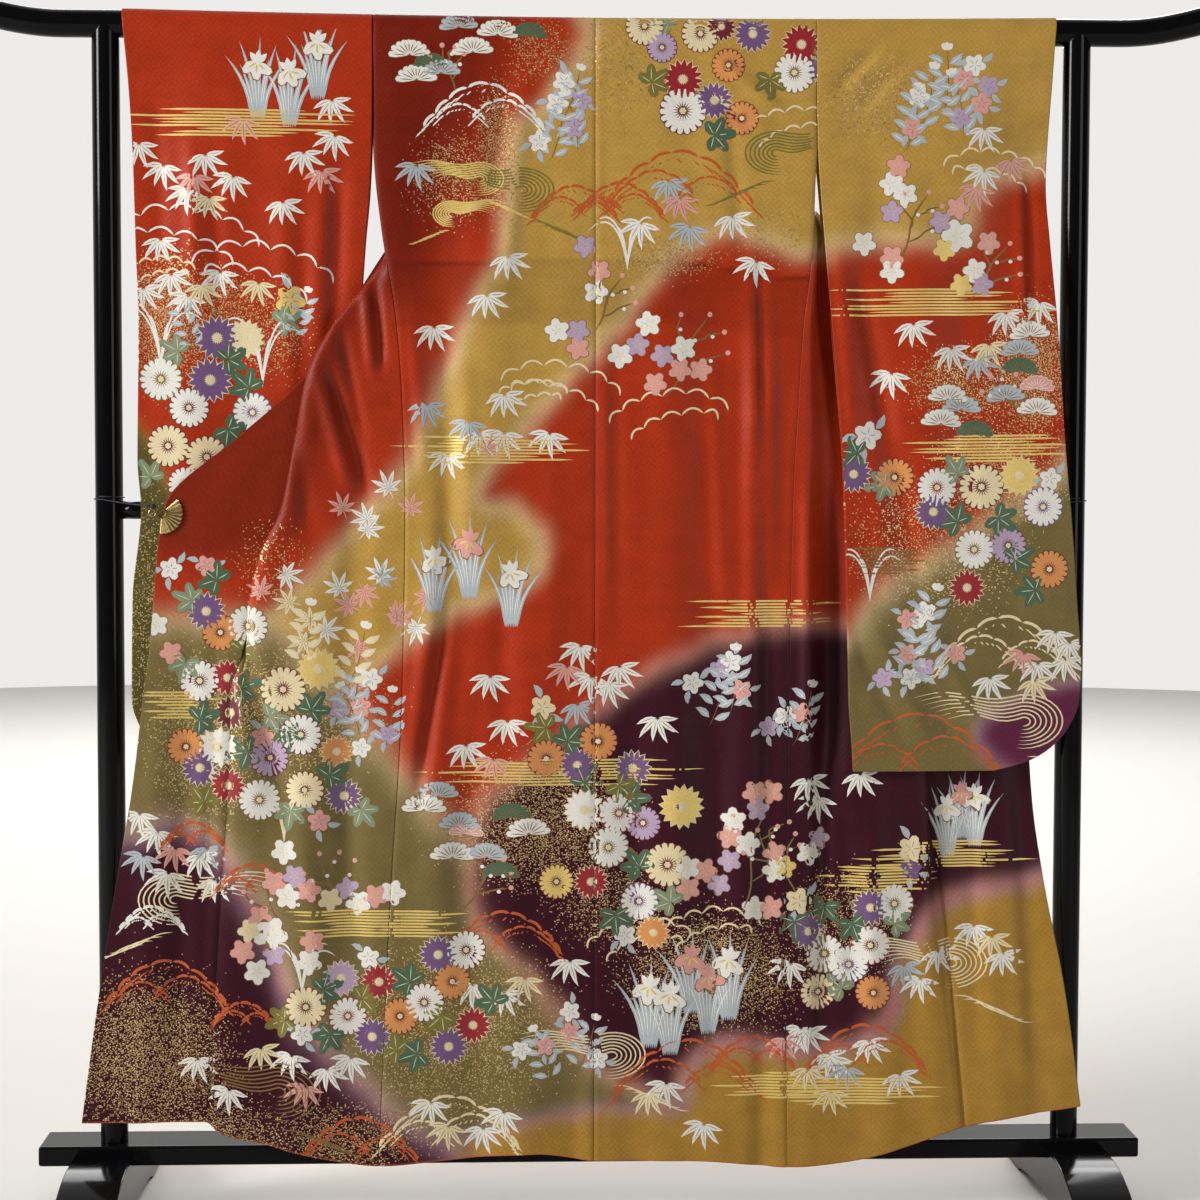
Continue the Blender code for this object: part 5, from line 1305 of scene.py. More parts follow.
def flecks_group(settings):
    """Gold dust: small cells of which a share, given as Cover, hold a fleck."""
    nodes, given, made = new_group(
        "gold flecks", {"Cover": 0.0, "Size": settings.fleck}, ("Mask", "Brightness"))
    scaled = nodes.scaled(given["Coordinates"], nodes.math("DIVIDE", 1.0, given["Size"]), "cells")
    cells = nodes.add(
        "ShaderNodeTexVoronoi", "one fleck each", {"Vector": scaled, "Scale": 1.0}, voronoi_dimensions="2D")
    random = nodes.add("ShaderNodeSeparateColor", "", {0: cells.outputs["Color"]}).outputs
    chosen = nodes.math("LESS_THAN", random[0], given["Cover"])
    near = nodes.span(cells.outputs["Distance"], 0.46, 0.36, 0.0, 1.0)
    nodes.feed(made, {"Mask": nodes.math("MULTIPLY", chosen, near), "Brightness": random[1]})


def new_material(name, **values):
    """Start a material and give its node helper and its shader, with named values set on it."""
    material = bpy.data.materials.new(name)
    material.use_nodes = True
    material.node_tree.nodes.clear()
    nodes = Nodes(material.node_tree)
    shader = nodes.add("ShaderNodeBsdfPrincipled")
    nodes.add("ShaderNodeOutputMaterial", "", {"Surface": shader.outputs[0]})
    nodes.feed(shader, {key.replace("_", " "): value for key, value in values.items()})
    return nodes, shader


def dye(name, share=1.0):
    """A dye as a shader's colour, at a share of its brightness."""
    return (*(DYES[name] * share), 1.0)


def silk_material(settings):
    """Dyed figured silk: the tint of each place, a weave that sinks with painted shade in its grooves, gold
    dust on it.
    """
    nodes, shader = new_material("dyed silk", Roughness=settings.silk_roughness, Specular_IOR_Level=0.15)
    uv = nodes.add("ShaderNodeUVMap", uv_map="cloth").outputs[0]
    weave = nodes.add("ShaderNodeGroup", "weave", node_tree=bpy.data.node_groups["figured weave"])
    nodes.feed(weave, {"Coordinates": uv, "Size": settings.figure})
    flecks = nodes.add("ShaderNodeGroup", "dust", node_tree=bpy.data.node_groups["gold flecks"])
    nodes.feed(flecks, {"Coordinates": uv, "Size": settings.fleck, "Cover": nodes.attribute("dust", "Fac")})
    mask = flecks.outputs["Mask"]
    shade = nodes.span(nodes.noise(uv, 22.0, 3.0, "uneven dye"), 0.3, 0.7, 0.90, 1.08)
    # Painted shade in the grooves of the weave
    grooves = nodes.span(weave.outputs["Mask"], 0.0, 1.0, settings.groove, 1.0)
    grain = nodes.span(nodes.noise(uv, 560.0, 2.0, "crepe grain"), 0.3, 0.7, 0.84, 1.12)
    both = nodes.math("MULTIPLY", nodes.math("MULTIPLY", shade, grooves), grain)
    level = nodes.scaled(nodes.attribute("tint"), both, "shaded tint")
    gold = nodes.mix(flecks.outputs["Brightness"], dye("dull fleck"), dye("fleck"))
    nodes.feed(shader, {
        "Base Color": nodes.mix(mask, level, gold, "dust over dye"),
        "Metallic": nodes.math("MULTIPLY", mask, 0.75)})
    nodes.relief(shader, weave.outputs["Height"], 0.2, 0.0003)


def lining_material(settings):
    """Plain lining silk: ivory that turns to coral toward the hem, with a fine plain weave."""
    nodes, shader = new_material("lining silk", Roughness=settings.silk_roughness + 0.12, Sheen_Weight=0.3)
    uv = nodes.add("ShaderNodeUVMap", uv_map="cloth").outputs[0]
    split = nodes.add("ShaderNodeSeparateXYZ", "", {0: uv})
    share = nodes.span(split.outputs["Y"], 1.38, 1.56, 0.0, 1.0, "toward the hem")
    nodes.feed(shader, {"Base Color": nodes.mix(share, dye("ivory"), dye("coral"))})
    nodes.relief(shader, nodes.noise(uv, 900.0, 1.0, "plain weave"), 0.15, 0.0002)


def thread_material():
    """Stitched silk and gold thread: the tint of each leaf, with its own shine."""
    nodes, shader = new_material("stitched silk", Roughness=0.42, Sheen_Weight=0.15)
    strands = nodes.noise(nodes.on_object(), 700.0, 1.0, "strands")
    level = nodes.scaled(nodes.attribute("tint"), nodes.span(strands, 0.3, 0.7, 0.86, 1.06))
    nodes.feed(shader, {"Base Color": level, "Metallic": nodes.attribute("shine", "Fac")})
    nodes.relief(shader, strands, 0.25, 0.0003)


def lacquer_material(settings):
    """Deep black lacquer under a clear gloss, with a faint waviness in the gloss."""
    nodes, shader = new_material(
        "black lacquer", Base_Color=dye("lacquer"), Roughness=settings.lacquer_roughness,
        Specular_IOR_Level=0.08, Coat_Weight=0.12, Coat_Roughness=0.06)
    nodes.relief(shader, nodes.noise(nodes.on_object(), 60.0, 1.0, "slow ripples"), 0.05, 0.001)


def brass_material(name, colour, roughness):
    """Aged brass with worn, uneven patches."""
    nodes, shader = new_material(name, Metallic=1.0, Roughness=roughness)
    patches = nodes.noise(nodes.on_object(), 180.0, 3.0, "worn patches")
    share = nodes.span(patches, 0.35, 0.65, 0.0, 1.0)
    nodes.feed(shader, {"Base Color": nodes.mix(share, dye(colour, 0.6), dye(colour))})


def cord_material():
    """Twisted dark silk cord: slanting strands."""
    nodes, shader = new_material("dark silk cord", Roughness=0.55)
    strands = nodes.add(
        "ShaderNodeTexWave", "strands", {"Vector": nodes.on_object(), "Scale": 260.0},
        bands_direction="DIAGONAL").outputs["Fac"]
    nodes.feed(shader, {"Base Color": nodes.mix(strands, dye("cord", 0.5), dye("cord"))})
    nodes.relief(shader, strands, 0.4, 0.0004)


# Lacquered stand
def around(sides):
    """Angles of so many points round a circle."""
    return np.linspace(0, 2 * math.pi, sides, endpoint=False)


def swept_tube(name, path, radius, sides, round_ends):
    """A tube along a path, its rings square to the path; round ends close on a quarter circle."""
    path = np.asarray(path, float)
    run = unit(np.gradient(path, axis=0))
    if round_ends:
        turns = np.radians([84.0, 66.0, 45.0, 22.0])
        first = path[0] - run[0] * radius * np.sin(turns)[:, None]
        last = path[-1] + run[-1] * radius * np.sin(turns[::-1])[:, None]
        reach = np.concatenate([np.cos(turns), np.ones(len(path)), np.cos(turns[::-1])]) * radius
        run = np.concatenate([np.repeat(run[:1], 4, 0), run, np.repeat(run[-1:], 4, 0)])
        path = np.concatenate([first, path, last])
    else:
        reach = np.full(len(path), radius)
    aside = unit(np.cross(run, (0.0, 0.0, 1.0)))
    up = np.cross(aside, run)
    turn = around(sides)[None, :, None]
    spokes = np.cos(turn) * aside[:, None] + np.sin(turn) * up[:, None]
    return close_rings(name, path[:, None] + reach[:, None, None] * spokes)


def close_rings(name, rings):
    """A closed skin over rings of points, with a fan at each end round the ring's middle."""
    count, sides = rings.shape[:2]
    index = np.arange(count * sides).reshape(count, sides)
    after = np.roll(index, -1, axis=1)
    quads = np.stack([index[:-1], after[:-1], after[1:], index[1:]], axis=-1).reshape(-1, 4)
    points = np.concatenate([rings.reshape(-1, 3), rings[0].mean(0)[None], rings[-1].mean(0)[None]])
    first, last = count * sides, count * sides + 1
    caps = np.concatenate([
        np.stack([after[0], index[0], np.full(sides, first)], axis=1),
        np.stack([index[-1], after[-1], np.full(sides, last)], axis=1)])
    return mesh_from(name, points, quads, caps)


def bar_path():
    """The bar's centre line: a slight sag between the posts and ends that curve up."""
    x = np.linspace(-BAR_HALF_LENGTH + 0.004, BAR_HALF_LENGTH - 0.004, 121)
    rise = smooth_step(np.abs(x), BAR_RISE_START, 2 * BAR_HALF_LENGTH - BAR_RISE_START)
    z = BAR_HEIGHT - bar_sag(x) + 2 * BAR_RISE * rise
    return np.stack([x, np.zeros(len(x)), z], axis=1)


def post_rings(side):
    """Rings of a post from the beam up to its round seat under the bar."""
    turn = around(POST_SIDES)
    across, away = POST_RADIUS * np.cos(turn), POST_RADIUS * np.sin(turn)
    low = BEAM_HIGH + GAP
    top = BAR_HEIGHT - np.sqrt((BAR_RADIUS + GAP) ** 2 - np.minimum(np.abs(away), BAR_RADIUS) ** 2)
    levels = (low, low + 0.0006, low + 0.003, *np.linspace(0.2, 1.66, 40), top - 0.0015, top)
    return np.stack([np.stack([side * POST_X + across, away, z + 0 * away], axis=1) for z in levels])


def rail_rings():
    """Rings of the middle rail, whose ends are hollowed to lie against the posts."""
    turn = around(RAIL_SIDES)
    away, up = RAIL_RADIUS * np.cos(turn), RAIL_RADIUS * np.sin(turn)
    end = POST_X - np.sqrt((POST_RADIUS + GAP) ** 2 - away**2)
    shares = np.linspace(-1, 1, 61)
    return np.stack([np.stack([end * share, -away, RAIL_HEIGHT + up], axis=1) for share in shares])


def box_with_round_edges(name, low, high, width, segments):
    """A box whose edges a bevel rounds."""
    corners = np.array([[x, y, z] for x in (low[0], high[0]) for y in (low[1], high[1])
                        for z in (low[2], high[2])])
    faces = ((0, 1, 3, 2), (4, 6, 7, 5), (0, 4, 5, 1), (2, 3, 7, 6), (0, 2, 6, 4), (1, 5, 7, 3))
    thing = mesh_from(name, corners, faces)
    round_edges(thing, width, segments)
    return thing


def round_edges(thing, width, segments):
    """Bevel the sharp edges of an object and keep its flat faces flat."""
    bevel = thing.modifiers.new("rounded edges", "BEVEL")
    bevel.width = width
    bevel.segments = segments
    bevel.limit_method = "ANGLE"
    bevel.angle_limit = math.radians(35)
    bevel.harden_normals = True


def foot_outline():
    """Side outline of a foot, as y and z: rounded toes, a notch for the beam, a hollow underside."""
    half = FOOT_HALF_LENGTH
    notch = BEAM_LOW - GAP
    toe = ((0, 0), (0.005, 0.012), (0.022, 0.034), (0.055, 0.058), (0.10, 0.076), (0.14, FOOT_TOP - 0.003))
    tops = []
    for run in (half - BEAM_BACK - GAP, half + BEAM_FRONT - GAP):
        fine = curve_through(np.array([(*toe, (run, FOOT_TOP))]), 5)[0]
        tops.append(np.stack([half - fine[:, 0], np.minimum(fine[:, 1], FOOT_TOP)], axis=1))
    back, front = tops[0], (tops[1] * (-1, 1))[::-1]
    seat = np.array([(BEAM_BACK + GAP, notch), (BEAM_FRONT - GAP, notch)])
    turn = np.linspace(0, math.pi, 25)
    arch = np.stack([-(half - TOE_LENGTH) * np.cos(turn), ARCH_HEIGHT * np.sin(turn)], axis=1)
    return np.concatenate([back, seat, front, arch])


def foot_mesh(name, side):
    """A foot: its side outline drawn out to the foot's width."""
    outline = foot_outline()
    count = len(outline)
    middle = side * (POST_X + FOOT_OFFSET)
    points = np.concatenate([
        np.column_stack([np.full(count, middle + turn * FOOT_WIDTH / 2), outline]) for turn in (-1, 1)])
    ring = list(range(count))
    faces = [ring, [count + i for i in reversed(ring)]]
    faces += [(j, i, count + i, count + j) for i, j in zip(ring, ring[1:] + ring[:1])]
    mesh = bpy.data.meshes.new(name)
    mesh.from_pydata(points.tolist(), [], faces)
    mesh.shade_smooth()
    thing = bpy.data.objects.new(name, mesh)
    bpy.context.scene.collection.objects.link(thing)
    round_edges(thing, FOOT_ROUND, 3)
    return thing


# Threads and paints of the pattern: colour, and how metallic it is
THREADS = {
    "white": (linear(232, 228, 218), 0.0),
    "cream": (linear(234, 216, 172), 0.1),
    "pink": (linear(222, 158, 146), 0.0),
    "lavender": (linear(182, 158, 184), 0.0),
    "grey": (linear(176, 184, 188), 0.0),
    "green": (linear(66, 98, 72), 0.0),
    "grey green": (linear(126, 142, 112), 0.0),
    "olive": (linear(124, 118, 50), 0.2),
    "crimson": (linear(150, 22, 30), 0.0),
    "maroon": (linear(104, 22, 34), 0.0),
    "purple": (linear(112, 78, 122), 0.0),
    "orange": (linear(214, 142, 76), 0.0),
    "rust": (linear(190, 84, 26), 0.0),
    "gold": (linear(240, 208, 120), 0.35),
    "dull gold": (linear(136, 104, 52), 0.25),
}

# Leaves of the pattern: lift of the lowest and of each level and rise of the middle, in mm, and its
# steepest rise to a cm of half width; and the search for a place on the cloth: columns to a width
# beyond an edge, and steps
LEAF_LIFT = 0.15
LEVEL_LIFT = 0.09
DOME = 0.07
DOME_SLOPE = 3.0
OUTER_COLUMNS = 40
NEWTON_STEPS = 9


class Layout:
    """Leaves and lines of a layout, kept by how many stations each has along it."""

    def __init__(self):
        """Start with nothing laid."""
        self.groups = {}

    def add(self, path, half, level, thread):
        """Lay ribbons: stations (many, along, 2) and half widths in cm, level and thread."""
        path = np.asarray(path, float)
        many, along = path.shape[:2]
        half = np.broadcast_to(np.asarray(half, float), (many, along))
        tint, shine = THREADS[thread]
        values = np.broadcast_to(np.array([level, *tint, shine], float), (many, 5))
        self.groups.setdefault(along, []).append((path, half, values))


def turned(places, factor=1.0):
    """A small tilt of its own for each place, in radians, that repeats from run to run."""
    return factor * np.sin(12.9 * places[:, 0] + 7.1 * places[:, 1])


def facing(places):
    """Which way each place faces: 1 to the right or -1 to the left."""
    return np.where(turned(places) > 0, 1.0, -1.0)[:, None]


def stations(x, drop):
    """Stations of lines from their x and drop, spread to one shape."""
    return np.stack(np.broadcast_arrays(x, drop), axis=-1)


# Fan of five petals. Outlines of a leaf or petal: shares of its length, and shares of its half width there
FIVE = np.radians((0, 72, 144, 216, 288))
POINTED = ((0.0, 0.25, 0.5, 0.78, 1.0), (0.0, 0.8, 1.0, 0.6, 0.0))
SLENDER = ((0.0, 0.2, 0.45, 0.75, 1.0), (0.0, 0.75, 1.0, 0.62, 0.0))
ROUNDED = ((0.0, 0.3, 0.65, 0.93, 1.0), (0.0, 0.55, 0.95, 0.8, 0.0))
BROAD = ((0.0, 0.2, 0.5, 0.88, 1.0), (0.0, 0.7, 1.0, 0.66, 0.0))
DISC = ((0.0, 0.06, 0.3, 0.5, 0.7, 0.94, 1.0), (0.0, 0.5, 0.92, 1.0, 0.92, 0.5, 0.0))
STROKE = ((0.0, 0.3, 0.7, 1.0), (0.0, 1.0, 0.9, 0.0))


def petals(layout, places, angles, start, end, half, level, thread, outline, bend=0.0):
    """Leaves that leave each place at each angle, measured from straight down, in cm and radians.
    outline gives the stations and their widths; bend turns the tip aside."""
    share, profile = np.array(outline)
    angles = np.broadcast_to(angles, (len(places), np.shape(angles)[-1]))
    start, end, half = (np.broadcast_to(part, angles.shape)[..., None] for part in (start, end, half))
    away = start + (end - start) * share
    turn = angles[..., None] + bend * share**2
    path = np.stack([away * np.sin(turn), away * np.cos(turn)], axis=-1) + places[:, None, None]
    wide = np.broadcast_to(half * profile, path.shape[:-1])
    layout.add(path.reshape(-1, len(share), 2), wide.reshape(-1, len(share)), level, thread)


def lines(layout, path, half, level, thread):
    """Drawn lines: each tapers to a point at both ends."""
    share = np.linspace(0.0, 1.0, path.shape[1])
    taper = np.clip(np.minimum(share, 1 - share) * 8, 0.35, 1.0)
    layout.add(path, half * taper, level, thread)


def scallops(points, bow, steps):
    """Arcs from each point to the next, bowed to the left of the run by a share of its length."""
    first, run = points[:, :-1, None], np.diff(points, axis=1)[:, :, None]
    aside = np.stack([run[..., 1], -run[..., 0]], axis=-1)
    share = np.linspace(0.0, 1.0, steps)[None, None, :, None]
    path = first + run * share + aside * 4 * bow * share * (1 - share)
    return path.reshape(-1, steps, 2)


def bamboo(layout, places, size, thread):
    """Spray of six slender leaves that hang in a fan from one twig."""
    fan = np.radians((-82, -52, -22, 10, 42, 76)) + turned(places, 0.3)[:, None]
    reach = size * np.array((0.6, 0.76, 0.68, 0.76, 0.72, 0.56))
    petals(layout, places, fan, 0.04 * size, reach, 0.078 * size, 0, thread, SLENDER, 0.12)
    petals(layout, places, fan, 0.1 * size, 0.8 * reach, 0.009 * size, 1, "dull gold", STROKE, 0.12)


def mum(layout, places, size, thread, edge="maroon", count=18, outline=ROUNDED):
    """Chrysanthemum: a ring of petals on a slightly larger ring in the edge colour, and a heart."""
    fan = around(count) + turned(places)[:, None]
    reach = 0.55 * size
    wide = math.pi * reach / count
    petals(layout, places, fan, 0.05 * size, reach + 0.06, 1.12 * wide, 0, edge, outline)
    petals(layout, places, fan, 0.10 * size, reach - 0.04, 0.76 * wide, 1, thread, outline)
    petals(layout, places, fan[:, ::3], 0.0, 0.085 * size, 0.035 * size, 2, "cream", BROAD)


def mum_white(layout, places, size, thread):
    """White chrysanthemum whose petals are edged in the named colour."""
    mum(layout, places, size, "white", thread)


def mum_sharp(layout, places, size, thread):
    """Chrysanthemum with pointed petals and pale edges."""
    mum(layout, places, size, thread, "cream", 16, POINTED)


def lobed_leaf(layout, places, size, thread):
    """Leaf of five rounded lobes with a light vein down each and a thin gold edge."""
    fan = np.radians((-112, -56, 0, 56, 112)) + turned(places, 2.6)[:, None]
    reach = size * np.array((0.46, 0.58, 0.68, 0.58, 0.46))
    petals(layout, places, fan, 0.0, reach + 0.06, 0.165 * size, 0, "dull gold", BROAD)
    petals(layout, places, fan, 0.0, reach, 0.148 * size, 1, thread, BROAD)
    petals(layout, places, fan, 0.04 * size, 0.85 * reach, 0.011 * size, 2, "cream", STROKE)


def bell(layout, places, size, thread):
    """Bell flower: five broad pointed petals with a dark line in each, on lens-shaped leaves."""
    fan = FIVE + turned(places, 1.2)[:, None]
    petals(layout, places, fan[:, ::2] + 0.6, 0.4 * size, 1.05 * size, 0.15 * size, 0, "grey", POINTED, 0.2)
    petals(layout, places, fan, 0.0, 0.56 * size, 0.215 * size, 1, thread, BROAD)
    petals(layout, places, fan, 0.05 * size, 0.34 * size, 0.012 * size, 2, "purple", STROKE)


def plum(layout, places, size, thread):
    """Plum blossom: five round petals on gold edges, with gold stamens."""
    fan = FIVE + turned(places, 1.2)[:, None]
    petals(layout, places, fan, 0.0, 0.6 * size, 0.245 * size, 0, "dull gold", BROAD)
    petals(layout, places, fan, 0.0, 0.57 * size, 0.22 * size, 1, thread, BROAD)
    petals(layout, places, fan, 0.03 * size, 0.3 * size, 0.014 * size, 2, "gold", STROKE)


def maple(layout, places, size, thread):
    """Maple leaf of seven pointed lobes and a stalk."""
    fan = np.radians((-128, -84, -42, 0, 42, 84, 128)) + turned(places, 2.8)[:, None]
    reach = size * np.array((0.34, 0.5, 0.6, 0.66, 0.6, 0.5, 0.34))
    petals(layout, places, fan, 0.0, reach, 0.075 * size, 0, thread, POINTED)
    petals(layout, places, fan, 0.0, 0.7 * reach, 0.008 * size, 1, "dull gold", STROKE)
    petals(layout, places, fan[:, 3:4] + math.pi, 0.0, 0.45 * size, 0.018 * size, 0, thread, STROKE)


def sprig(layout, places, size, thread):
    """Upright stem with pairs of lens-shaped leaves, and buds at its tip."""
    lean = turned(places, 0.35)
    stem = np.linspace(0, 1, 8)[None, :, None]
    top = np.stack([size * np.sin(lean), -size * np.cos(lean)], axis=-1)[:, None]
    path = places[:, None] + top * stem + np.array([0.05, 0.0]) * size * np.sin(math.pi * stem)
    lines(layout, path, 0.06, 0, "dull gold")
    for level_at in (0.12, 0.34, 0.56, 0.78):
        foot = places + top[:, 0] * level_at
        fan = math.pi - lean[:, None] + np.radians((-62, 55))
        petals(layout, foot, fan, 0.05 * size, 0.33 * size, 0.06 * size, 1, thread, POINTED, 0.2)
        petals(layout, foot, fan, 0.07 * size, 0.28 * size, 0.007 * size, 2, "white", STROKE, 0.2)
    buds = math.pi - lean[:, None] + np.radians((-30, 4, 34))
    petals(layout, places + top[:, 0], buds, 0.02 * size, 0.15 * size, 0.045 * size, 1, "white", BROAD)


def iris(layout, places, size, thread):
    """Iris: hanging and upright petals at each place, over a narrow sheaf whose tips part."""
    share = np.linspace(0.0, 1.0, 7)
    for aside, lean, reach in (
            (-0.10, -0.42, 1.12), (-0.075, -0.20, 0.95), (-0.045, -0.24, 1.35), (-0.015, -0.06, 1.0),
            (0.015, 0.05, 1.4), (0.045, 0.17, 1.05), (0.075, 0.26, 1.3), (0.10, 0.40, 1.05)):
        x = places[:, :1] + size * (aside + (lean + 0.05 * turned(places)[:, None]) * share**2)
        drop = places[:, 1:] + size * (0.95 - reach * share * (1.0 - 0.12 * abs(lean) * share))
        path = stations(x, drop)
        layout.add(path, size * np.array((0.030, 0.036, 0.036, 0.032, 0.026, 0.017, 0.002)), 0, "grey")
        lines(layout, path[:, 1:6], 0.007 * size, 1, "white")
    hanging = np.radians((-62, -8, 48)) + turned(places, 0.3)[:, None]
    petals(layout, places, hanging, 0.0, 0.31 * size, 0.1 * size, 2, "dull gold", BROAD, 0.3)
    petals(layout, places, hanging, 0.0, 0.29 * size, 0.09 * size, 3, thread, BROAD, 0.3)
    petals(layout, places, hanging, 0.02 * size, 0.18 * size, 0.016 * size, 4, "gold", STROKE, 0.2)
    standing = math.pi + np.radians((-40, 0, 40)) + turned(places, 0.2)[:, None]
    petals(layout, places, standing, 0.0, 0.22 * size, 0.055 * size, 3, thread, POINTED)


def pine(layout, places, size, thread):
    """Pine clump: a flat half round of nine rounded rays on a darker edge, and a line down each."""
    fan = math.pi + np.radians(np.linspace(-84, 84, 9)) + turned(places, 0.08)[:, None]
    reach = 0.54 * size / np.sqrt(np.sin(fan) ** 2 + (np.cos(fan) / 0.74) ** 2)
    edge = "dull gold" if thread in ("white", "green", "grey") else "white"
    petals(layout, places, fan, 0.0, reach + 0.08, 0.105 * size, 0, edge, ROUNDED)
    petals(layout, places, fan, 0.03 * size, reach, 0.082 * size, 1, thread, ROUNDED)
    petals(layout, places, fan, 0.08 * size, 0.82 * reach, 0.012 * size, 2, edge, STROKE)


# Corners of a ridge of hills and of a cloud, as shares of their size across and down
RIDGE = (
    (-0.5, 0.36), (-0.40, 0.25), (-0.29, 0.13), (-0.13, 0.03), (0.05, 0.0), (0.20, 0.07), (0.34, 0.17),
    (0.44, 0.27), (0.5, 0.38))
CURLS = ((-0.5, 0.14), (-0.34, 0.04), (-0.14, 0.0), (0.06, 0.02), (0.24, 0.06), (0.39, 0.14), (0.5, 0.25))


def mountain(layout, places, size, thread):
    """Hills: a ridge of full arcs, two lower ridges before it, and slanted strokes down the slopes."""
    lean = facing(places)
    for scale, aside, down, wide, first, last in (
            (1.0, 0.0, 0.0, 0.21, 0, 9), (0.62, 0.16, 0.13, 0.18, 1, 9), (0.48, -0.2, 0.17, 0.16, 1, 8)):
        ridge = np.array(RIDGE)[first:last] * scale + (aside, down)
        x = size * ridge[:, 0] * lean
        corners = places[:, None] + stations(x, size * ridge[:, 1])
        for one, side in zip(corners, lean[:, 0]):
            lines(layout, scallops(one[None], 0.15 * side, 8), wide, 0, thread)
        for shift in (0.15, 0.5, 0.85):
            foot = corners[:, :-1] + shift * np.diff(corners, axis=1) + (0.0, 0.035 * size)
            slope = np.clip((x / lean - size * aside)[:, :-1] / (0.3 * size * scale), -1, 1) * lean
            share = np.linspace(0, 1, 5)[None, None, :]
            across = foot[..., :1] + 0.085 * size * scale * slope[..., None] * share
            below = foot[..., 1:] + 0.075 * size * scale * share**1.4 * np.abs(slope)[..., None]
            stroke = stations(across, below)[:, ::2 if shift == 0.5 else 1]
            lines(layout, stroke.reshape(-1, 5, 2), 0.1, 0, thread)


def cloud(layout, places, size, thread):
    """Cloud outline: a chain of wide arcs, and a shorter one below it that starts farther in."""
    for one, side in zip(places, facing(places)[:, 0]):
        upper = one + np.array(CURLS) * size * (side, 1.0)
        lower = one + (np.array(CURLS)[2:] * (0.95, 0.9) + (-0.16, 0.16)) * size * (side, 1.0)
        turn = np.stack([lower[0], lower[0] + np.array((-0.12 * side, 0.06)) * size])
        for points, bow in ((upper, 0.3), (lower, 0.28), (turn, -0.5)):
            lines(layout, scallops(points[None], bow * side, 10), 0.15, 0, thread)


def water(layout, places, size, thread):
    """Running water: nested arcs about an eye, whose tails flow out level above and aslant below."""
    share = np.linspace(0, 1, 26)
    lean = facing(places)
    for ring in range(7):
        reach = size * (0.06 + 0.05 * ring)
        turn = np.radians(82 + 200 * np.clip((share - 0.35) / 0.65, 0.0, 1.0))
        away = np.maximum(0.35 - share, 0.0) / 0.35
        flow = size * (0.75 + 0.05 * ring) * away
        x = places[:, :1] + lean * (1.05 * reach * np.cos(turn) + flow)
        wave = 0.035 * size * np.sin(2.2 * math.pi * away)
        drop = places[:, 1:] - 0.72 * reach * np.sin(turn) + wave
        lines(layout, stations(x, drop), 0.11, 0, thread)
        start = 0.3 + 0.1 * ring
        x = places[:, :1] + lean * size * (0.12 - start * 0.5 - 0.55 * share)
        drop = places[:, 1:] + size * (0.34 + 0.02 * ring + 0.16 * share - 0.03 * np.sin(6 * share))
        if ring % 2 == 0:
            lines(layout, stations(x, drop), 0.09, 0, thread)


def mist(layout, places, size, thread):
    """Band of thin level lines whose ends step in and out."""
    count = 9
    steps = max(6, int(size / 0.9))
    share = np.linspace(-0.5, 0.5, steps)
    for row in range(count):
        aside = 0.16 * size * np.sin(2.3 * row + places[:, 0])
        length = size * (0.62 + 0.38 * np.sin(0.5 + math.pi * row / count + 0.2 * places[:, 1]) ** 2)
        x = places[:, :1] + aside[:, None] + length[:, None] * share
        drop = places[:, 1:] + 0.45 * (row - (count - 1) / 2)
        lines(layout, stations(x, drop), 0.14, 0, thread)


def grass(layout, places, size, thread):
    """Long thin blades that spring from a foot and arch over to both sides."""
    share = np.linspace(0.0, 1.0, 14)
    for lean, reach in ((-1.0, 1.0), (-0.7, 1.1), (-0.3, 0.9), (0.25, 0.8), (0.6, 1.1), (0.9, 0.95)):
        x = places[:, :1] + size * lean * reach * 0.8 * share**1.6
        drop = places[:, 1:] - size * reach * np.sin(share * (1.3 + 0.9 * abs(lean)))
        lines(layout, stations(x, drop), 0.13, 0, thread)


def twig(layout, places, size, thread):
    """Crooked twig with side shoots that end in round buds, for blossoms to sit on."""
    share = np.linspace(0.0, 1.0, 12)
    lean = turned(places, 0.7)[:, None]
    for start, turn, reach in ((0.0, 0.0, 1.0), (0.3, 0.7, 0.55), (0.5, -0.65, 0.45), (0.7, 0.8, 0.3)):
        foot = places + size * start * np.stack([np.sin(lean[:, 0]), -np.cos(lean[:, 0])], axis=-1)
        x = foot[:, :1] + size * reach * share * np.sin(lean + turn) + 0.04 * size * np.sin(7 * share)
        drop = foot[:, 1:] - size * reach * share * np.cos(lean + turn)
        path = stations(x, drop)
        lines(layout, path, 0.13, 0, thread)
        petals(layout, path[:, -1], math.pi - lean - turn, -0.1, 0.65, 0.36, 1, "pink", DISC)
        petals(layout, path[:, 8] + (0.4, 0.0), 0.0 * lean, 0.0, 0.55, 0.3, 1, "white", DISC)


DRAWN = {
    "bamboo": bamboo, "mum": mum, "mum white": mum_white, "mum sharp": mum_sharp, "leaf": lobed_leaf,
    "bell": bell, "plum": plum, "maple": maple, "sprig": sprig, "iris": iris, "pine": pine,
    "mountain": mountain, "cloud": cloud, "water": water, "mist": mist, "grass": grass, "twig": twig,
}


def laid_out(rows):
    """Draw every row of a layout: motif, thread, size in cm and its places."""
    layout = Layout()
    for motif, thread, size, places in rows:
        DRAWN[motif](layout, np.array(places, float).reshape(-1, 2), size, thread)
    return layout


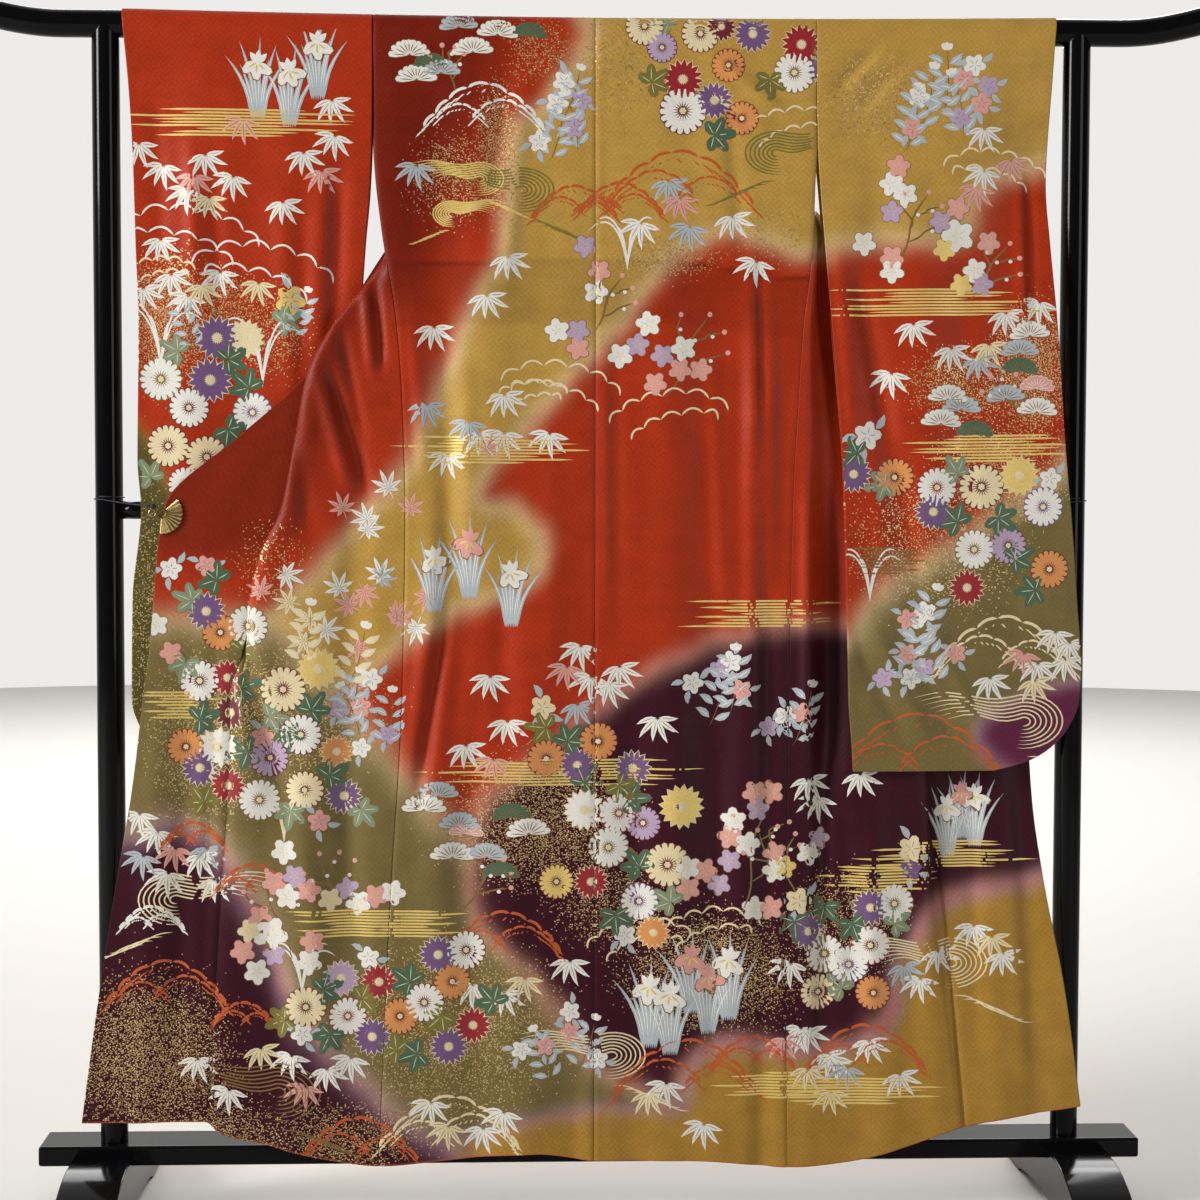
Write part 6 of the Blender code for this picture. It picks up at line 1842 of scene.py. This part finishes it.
def find_on_grid(grid, x, z):
    """Column and row, as fractions, of points seen from the front: Newton's steps on the grid's
    bilinear cells, begun from the middle row's and the middle column's own spacing."""
    rows, columns = grid.shape[:2]
    gx, gz = grid[..., 0], grid[..., 2]
    middle = gx[rows // 2]
    v = np.interp(-z, -gz[:, columns // 2], np.arange(rows))
    row = np.clip(v.astype(int), 0, rows - 1)
    left, right = gx[row, 0], gx[row, -1]
    share = (x - left) / np.where(np.abs(right - left) < 1e-6, 1e-6, right - left)
    u = np.interp(share, (middle - middle[0]) / (middle[-1] - middle[0]), np.arange(columns))
    u = np.where(share < 0, share * OUTER_COLUMNS, u)
    u = np.where(share > 1, columns - 1 + (share - 1) * OUTER_COLUMNS, u)
    v = np.where(z > gz[0, columns // 2], -1.0, v)
    for _ in range(NEWTON_STEPS):
        i = np.clip(np.floor(v).astype(int), 0, rows - 2)
        j = np.clip(np.floor(u).astype(int), 0, columns - 2)
        s, t = (u - j)[:, None], (v - i)[:, None]
        a, b, c, d = (grid[i + k, j + n, ::2] for k, n in ((0, 0), (0, 1), (1, 0), (1, 1)))
        at = (a * (1 - s) + b * s) * (1 - t) + (c * (1 - s) + d * s) * t
        by_s = (b - a) * (1 - t) + (d - c) * t
        by_t = (c - a) * (1 - s) + (d - b) * s
        miss = np.stack([x, z], axis=1) - at
        area = by_s[:, 0] * by_t[:, 1] - by_s[:, 1] * by_t[:, 0]
        area = np.where(np.abs(area) < 1e-12, 1e-12, area)
        du = (miss[:, 0] * by_t[:, 1] - miss[:, 1] * by_t[:, 0]) / area
        dv = (by_s[:, 0] * miss[:, 1] - by_s[:, 1] * miss[:, 0]) / area
        u = u + np.clip(du, -4, 4)
        v = v + np.clip(dv, -4, 4)
    return u, v


def read_grid(values, u, v):
    """Values of a grid at fractions of its columns and rows, between its four nearest points."""
    rows, columns = values.shape[:2]
    u = np.clip(u, 0, columns - 1)
    v = np.clip(v, 0, rows - 1)
    j = np.minimum(u.astype(int), columns - 2)
    i = np.minimum(v.astype(int), rows - 2)
    s, t = (u - j)[:, None], (v - i)[:, None]
    upper = values[i, j] * (1 - s) + values[i, j + 1] * s
    lower = values[i + 1, j] * (1 - s) + values[i + 1, j + 1] * s
    return upper * (1 - t) + lower * t


def ribbon_faces(along):
    """Faces of one leaf of so many stations: a left and a right half, and both tips.
    Each station has a left, a middle and a right point; the tips are single points."""
    left = 1 + 3 * np.arange(along - 2)
    middle, right = left + 1, left + 2
    end = 3 * (along - 2) + 1
    quads = np.concatenate([
        np.stack([left[:-1], left[1:], middle[1:], middle[:-1]], axis=1),
        np.stack([middle[:-1], middle[1:], right[1:], right[:-1]], axis=1)])
    tips = np.array([
        (0, left[0], middle[0]), (0, middle[0], right[0]),
        (left[-1], end, middle[-1]), (middle[-1], end, right[-1])])
    return quads, tips


def ribbon_points(path, half):
    """Points in the plane and rise above it of leaves: edges at 0, middles raised in a low dome."""
    run = unit(np.gradient(path, axis=1))
    aside = np.stack([-run[..., 1], run[..., 0]], axis=-1) * half[..., None]
    body = np.stack([path + aside, path, path - aside], axis=2)[:, 1:-1].reshape(len(path), -1, 2)
    dome = np.minimum(DOME, DOME_SLOPE * half[:, 1:-1])
    rise = np.stack([0 * dome, dome, 0 * dome], axis=2).reshape(len(path), -1)
    points = np.concatenate([path[:, :1], body, path[:, -1:]], axis=1)
    return points, np.pad(rise, ((0, 0), (1, 1)))


def pattern_mesh(name, layout, grid, normals, near, taken):
    """Lay a layout's leaves on a grid: each point is found on the cloth and raised along its
    normal. A face is kept where its middle is on this grid and no earlier piece has taken it."""
    points, faces_kept, tints, shines = [], ([], []), [], []
    base = 0
    for along, parts in sorted(layout.groups.items()):
        path, half, values = (np.concatenate(part) for part in zip(*parts))
        flat, rise = ribbon_points(path, half)
        many, each = flat.shape[:2]
        x = flat[..., 0].ravel() * CM
        sag = bar_sag(x) * (1.0 - smooth_step(flat[..., 1].ravel(), *SAG_FADES))
        u, v = find_on_grid(grid, x, CLOTH_TOP - flat[..., 1].ravel() * CM - sag)
        lift = SHELL / 2 + (LEAF_LIFT + rise.ravel() + np.repeat(values[:, 0], each) * LEVEL_LIFT) * MM
        points.append(read_grid(grid, u, v) + unit(read_grid(normals, u, v)) * lift[:, None])
        offsets = (np.arange(many) * each)[:, None, None]
        for kind, shape in enumerate(ribbon_faces(along)):
            done = taken.setdefault((along, kind), np.zeros(many * len(shape), bool))
            faces = (offsets + shape[None]).reshape(-1, shape.shape[1])
            mean_u, mean_v = u[faces].mean(1), v[faces].mean(1)
            keep = (mean_u >= 0) & (mean_u <= grid.shape[1] - 1) & (mean_v >= 0)
            keep &= (mean_v <= grid.shape[0] - 1) & ~done
            done |= keep
            faces_kept[kind].append(faces[keep] + base)
        tints.append(np.repeat(values[:, 1:4], each, axis=0))
        shines.append(np.repeat(values[:, 4], each))
        base += many * each
    quads, tips = (np.concatenate(kept) for kept in faces_kept)
    used = np.zeros(base, bool)
    used[quads.ravel()] = True
    used[tips.ravel()] = True
    if not used.any():
        return None
    fresh = np.cumsum(used) - 1
    order = slice(None) if near else slice(None, None, -1)
    thing = mesh_from(name, np.concatenate(points)[used], fresh[quads][:, order], fresh[tips][:, order])
    set_values(thing.data, "tint", np.concatenate(tints)[used])
    set_values(thing.data, "shine", np.concatenate(shines)[used])
    return thing


# Clips and cords
def fan_mesh(name):
    """Pleated brass leaf round its hub: a thin closed shell over ridges and grooves."""
    folds = 2 * FAN_RIBS
    turn = np.linspace(FAN_FROM, FAN_TO, folds * FAN_STEPS + 1)
    phase = np.linspace(0, folds, folds * FAN_STEPS + 1) * math.pi
    ridge = (0.5 - 0.5 * np.cos(phase))[None, :]
    radii = np.linspace(FAN_HUB_RADIUS * FAN_START_SHARE, FAN_RADIUS - FAN_RIM, 9)
    radii = np.append(radii, FAN_RADIUS)[:, None]
    reach = radii - FAN_SCALLOP * (1 - ridge) * (radii / FAN_RADIUS) ** 8
    height = FAN_PLEAT * ridge * radii / FAN_RADIUS
    x, y, z = LEFT_CLIP
    middle = np.stack([x + reach * np.cos(turn), y - height, z + reach * np.sin(turn)], axis=-1)
    normals = grid_normals(middle, 1.0)
    if normals[0, 0, 1] > 0:
        normals = -normals
    proud = normals * FAN_LEAF / 2
    faces = shell_faces(*middle.shape[:2], 1)
    points = np.concatenate([(middle + proud).reshape(-1, 3), (middle - proud).reshape(-1, 3)])
    return mesh_from(name, points, face_outward(points, faces, (0, -1, 0)))


def face_outward(points, faces, toward):
    """Turn every face round when the first, which should look toward a direction, looks away."""
    a, b, c = points[faces[0, :3]]
    if np.dot(np.cross(b - a, c - b), toward) < 0:
        return faces[:, ::-1]
    return faces


def turned_profile(name, centre, profile):
    """A turned disc or ball: a profile of radius and depth toward the viewer, spun round Y."""
    x, y, z = centre
    turn = around(DISC_SIDES)
    return close_rings(name, np.stack([
        np.stack([x + reach * np.cos(turn), y - depth + 0 * turn, z + reach * np.sin(turn)], axis=1)
        for reach, depth in profile]))


def ring_of_wire(name, centre, radius, wire):
    """A closed ring of round wire in the plane of the cloth."""
    run, turn = around(DISC_SIDES)[:, None], around(WIRE_SIDES)[None, :]
    reach = radius + wire * np.cos(turn)
    points = np.stack([
        centre[0] + reach * np.cos(run), centre[1] + wire * np.sin(turn) + 0 * run,
        centre[2] + reach * np.sin(run)], axis=-1)
    index = np.arange(DISC_SIDES * WIRE_SIDES).reshape(DISC_SIDES, WIRE_SIDES)
    beyond, after = np.roll(index, -1, axis=0), np.roll(index, -1, axis=1)
    faces = np.stack([index, beyond, np.roll(after, -1, axis=0), after], axis=-1).reshape(-1, 4)
    return mesh_from(name, points.reshape(-1, 3), faces)


def knot_mesh(name, centre):
    """The cord's knot: a small ball with two crossing strands pressed into it."""
    up = np.linspace(-1, 1, 21)[1:-1]
    turn = around(KNOT_SIDES)
    level = np.sin(up * math.pi / 2)[:, None]
    reach = np.cos(up * math.pi / 2)[:, None]
    dent = 1.0 - KNOT_DENT * (0.5 + 0.5 * np.cos(2 * turn[None, :] + 3.0 * level))
    rings = np.stack([
        centre[0] + KNOT_SHAPE[0] * KNOT_RADIUS * reach * dent * np.cos(turn),
        centre[1] + KNOT_SHAPE[1] * KNOT_RADIUS * reach * dent * np.sin(turn),
        centre[2] + KNOT_RADIUS * level + 0 * turn], axis=-1)
    return close_rings(name, rings)


def cord_path(side, knot, leave):
    """A turn round the post that leaves it at its tangent and runs to the knot, hanging a little."""
    reach = POST_RADIUS + CORD_RADIUS + GAP
    left = 1 - np.linspace(0, 1, 57)
    turn = np.radians(-90 + side * (leave + CORD_TURN * left))
    x, y = side * POST_X + reach * np.cos(turn), reach * np.sin(turn)
    round_post = np.stack([x, y, CORD_HEIGHT + CORD_SLIDE * left], axis=1)
    start = round_post[-1]
    end = knot + unit(start - knot) * (CORD_STOP * KNOT_RADIUS + GAP)
    part = np.linspace(0, 1, 17)[1:, None]
    hang = np.array([0.0, 0.0, -4 * CORD_DIP]) * part * (1 - part)
    return np.concatenate([round_post, start + (end - start) * part + hang])


def left_ring_centre():
    """Middle of the wire ring beside the left clip's hub."""
    ring_out = FAN_HUB_RADIUS + RING_RADIUS + RING_WIRE + GAP
    return np.array(LEFT_CLIP) + (-ring_out, -RING_BEFORE, 0)


def knot_centre(side):
    """Middle of the knot at the end of a cord."""
    if side < 0:
        above = RING_RADIUS + RING_WIRE + GAP + KNOT_RADIUS
        return left_ring_centre() + (LEFT_KNOT_ASIDE, 0, above)
    return np.array(RIGHT_CLIP) + RIGHT_KNOT_FROM_CLIP


# Settings of the looks
class KimonoSettings(bpy.types.PropertyGroup):
    """What a user may change before the looks are made."""

    figure: bpy.props.FloatProperty(
        name="Weave figure", description="Size of one square of the figured weave",
        default=0.012, min=0.001, max=0.05, unit="LENGTH", subtype="DISTANCE")
    fleck: bpy.props.FloatProperty(
        name="Gold fleck", description="Size of one fleck of gold dust",
        default=0.0023, min=0.0005, max=0.01, unit="LENGTH", subtype="DISTANCE")
    groove: bpy.props.FloatProperty(
        name="Groove shade", description="How much light the grooves of the weave keep",
        default=0.9, min=0.0, max=1.0, subtype="FACTOR")
    silk_roughness: bpy.props.FloatProperty(
        name="Silk roughness", description="Roughness of the dyed silk",
        default=0.44, min=0.0, max=1.0, subtype="FACTOR")
    lacquer_roughness: bpy.props.FloatProperty(
        name="Lacquer roughness", description="Roughness of the black lacquer",
        default=0.14, min=0.0, max=1.0, subtype="FACTOR")
    key_power: bpy.props.FloatProperty(
        name="Main light", description="Power of the main soft light in watts",
        default=700.0, min=0.0, unit="POWER")
    sky: bpy.props.FloatProperty(
        name="Light of the room", description="Even light from before the kimono",
        default=0.08, min=0.0)
    backdrop: bpy.props.FloatProperty(
        name="Light behind", description="Even light of the pale room behind the kimono",
        default=0.85, min=0.0)
    floor_radius: bpy.props.FloatProperty(
        name="Floor radius", description="Radius of the pale floor",
        default=9.0, min=1.0, unit="LENGTH", subtype="DISTANCE")


def materials_made():
    """The materials by name, made once."""
    settings = bpy.context.scene.kimono_settings
    if "dyed silk" not in bpy.data.materials:
        weave_group(settings)
        flecks_group(settings)
        silk_material(settings)
        lining_material(settings)
        thread_material()
        lacquer_material(settings)
        brass_material("aged brass", "brass", 0.34)
        brass_material("bright brass", "bright brass", 0.2)
        brass_material("worn dark brass", "dark brass", 0.5)
        cord_material()
    return bpy.data.materials


def dress(thing, material, node):
    """Give a look mesh its material, hide the solid of its node, and let it ride on the object's one body.
    """
    if material is not None:
        thing.data.materials.append(materials_made()[material])
    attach(thing, "root")
    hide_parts(node)


class KIMONO_OT_stand(bpy.types.Operator):
    """Make the lacquered bar, posts, rail, beam and feet"""

    bl_idname = "kimono.stand"
    bl_label = "Lacquered stand"

    def execute(self, context):
        """Make each lacquered piece on the form of its solid."""
        pieces = {"top_bar": swept_tube("look_top_bar", bar_path(), BAR_RADIUS, BAR_SIDES, True)}
        for side, label in SIDES:
            pieces["post_" + label] = close_rings("look_post_" + label, post_rings(side))
            pieces["foot_" + label] = foot_mesh("look_foot_" + label, side)
        pieces["middle_rail"] = close_rings("look_middle_rail", rail_rings())
        pieces["lower_beam"] = box_with_round_edges(
            "look_lower_beam", (-BEAM_HALF_LENGTH, BEAM_FRONT, BEAM_LOW),
            (BEAM_HALF_LENGTH, BEAM_BACK, BEAM_HIGH), BEAM_ROUND, 4)
        for node, thing in pieces.items():
            dress(thing, "black lacquer", node)
        return {"FINISHED"}


class KIMONO_OT_clips(bpy.types.Operator):
    """Make the fan clip, the plain clip, their knots and the cords to the posts"""

    bl_idname = "kimono.clips"
    bl_label = "Clips and cords"

    def execute(self, context):
        """Make each small fitting on the form of its solid."""
        dress(fan_mesh("look_clip_left_fan"), "aged brass", "clip_left_fan")
        hub_at = np.array(LEFT_CLIP) + (0, -HUB_BEFORE, 0)
        half = HUB_THICKNESS / 2
        hub = turned_profile("look_clip_left_hub", hub_at, (
            (0.4 * FAN_HUB_RADIUS, -half), (0.96 * FAN_HUB_RADIUS, -half), (FAN_HUB_RADIUS, -0.7 * half),
            (FAN_HUB_RADIUS, 0.6 * half), (0.94 * FAN_HUB_RADIUS, half), (0.84 * FAN_HUB_RADIUS, half),
            (0.78 * FAN_HUB_RADIUS, 0.4 * half), (0.4 * FAN_HUB_RADIUS, 0.55 * half)))
        dress(hub, "worn dark brass", "clip_left_hub")
        ring = ring_of_wire("look_clip_left_ring", left_ring_centre(), RING_RADIUS, RING_WIRE)
        dress(ring, "bright brass", "clip_left_ring")
        half = DISC_THICKNESS / 2
        face, brim = DISC_RADIUS - DISC_ROUND, half - DISC_ROUND
        disc = turned_profile("look_clip_right", RIGHT_CLIP, (
            (0.5 * DISC_RADIUS, -half), (face, -half), (DISC_RADIUS, -brim),
            (DISC_RADIUS, brim), (face, half), (0.5 * DISC_RADIUS, half)))
        dress(disc, "aged brass", "clip_right")
        for side, label in SIDES:
            knot = knot_centre(side)
            dress(knot_mesh("look_knot_" + label, knot), "dark silk cord", "knot_" + label)
            path = cord_path(side, knot, CORD_LEAVES[side])
            cord = swept_tube("look_cord_" + label, path, CORD_RADIUS, CORD_SIDES, False)
            dress(cord, "dark silk cord", "cord_" + label)
        return {"FINISHED"}


# Sewn pieces, and how many columns of printed silk are turned in at their first and last edge
CLOTH_KEPT = {}
TURNED_IN = {"back": (0, 0), "front": (0, 0), "okumi": (0, 4), "sleeve": (4, 4), "collar": (11, 0)}


def cloth_pieces():
    """Every sewn piece: grid of points, sign of its printed side, flat size and share of it."""
    if not CLOTH_KEPT:
        for side, label in SIDES:
            CLOTH_KEPT["back_" + label] = (back_grid(side), -side, BACK_FLAT, 1.0)
            CLOTH_KEPT["front_" + label] = (front_grid(side), -side, FRONT_FLAT, 1.0)
            CLOTH_KEPT["okumi_" + label] = (okumi_grid(side), -side, OKUMI_FLAT, OKUMI_SHARE)
            for leaf, sign in (("near", -side), ("far", side)):
                node = "sleeve_" + label + "_" + leaf
                CLOTH_KEPT[node] = (sleeve_grid(side, leaf), sign, SLEEVE_FLAT, 1.0)
        CLOTH_KEPT["collar"] = (collar_grid(), 1, COLLAR_FLAT, 1.0)
    return CLOTH_KEPT


def side_of(node):
    """Side of a named piece: -1 on the left, 1 on the right."""
    return -1 if "left" in node else 1


def ground_of(node, grid):
    """Dyed colour, with painted shade below the tuck and along the seams, and gold dust of each point of a
    piece.
    """
    x = grid[..., 0] / CM
    drop = (CLOTH_TOP - grid[..., 2]) / CM
    side = side_of(node)
    if node.startswith("sleeve"):
        return dyed_ground_with_painted_shade(SLEEVE_AREAS[side], x, drop), dust_cover(SLEEVE_DUST[side], x, drop)
    if node == "collar":
        return dyed_ground_with_painted_shade((), x, drop), np.zeros(x.shape)
    colour = dyed_ground_with_painted_shade(BODY_AREAS, x, drop)
    if node.startswith("back"):
        # Painted shade: a dark band below the tuck where its doubled cloth shades the back, and dark lines
        # in the tuck seam and the centre seam
        below = drop - TUCK_DROP - tuck_shift(x)
        band = smooth_step(below, 0.0, TUCK_WIDTH) * (1.0 - smooth_step(below, *TUCK_BAND_ENDS))
        seam = np.exp(-((below / TUCK_SEAM_WIDTH) ** 2))
        middle = np.exp(-((x / SEAM_SHADE_WIDTH) ** 2))
        shade = TUCK_BAND_SHADE * band + TUCK_SEAM_SHADE * seam + MIDDLE_SEAM_SHADE * middle
        colour = colour * (1.0 - shade)[..., None]
    else:
        # Painted shade: a dark line along the okumi seam where front and okumi lie as one
        away = side * x - column(FRONT_TABLES[side], "okumi", drop)
        seam = np.exp(-((away / SEAM_SHADE_WIDTH) ** 2)) * (drop > MERGE_DROP[side] - MERGE_FADE)
        colour = colour * (1.0 - OKUMI_SEAM_SHADE * seam)[..., None]
    colour[-2:] += HEM_BLUSH * (DYES["coral"] - colour[-2:])
    return colour, dust_cover(BODY_DUST, x, drop)


class KIMONO_OT_cloth(bpy.types.Operator):
    """Make every sewn piece of the kimono as dyed and lined silk"""

    bl_idname = "kimono.cloth"
    bl_label = "Dyed silk"

    def execute(self, context):
        """Lay a thin shell with dye, painted shade, dust and creases on the form of each sewn solid."""
        silks = [materials_made()["dyed silk"], materials_made()["lining silk"]]
        for node, (grid, sign, *_) in cloth_pieces().items():
            turned_in = TURNED_IN[node.split("_")[0]]
            thing = cloth_shell("look_" + node, grid, sign, *ground_of(node, grid), silks, turned_in)
            dress(thing, None, node)
        return {"FINISHED"}


class KIMONO_OT_pattern(bpy.types.Operator):
    """Lay the stitched and painted pattern"""

    bl_idname = "kimono.pattern"
    bl_label = "Pattern and cut"

    def execute(self, context):
        """Draw each layout once and lay it on every piece that carries it."""
        laid = {}
        self.lay(laid, BODY_MOTIFS, (
            ("back_left", ""), ("back_right", ""), ("front_left", "shown"), ("front_right", "shown"),
            ("okumi_left", ""), ("okumi_right", "")))
        self.lay(laid, BODY_MOTIFS, (("front_left", "behind"), ("front_right", "behind")))
        for side, label in SIDES:
            for leaf in ("_near", "_far"):
                self.lay(laid, SLEEVE_MOTIFS[side], (("sleeve_" + label + leaf, ""),))
        for node, (_, _, flat, share) in cloth_pieces().items():
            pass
        return {"FINISHED"}

    def lay(self, laid, rows, places):
        """Lay one layout over several pieces, each face on the first piece that it falls on."""
        layout = laid_out(rows)
        taken = {}
        for node, part in places:
            grid, sign = cloth_pieces()[node][:2]
            name = "pattern_" + node
            if part:
                grid = front_grid(side_of(node), part)
                name += "_" + part
            near = not (part == "behind" or node.endswith("far"))
            thing = pattern_mesh(name, layout, grid, grid_normals(grid, sign), near, taken)
            if thing is None:
                continue
            thing.data.materials.append(materials_made()["stitched silk"])
            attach(thing, "root")
            laid.setdefault(node, []).append(thing)


class KIMONO_OT_stage(bpy.types.Operator):
    """Make the pale floor, the soft lights and the camera"""

    bl_idname = "kimono.stage"
    bl_label = "Stage and camera"

    def execute(self, context):
        """Lay the floor, hang the lights and set the camera where the photo was taken."""
        settings = context.scene.kimono_settings
        turn = around(FLOOR_SIDES)
        rim = settings.floor_radius * np.stack([np.cos(turn), np.sin(turn), 0 * turn], axis=1)
        points = np.concatenate([[(0.0, 0.0, 0.0)], rim])
        index = np.arange(FLOOR_SIDES)
        fan = np.stack([0 * index, index + 1, (index + 1) % FLOOR_SIDES + 1], axis=1)
        floor = mesh_from("floor", points, (), fan)
        new_material("pale floor", Base_Color=dye("floor"), Roughness=0.8)
        floor.data.materials.append(bpy.data.materials["pale floor"])
        for name, place_at, aim, size, power in LIGHTS:
            light = bpy.data.lights.new(name, "AREA")
            light.shape = "RECTANGLE"
            light.size, light.size_y = size
            light.energy = power * settings.key_power
            lamp = bpy.data.objects.new(name, light)
            lamp.location = place_at
            lamp.rotation_euler = (Vector(aim) - Vector(place_at)).to_track_quat("-Z", "Y").to_euler()
            context.scene.collection.objects.link(lamp)
        world = bpy.data.worlds.new("pale room")
        world.use_nodes = True
        sky = world.node_tree.nodes["Background"]
        sky.inputs["Color"].default_value = ROOM_COLOUR
        nodes = Nodes(world.node_tree)
        outward = nodes.add("ShaderNodeTexCoord").outputs["Generated"]
        split = nodes.add("ShaderNodeSeparateXYZ", "", {0: outward})
        nodes.feed(sky, {"Strength": nodes.span(
            split.outputs["Y"], -0.1, 0.5, settings.sky, settings.backdrop, "pale behind")})
        context.scene.world = world
        context.scene.view_settings.view_transform = "Standard"
        self.set_camera(context.scene)
        return {"FINISHED"}

    def set_camera(self, scene):
        """Turn the camera by its pitch, yaw and roll: columns are its right, up and back."""
        lens = bpy.data.cameras.new("camera")
        lens.lens = CAMERA_LENS
        lens.sensor_width = CAMERA_SENSOR
        lens.clip_end = CAMERA_REACH
        camera = bpy.data.objects.new("camera", lens)
        pitch, yaw, roll = CAMERA_TURN
        forward = Vector((
            math.sin(yaw) * math.cos(pitch), math.cos(yaw) * math.cos(pitch), -math.sin(pitch)))
        level = Vector((math.cos(yaw), -math.sin(yaw), 0.0))
        upright = level.cross(forward)
        right = level * math.cos(roll) + upright * math.sin(roll)
        up = upright * math.cos(roll) - level * math.sin(roll)
        turn = Matrix((right, up, -forward)).transposed()
        camera.matrix_world = Matrix.Translation(CAMERA_PLACE) @ turn.to_4x4()
        scene.collection.objects.link(camera)
        scene.camera = camera


class KIMONO_PT_panel(bpy.types.Panel):
    """Kimono looks"""

    bl_label = "Kimono"
    bl_idname = "KIMONO_PT_panel"
    bl_space_type = "VIEW_3D"
    bl_region_type = "UI"
    bl_category = "Kimono"

    def draw(self, context):
        """List the settings and a button for each group of pieces."""
        settings = context.scene.kimono_settings
        for name in KimonoSettings.__annotations__:
            self.layout.prop(settings, name)
        for operator in OPERATORS:
            self.layout.operator(operator.bl_idname)


OPERATORS = (KIMONO_OT_stand, KIMONO_OT_clips, KIMONO_OT_cloth, KIMONO_OT_pattern, KIMONO_OT_stage)
CLASSES = (KimonoSettings,) + OPERATORS + (KIMONO_PT_panel,)


def register():
    """Register the classes and the scene's settings."""
    for item in CLASSES:
        bpy.utils.register_class(item)
    bpy.types.Scene.kimono_settings = bpy.props.PointerProperty(type=KimonoSettings)


def unregister():
    """Take the settings and the classes away again."""
    del bpy.types.Scene.kimono_settings
    for item in reversed(CLASSES):
        bpy.utils.unregister_class(item)


def main():
    """Make every look in order."""
    register()
    bpy.ops.kimono.stand()
    bpy.ops.kimono.clips()
    bpy.ops.kimono.cloth()
    bpy.ops.kimono.pattern()
    bpy.ops.kimono.stage()
    bpy.context.view_layer.update()


if __name__ == "__main__":
    main()
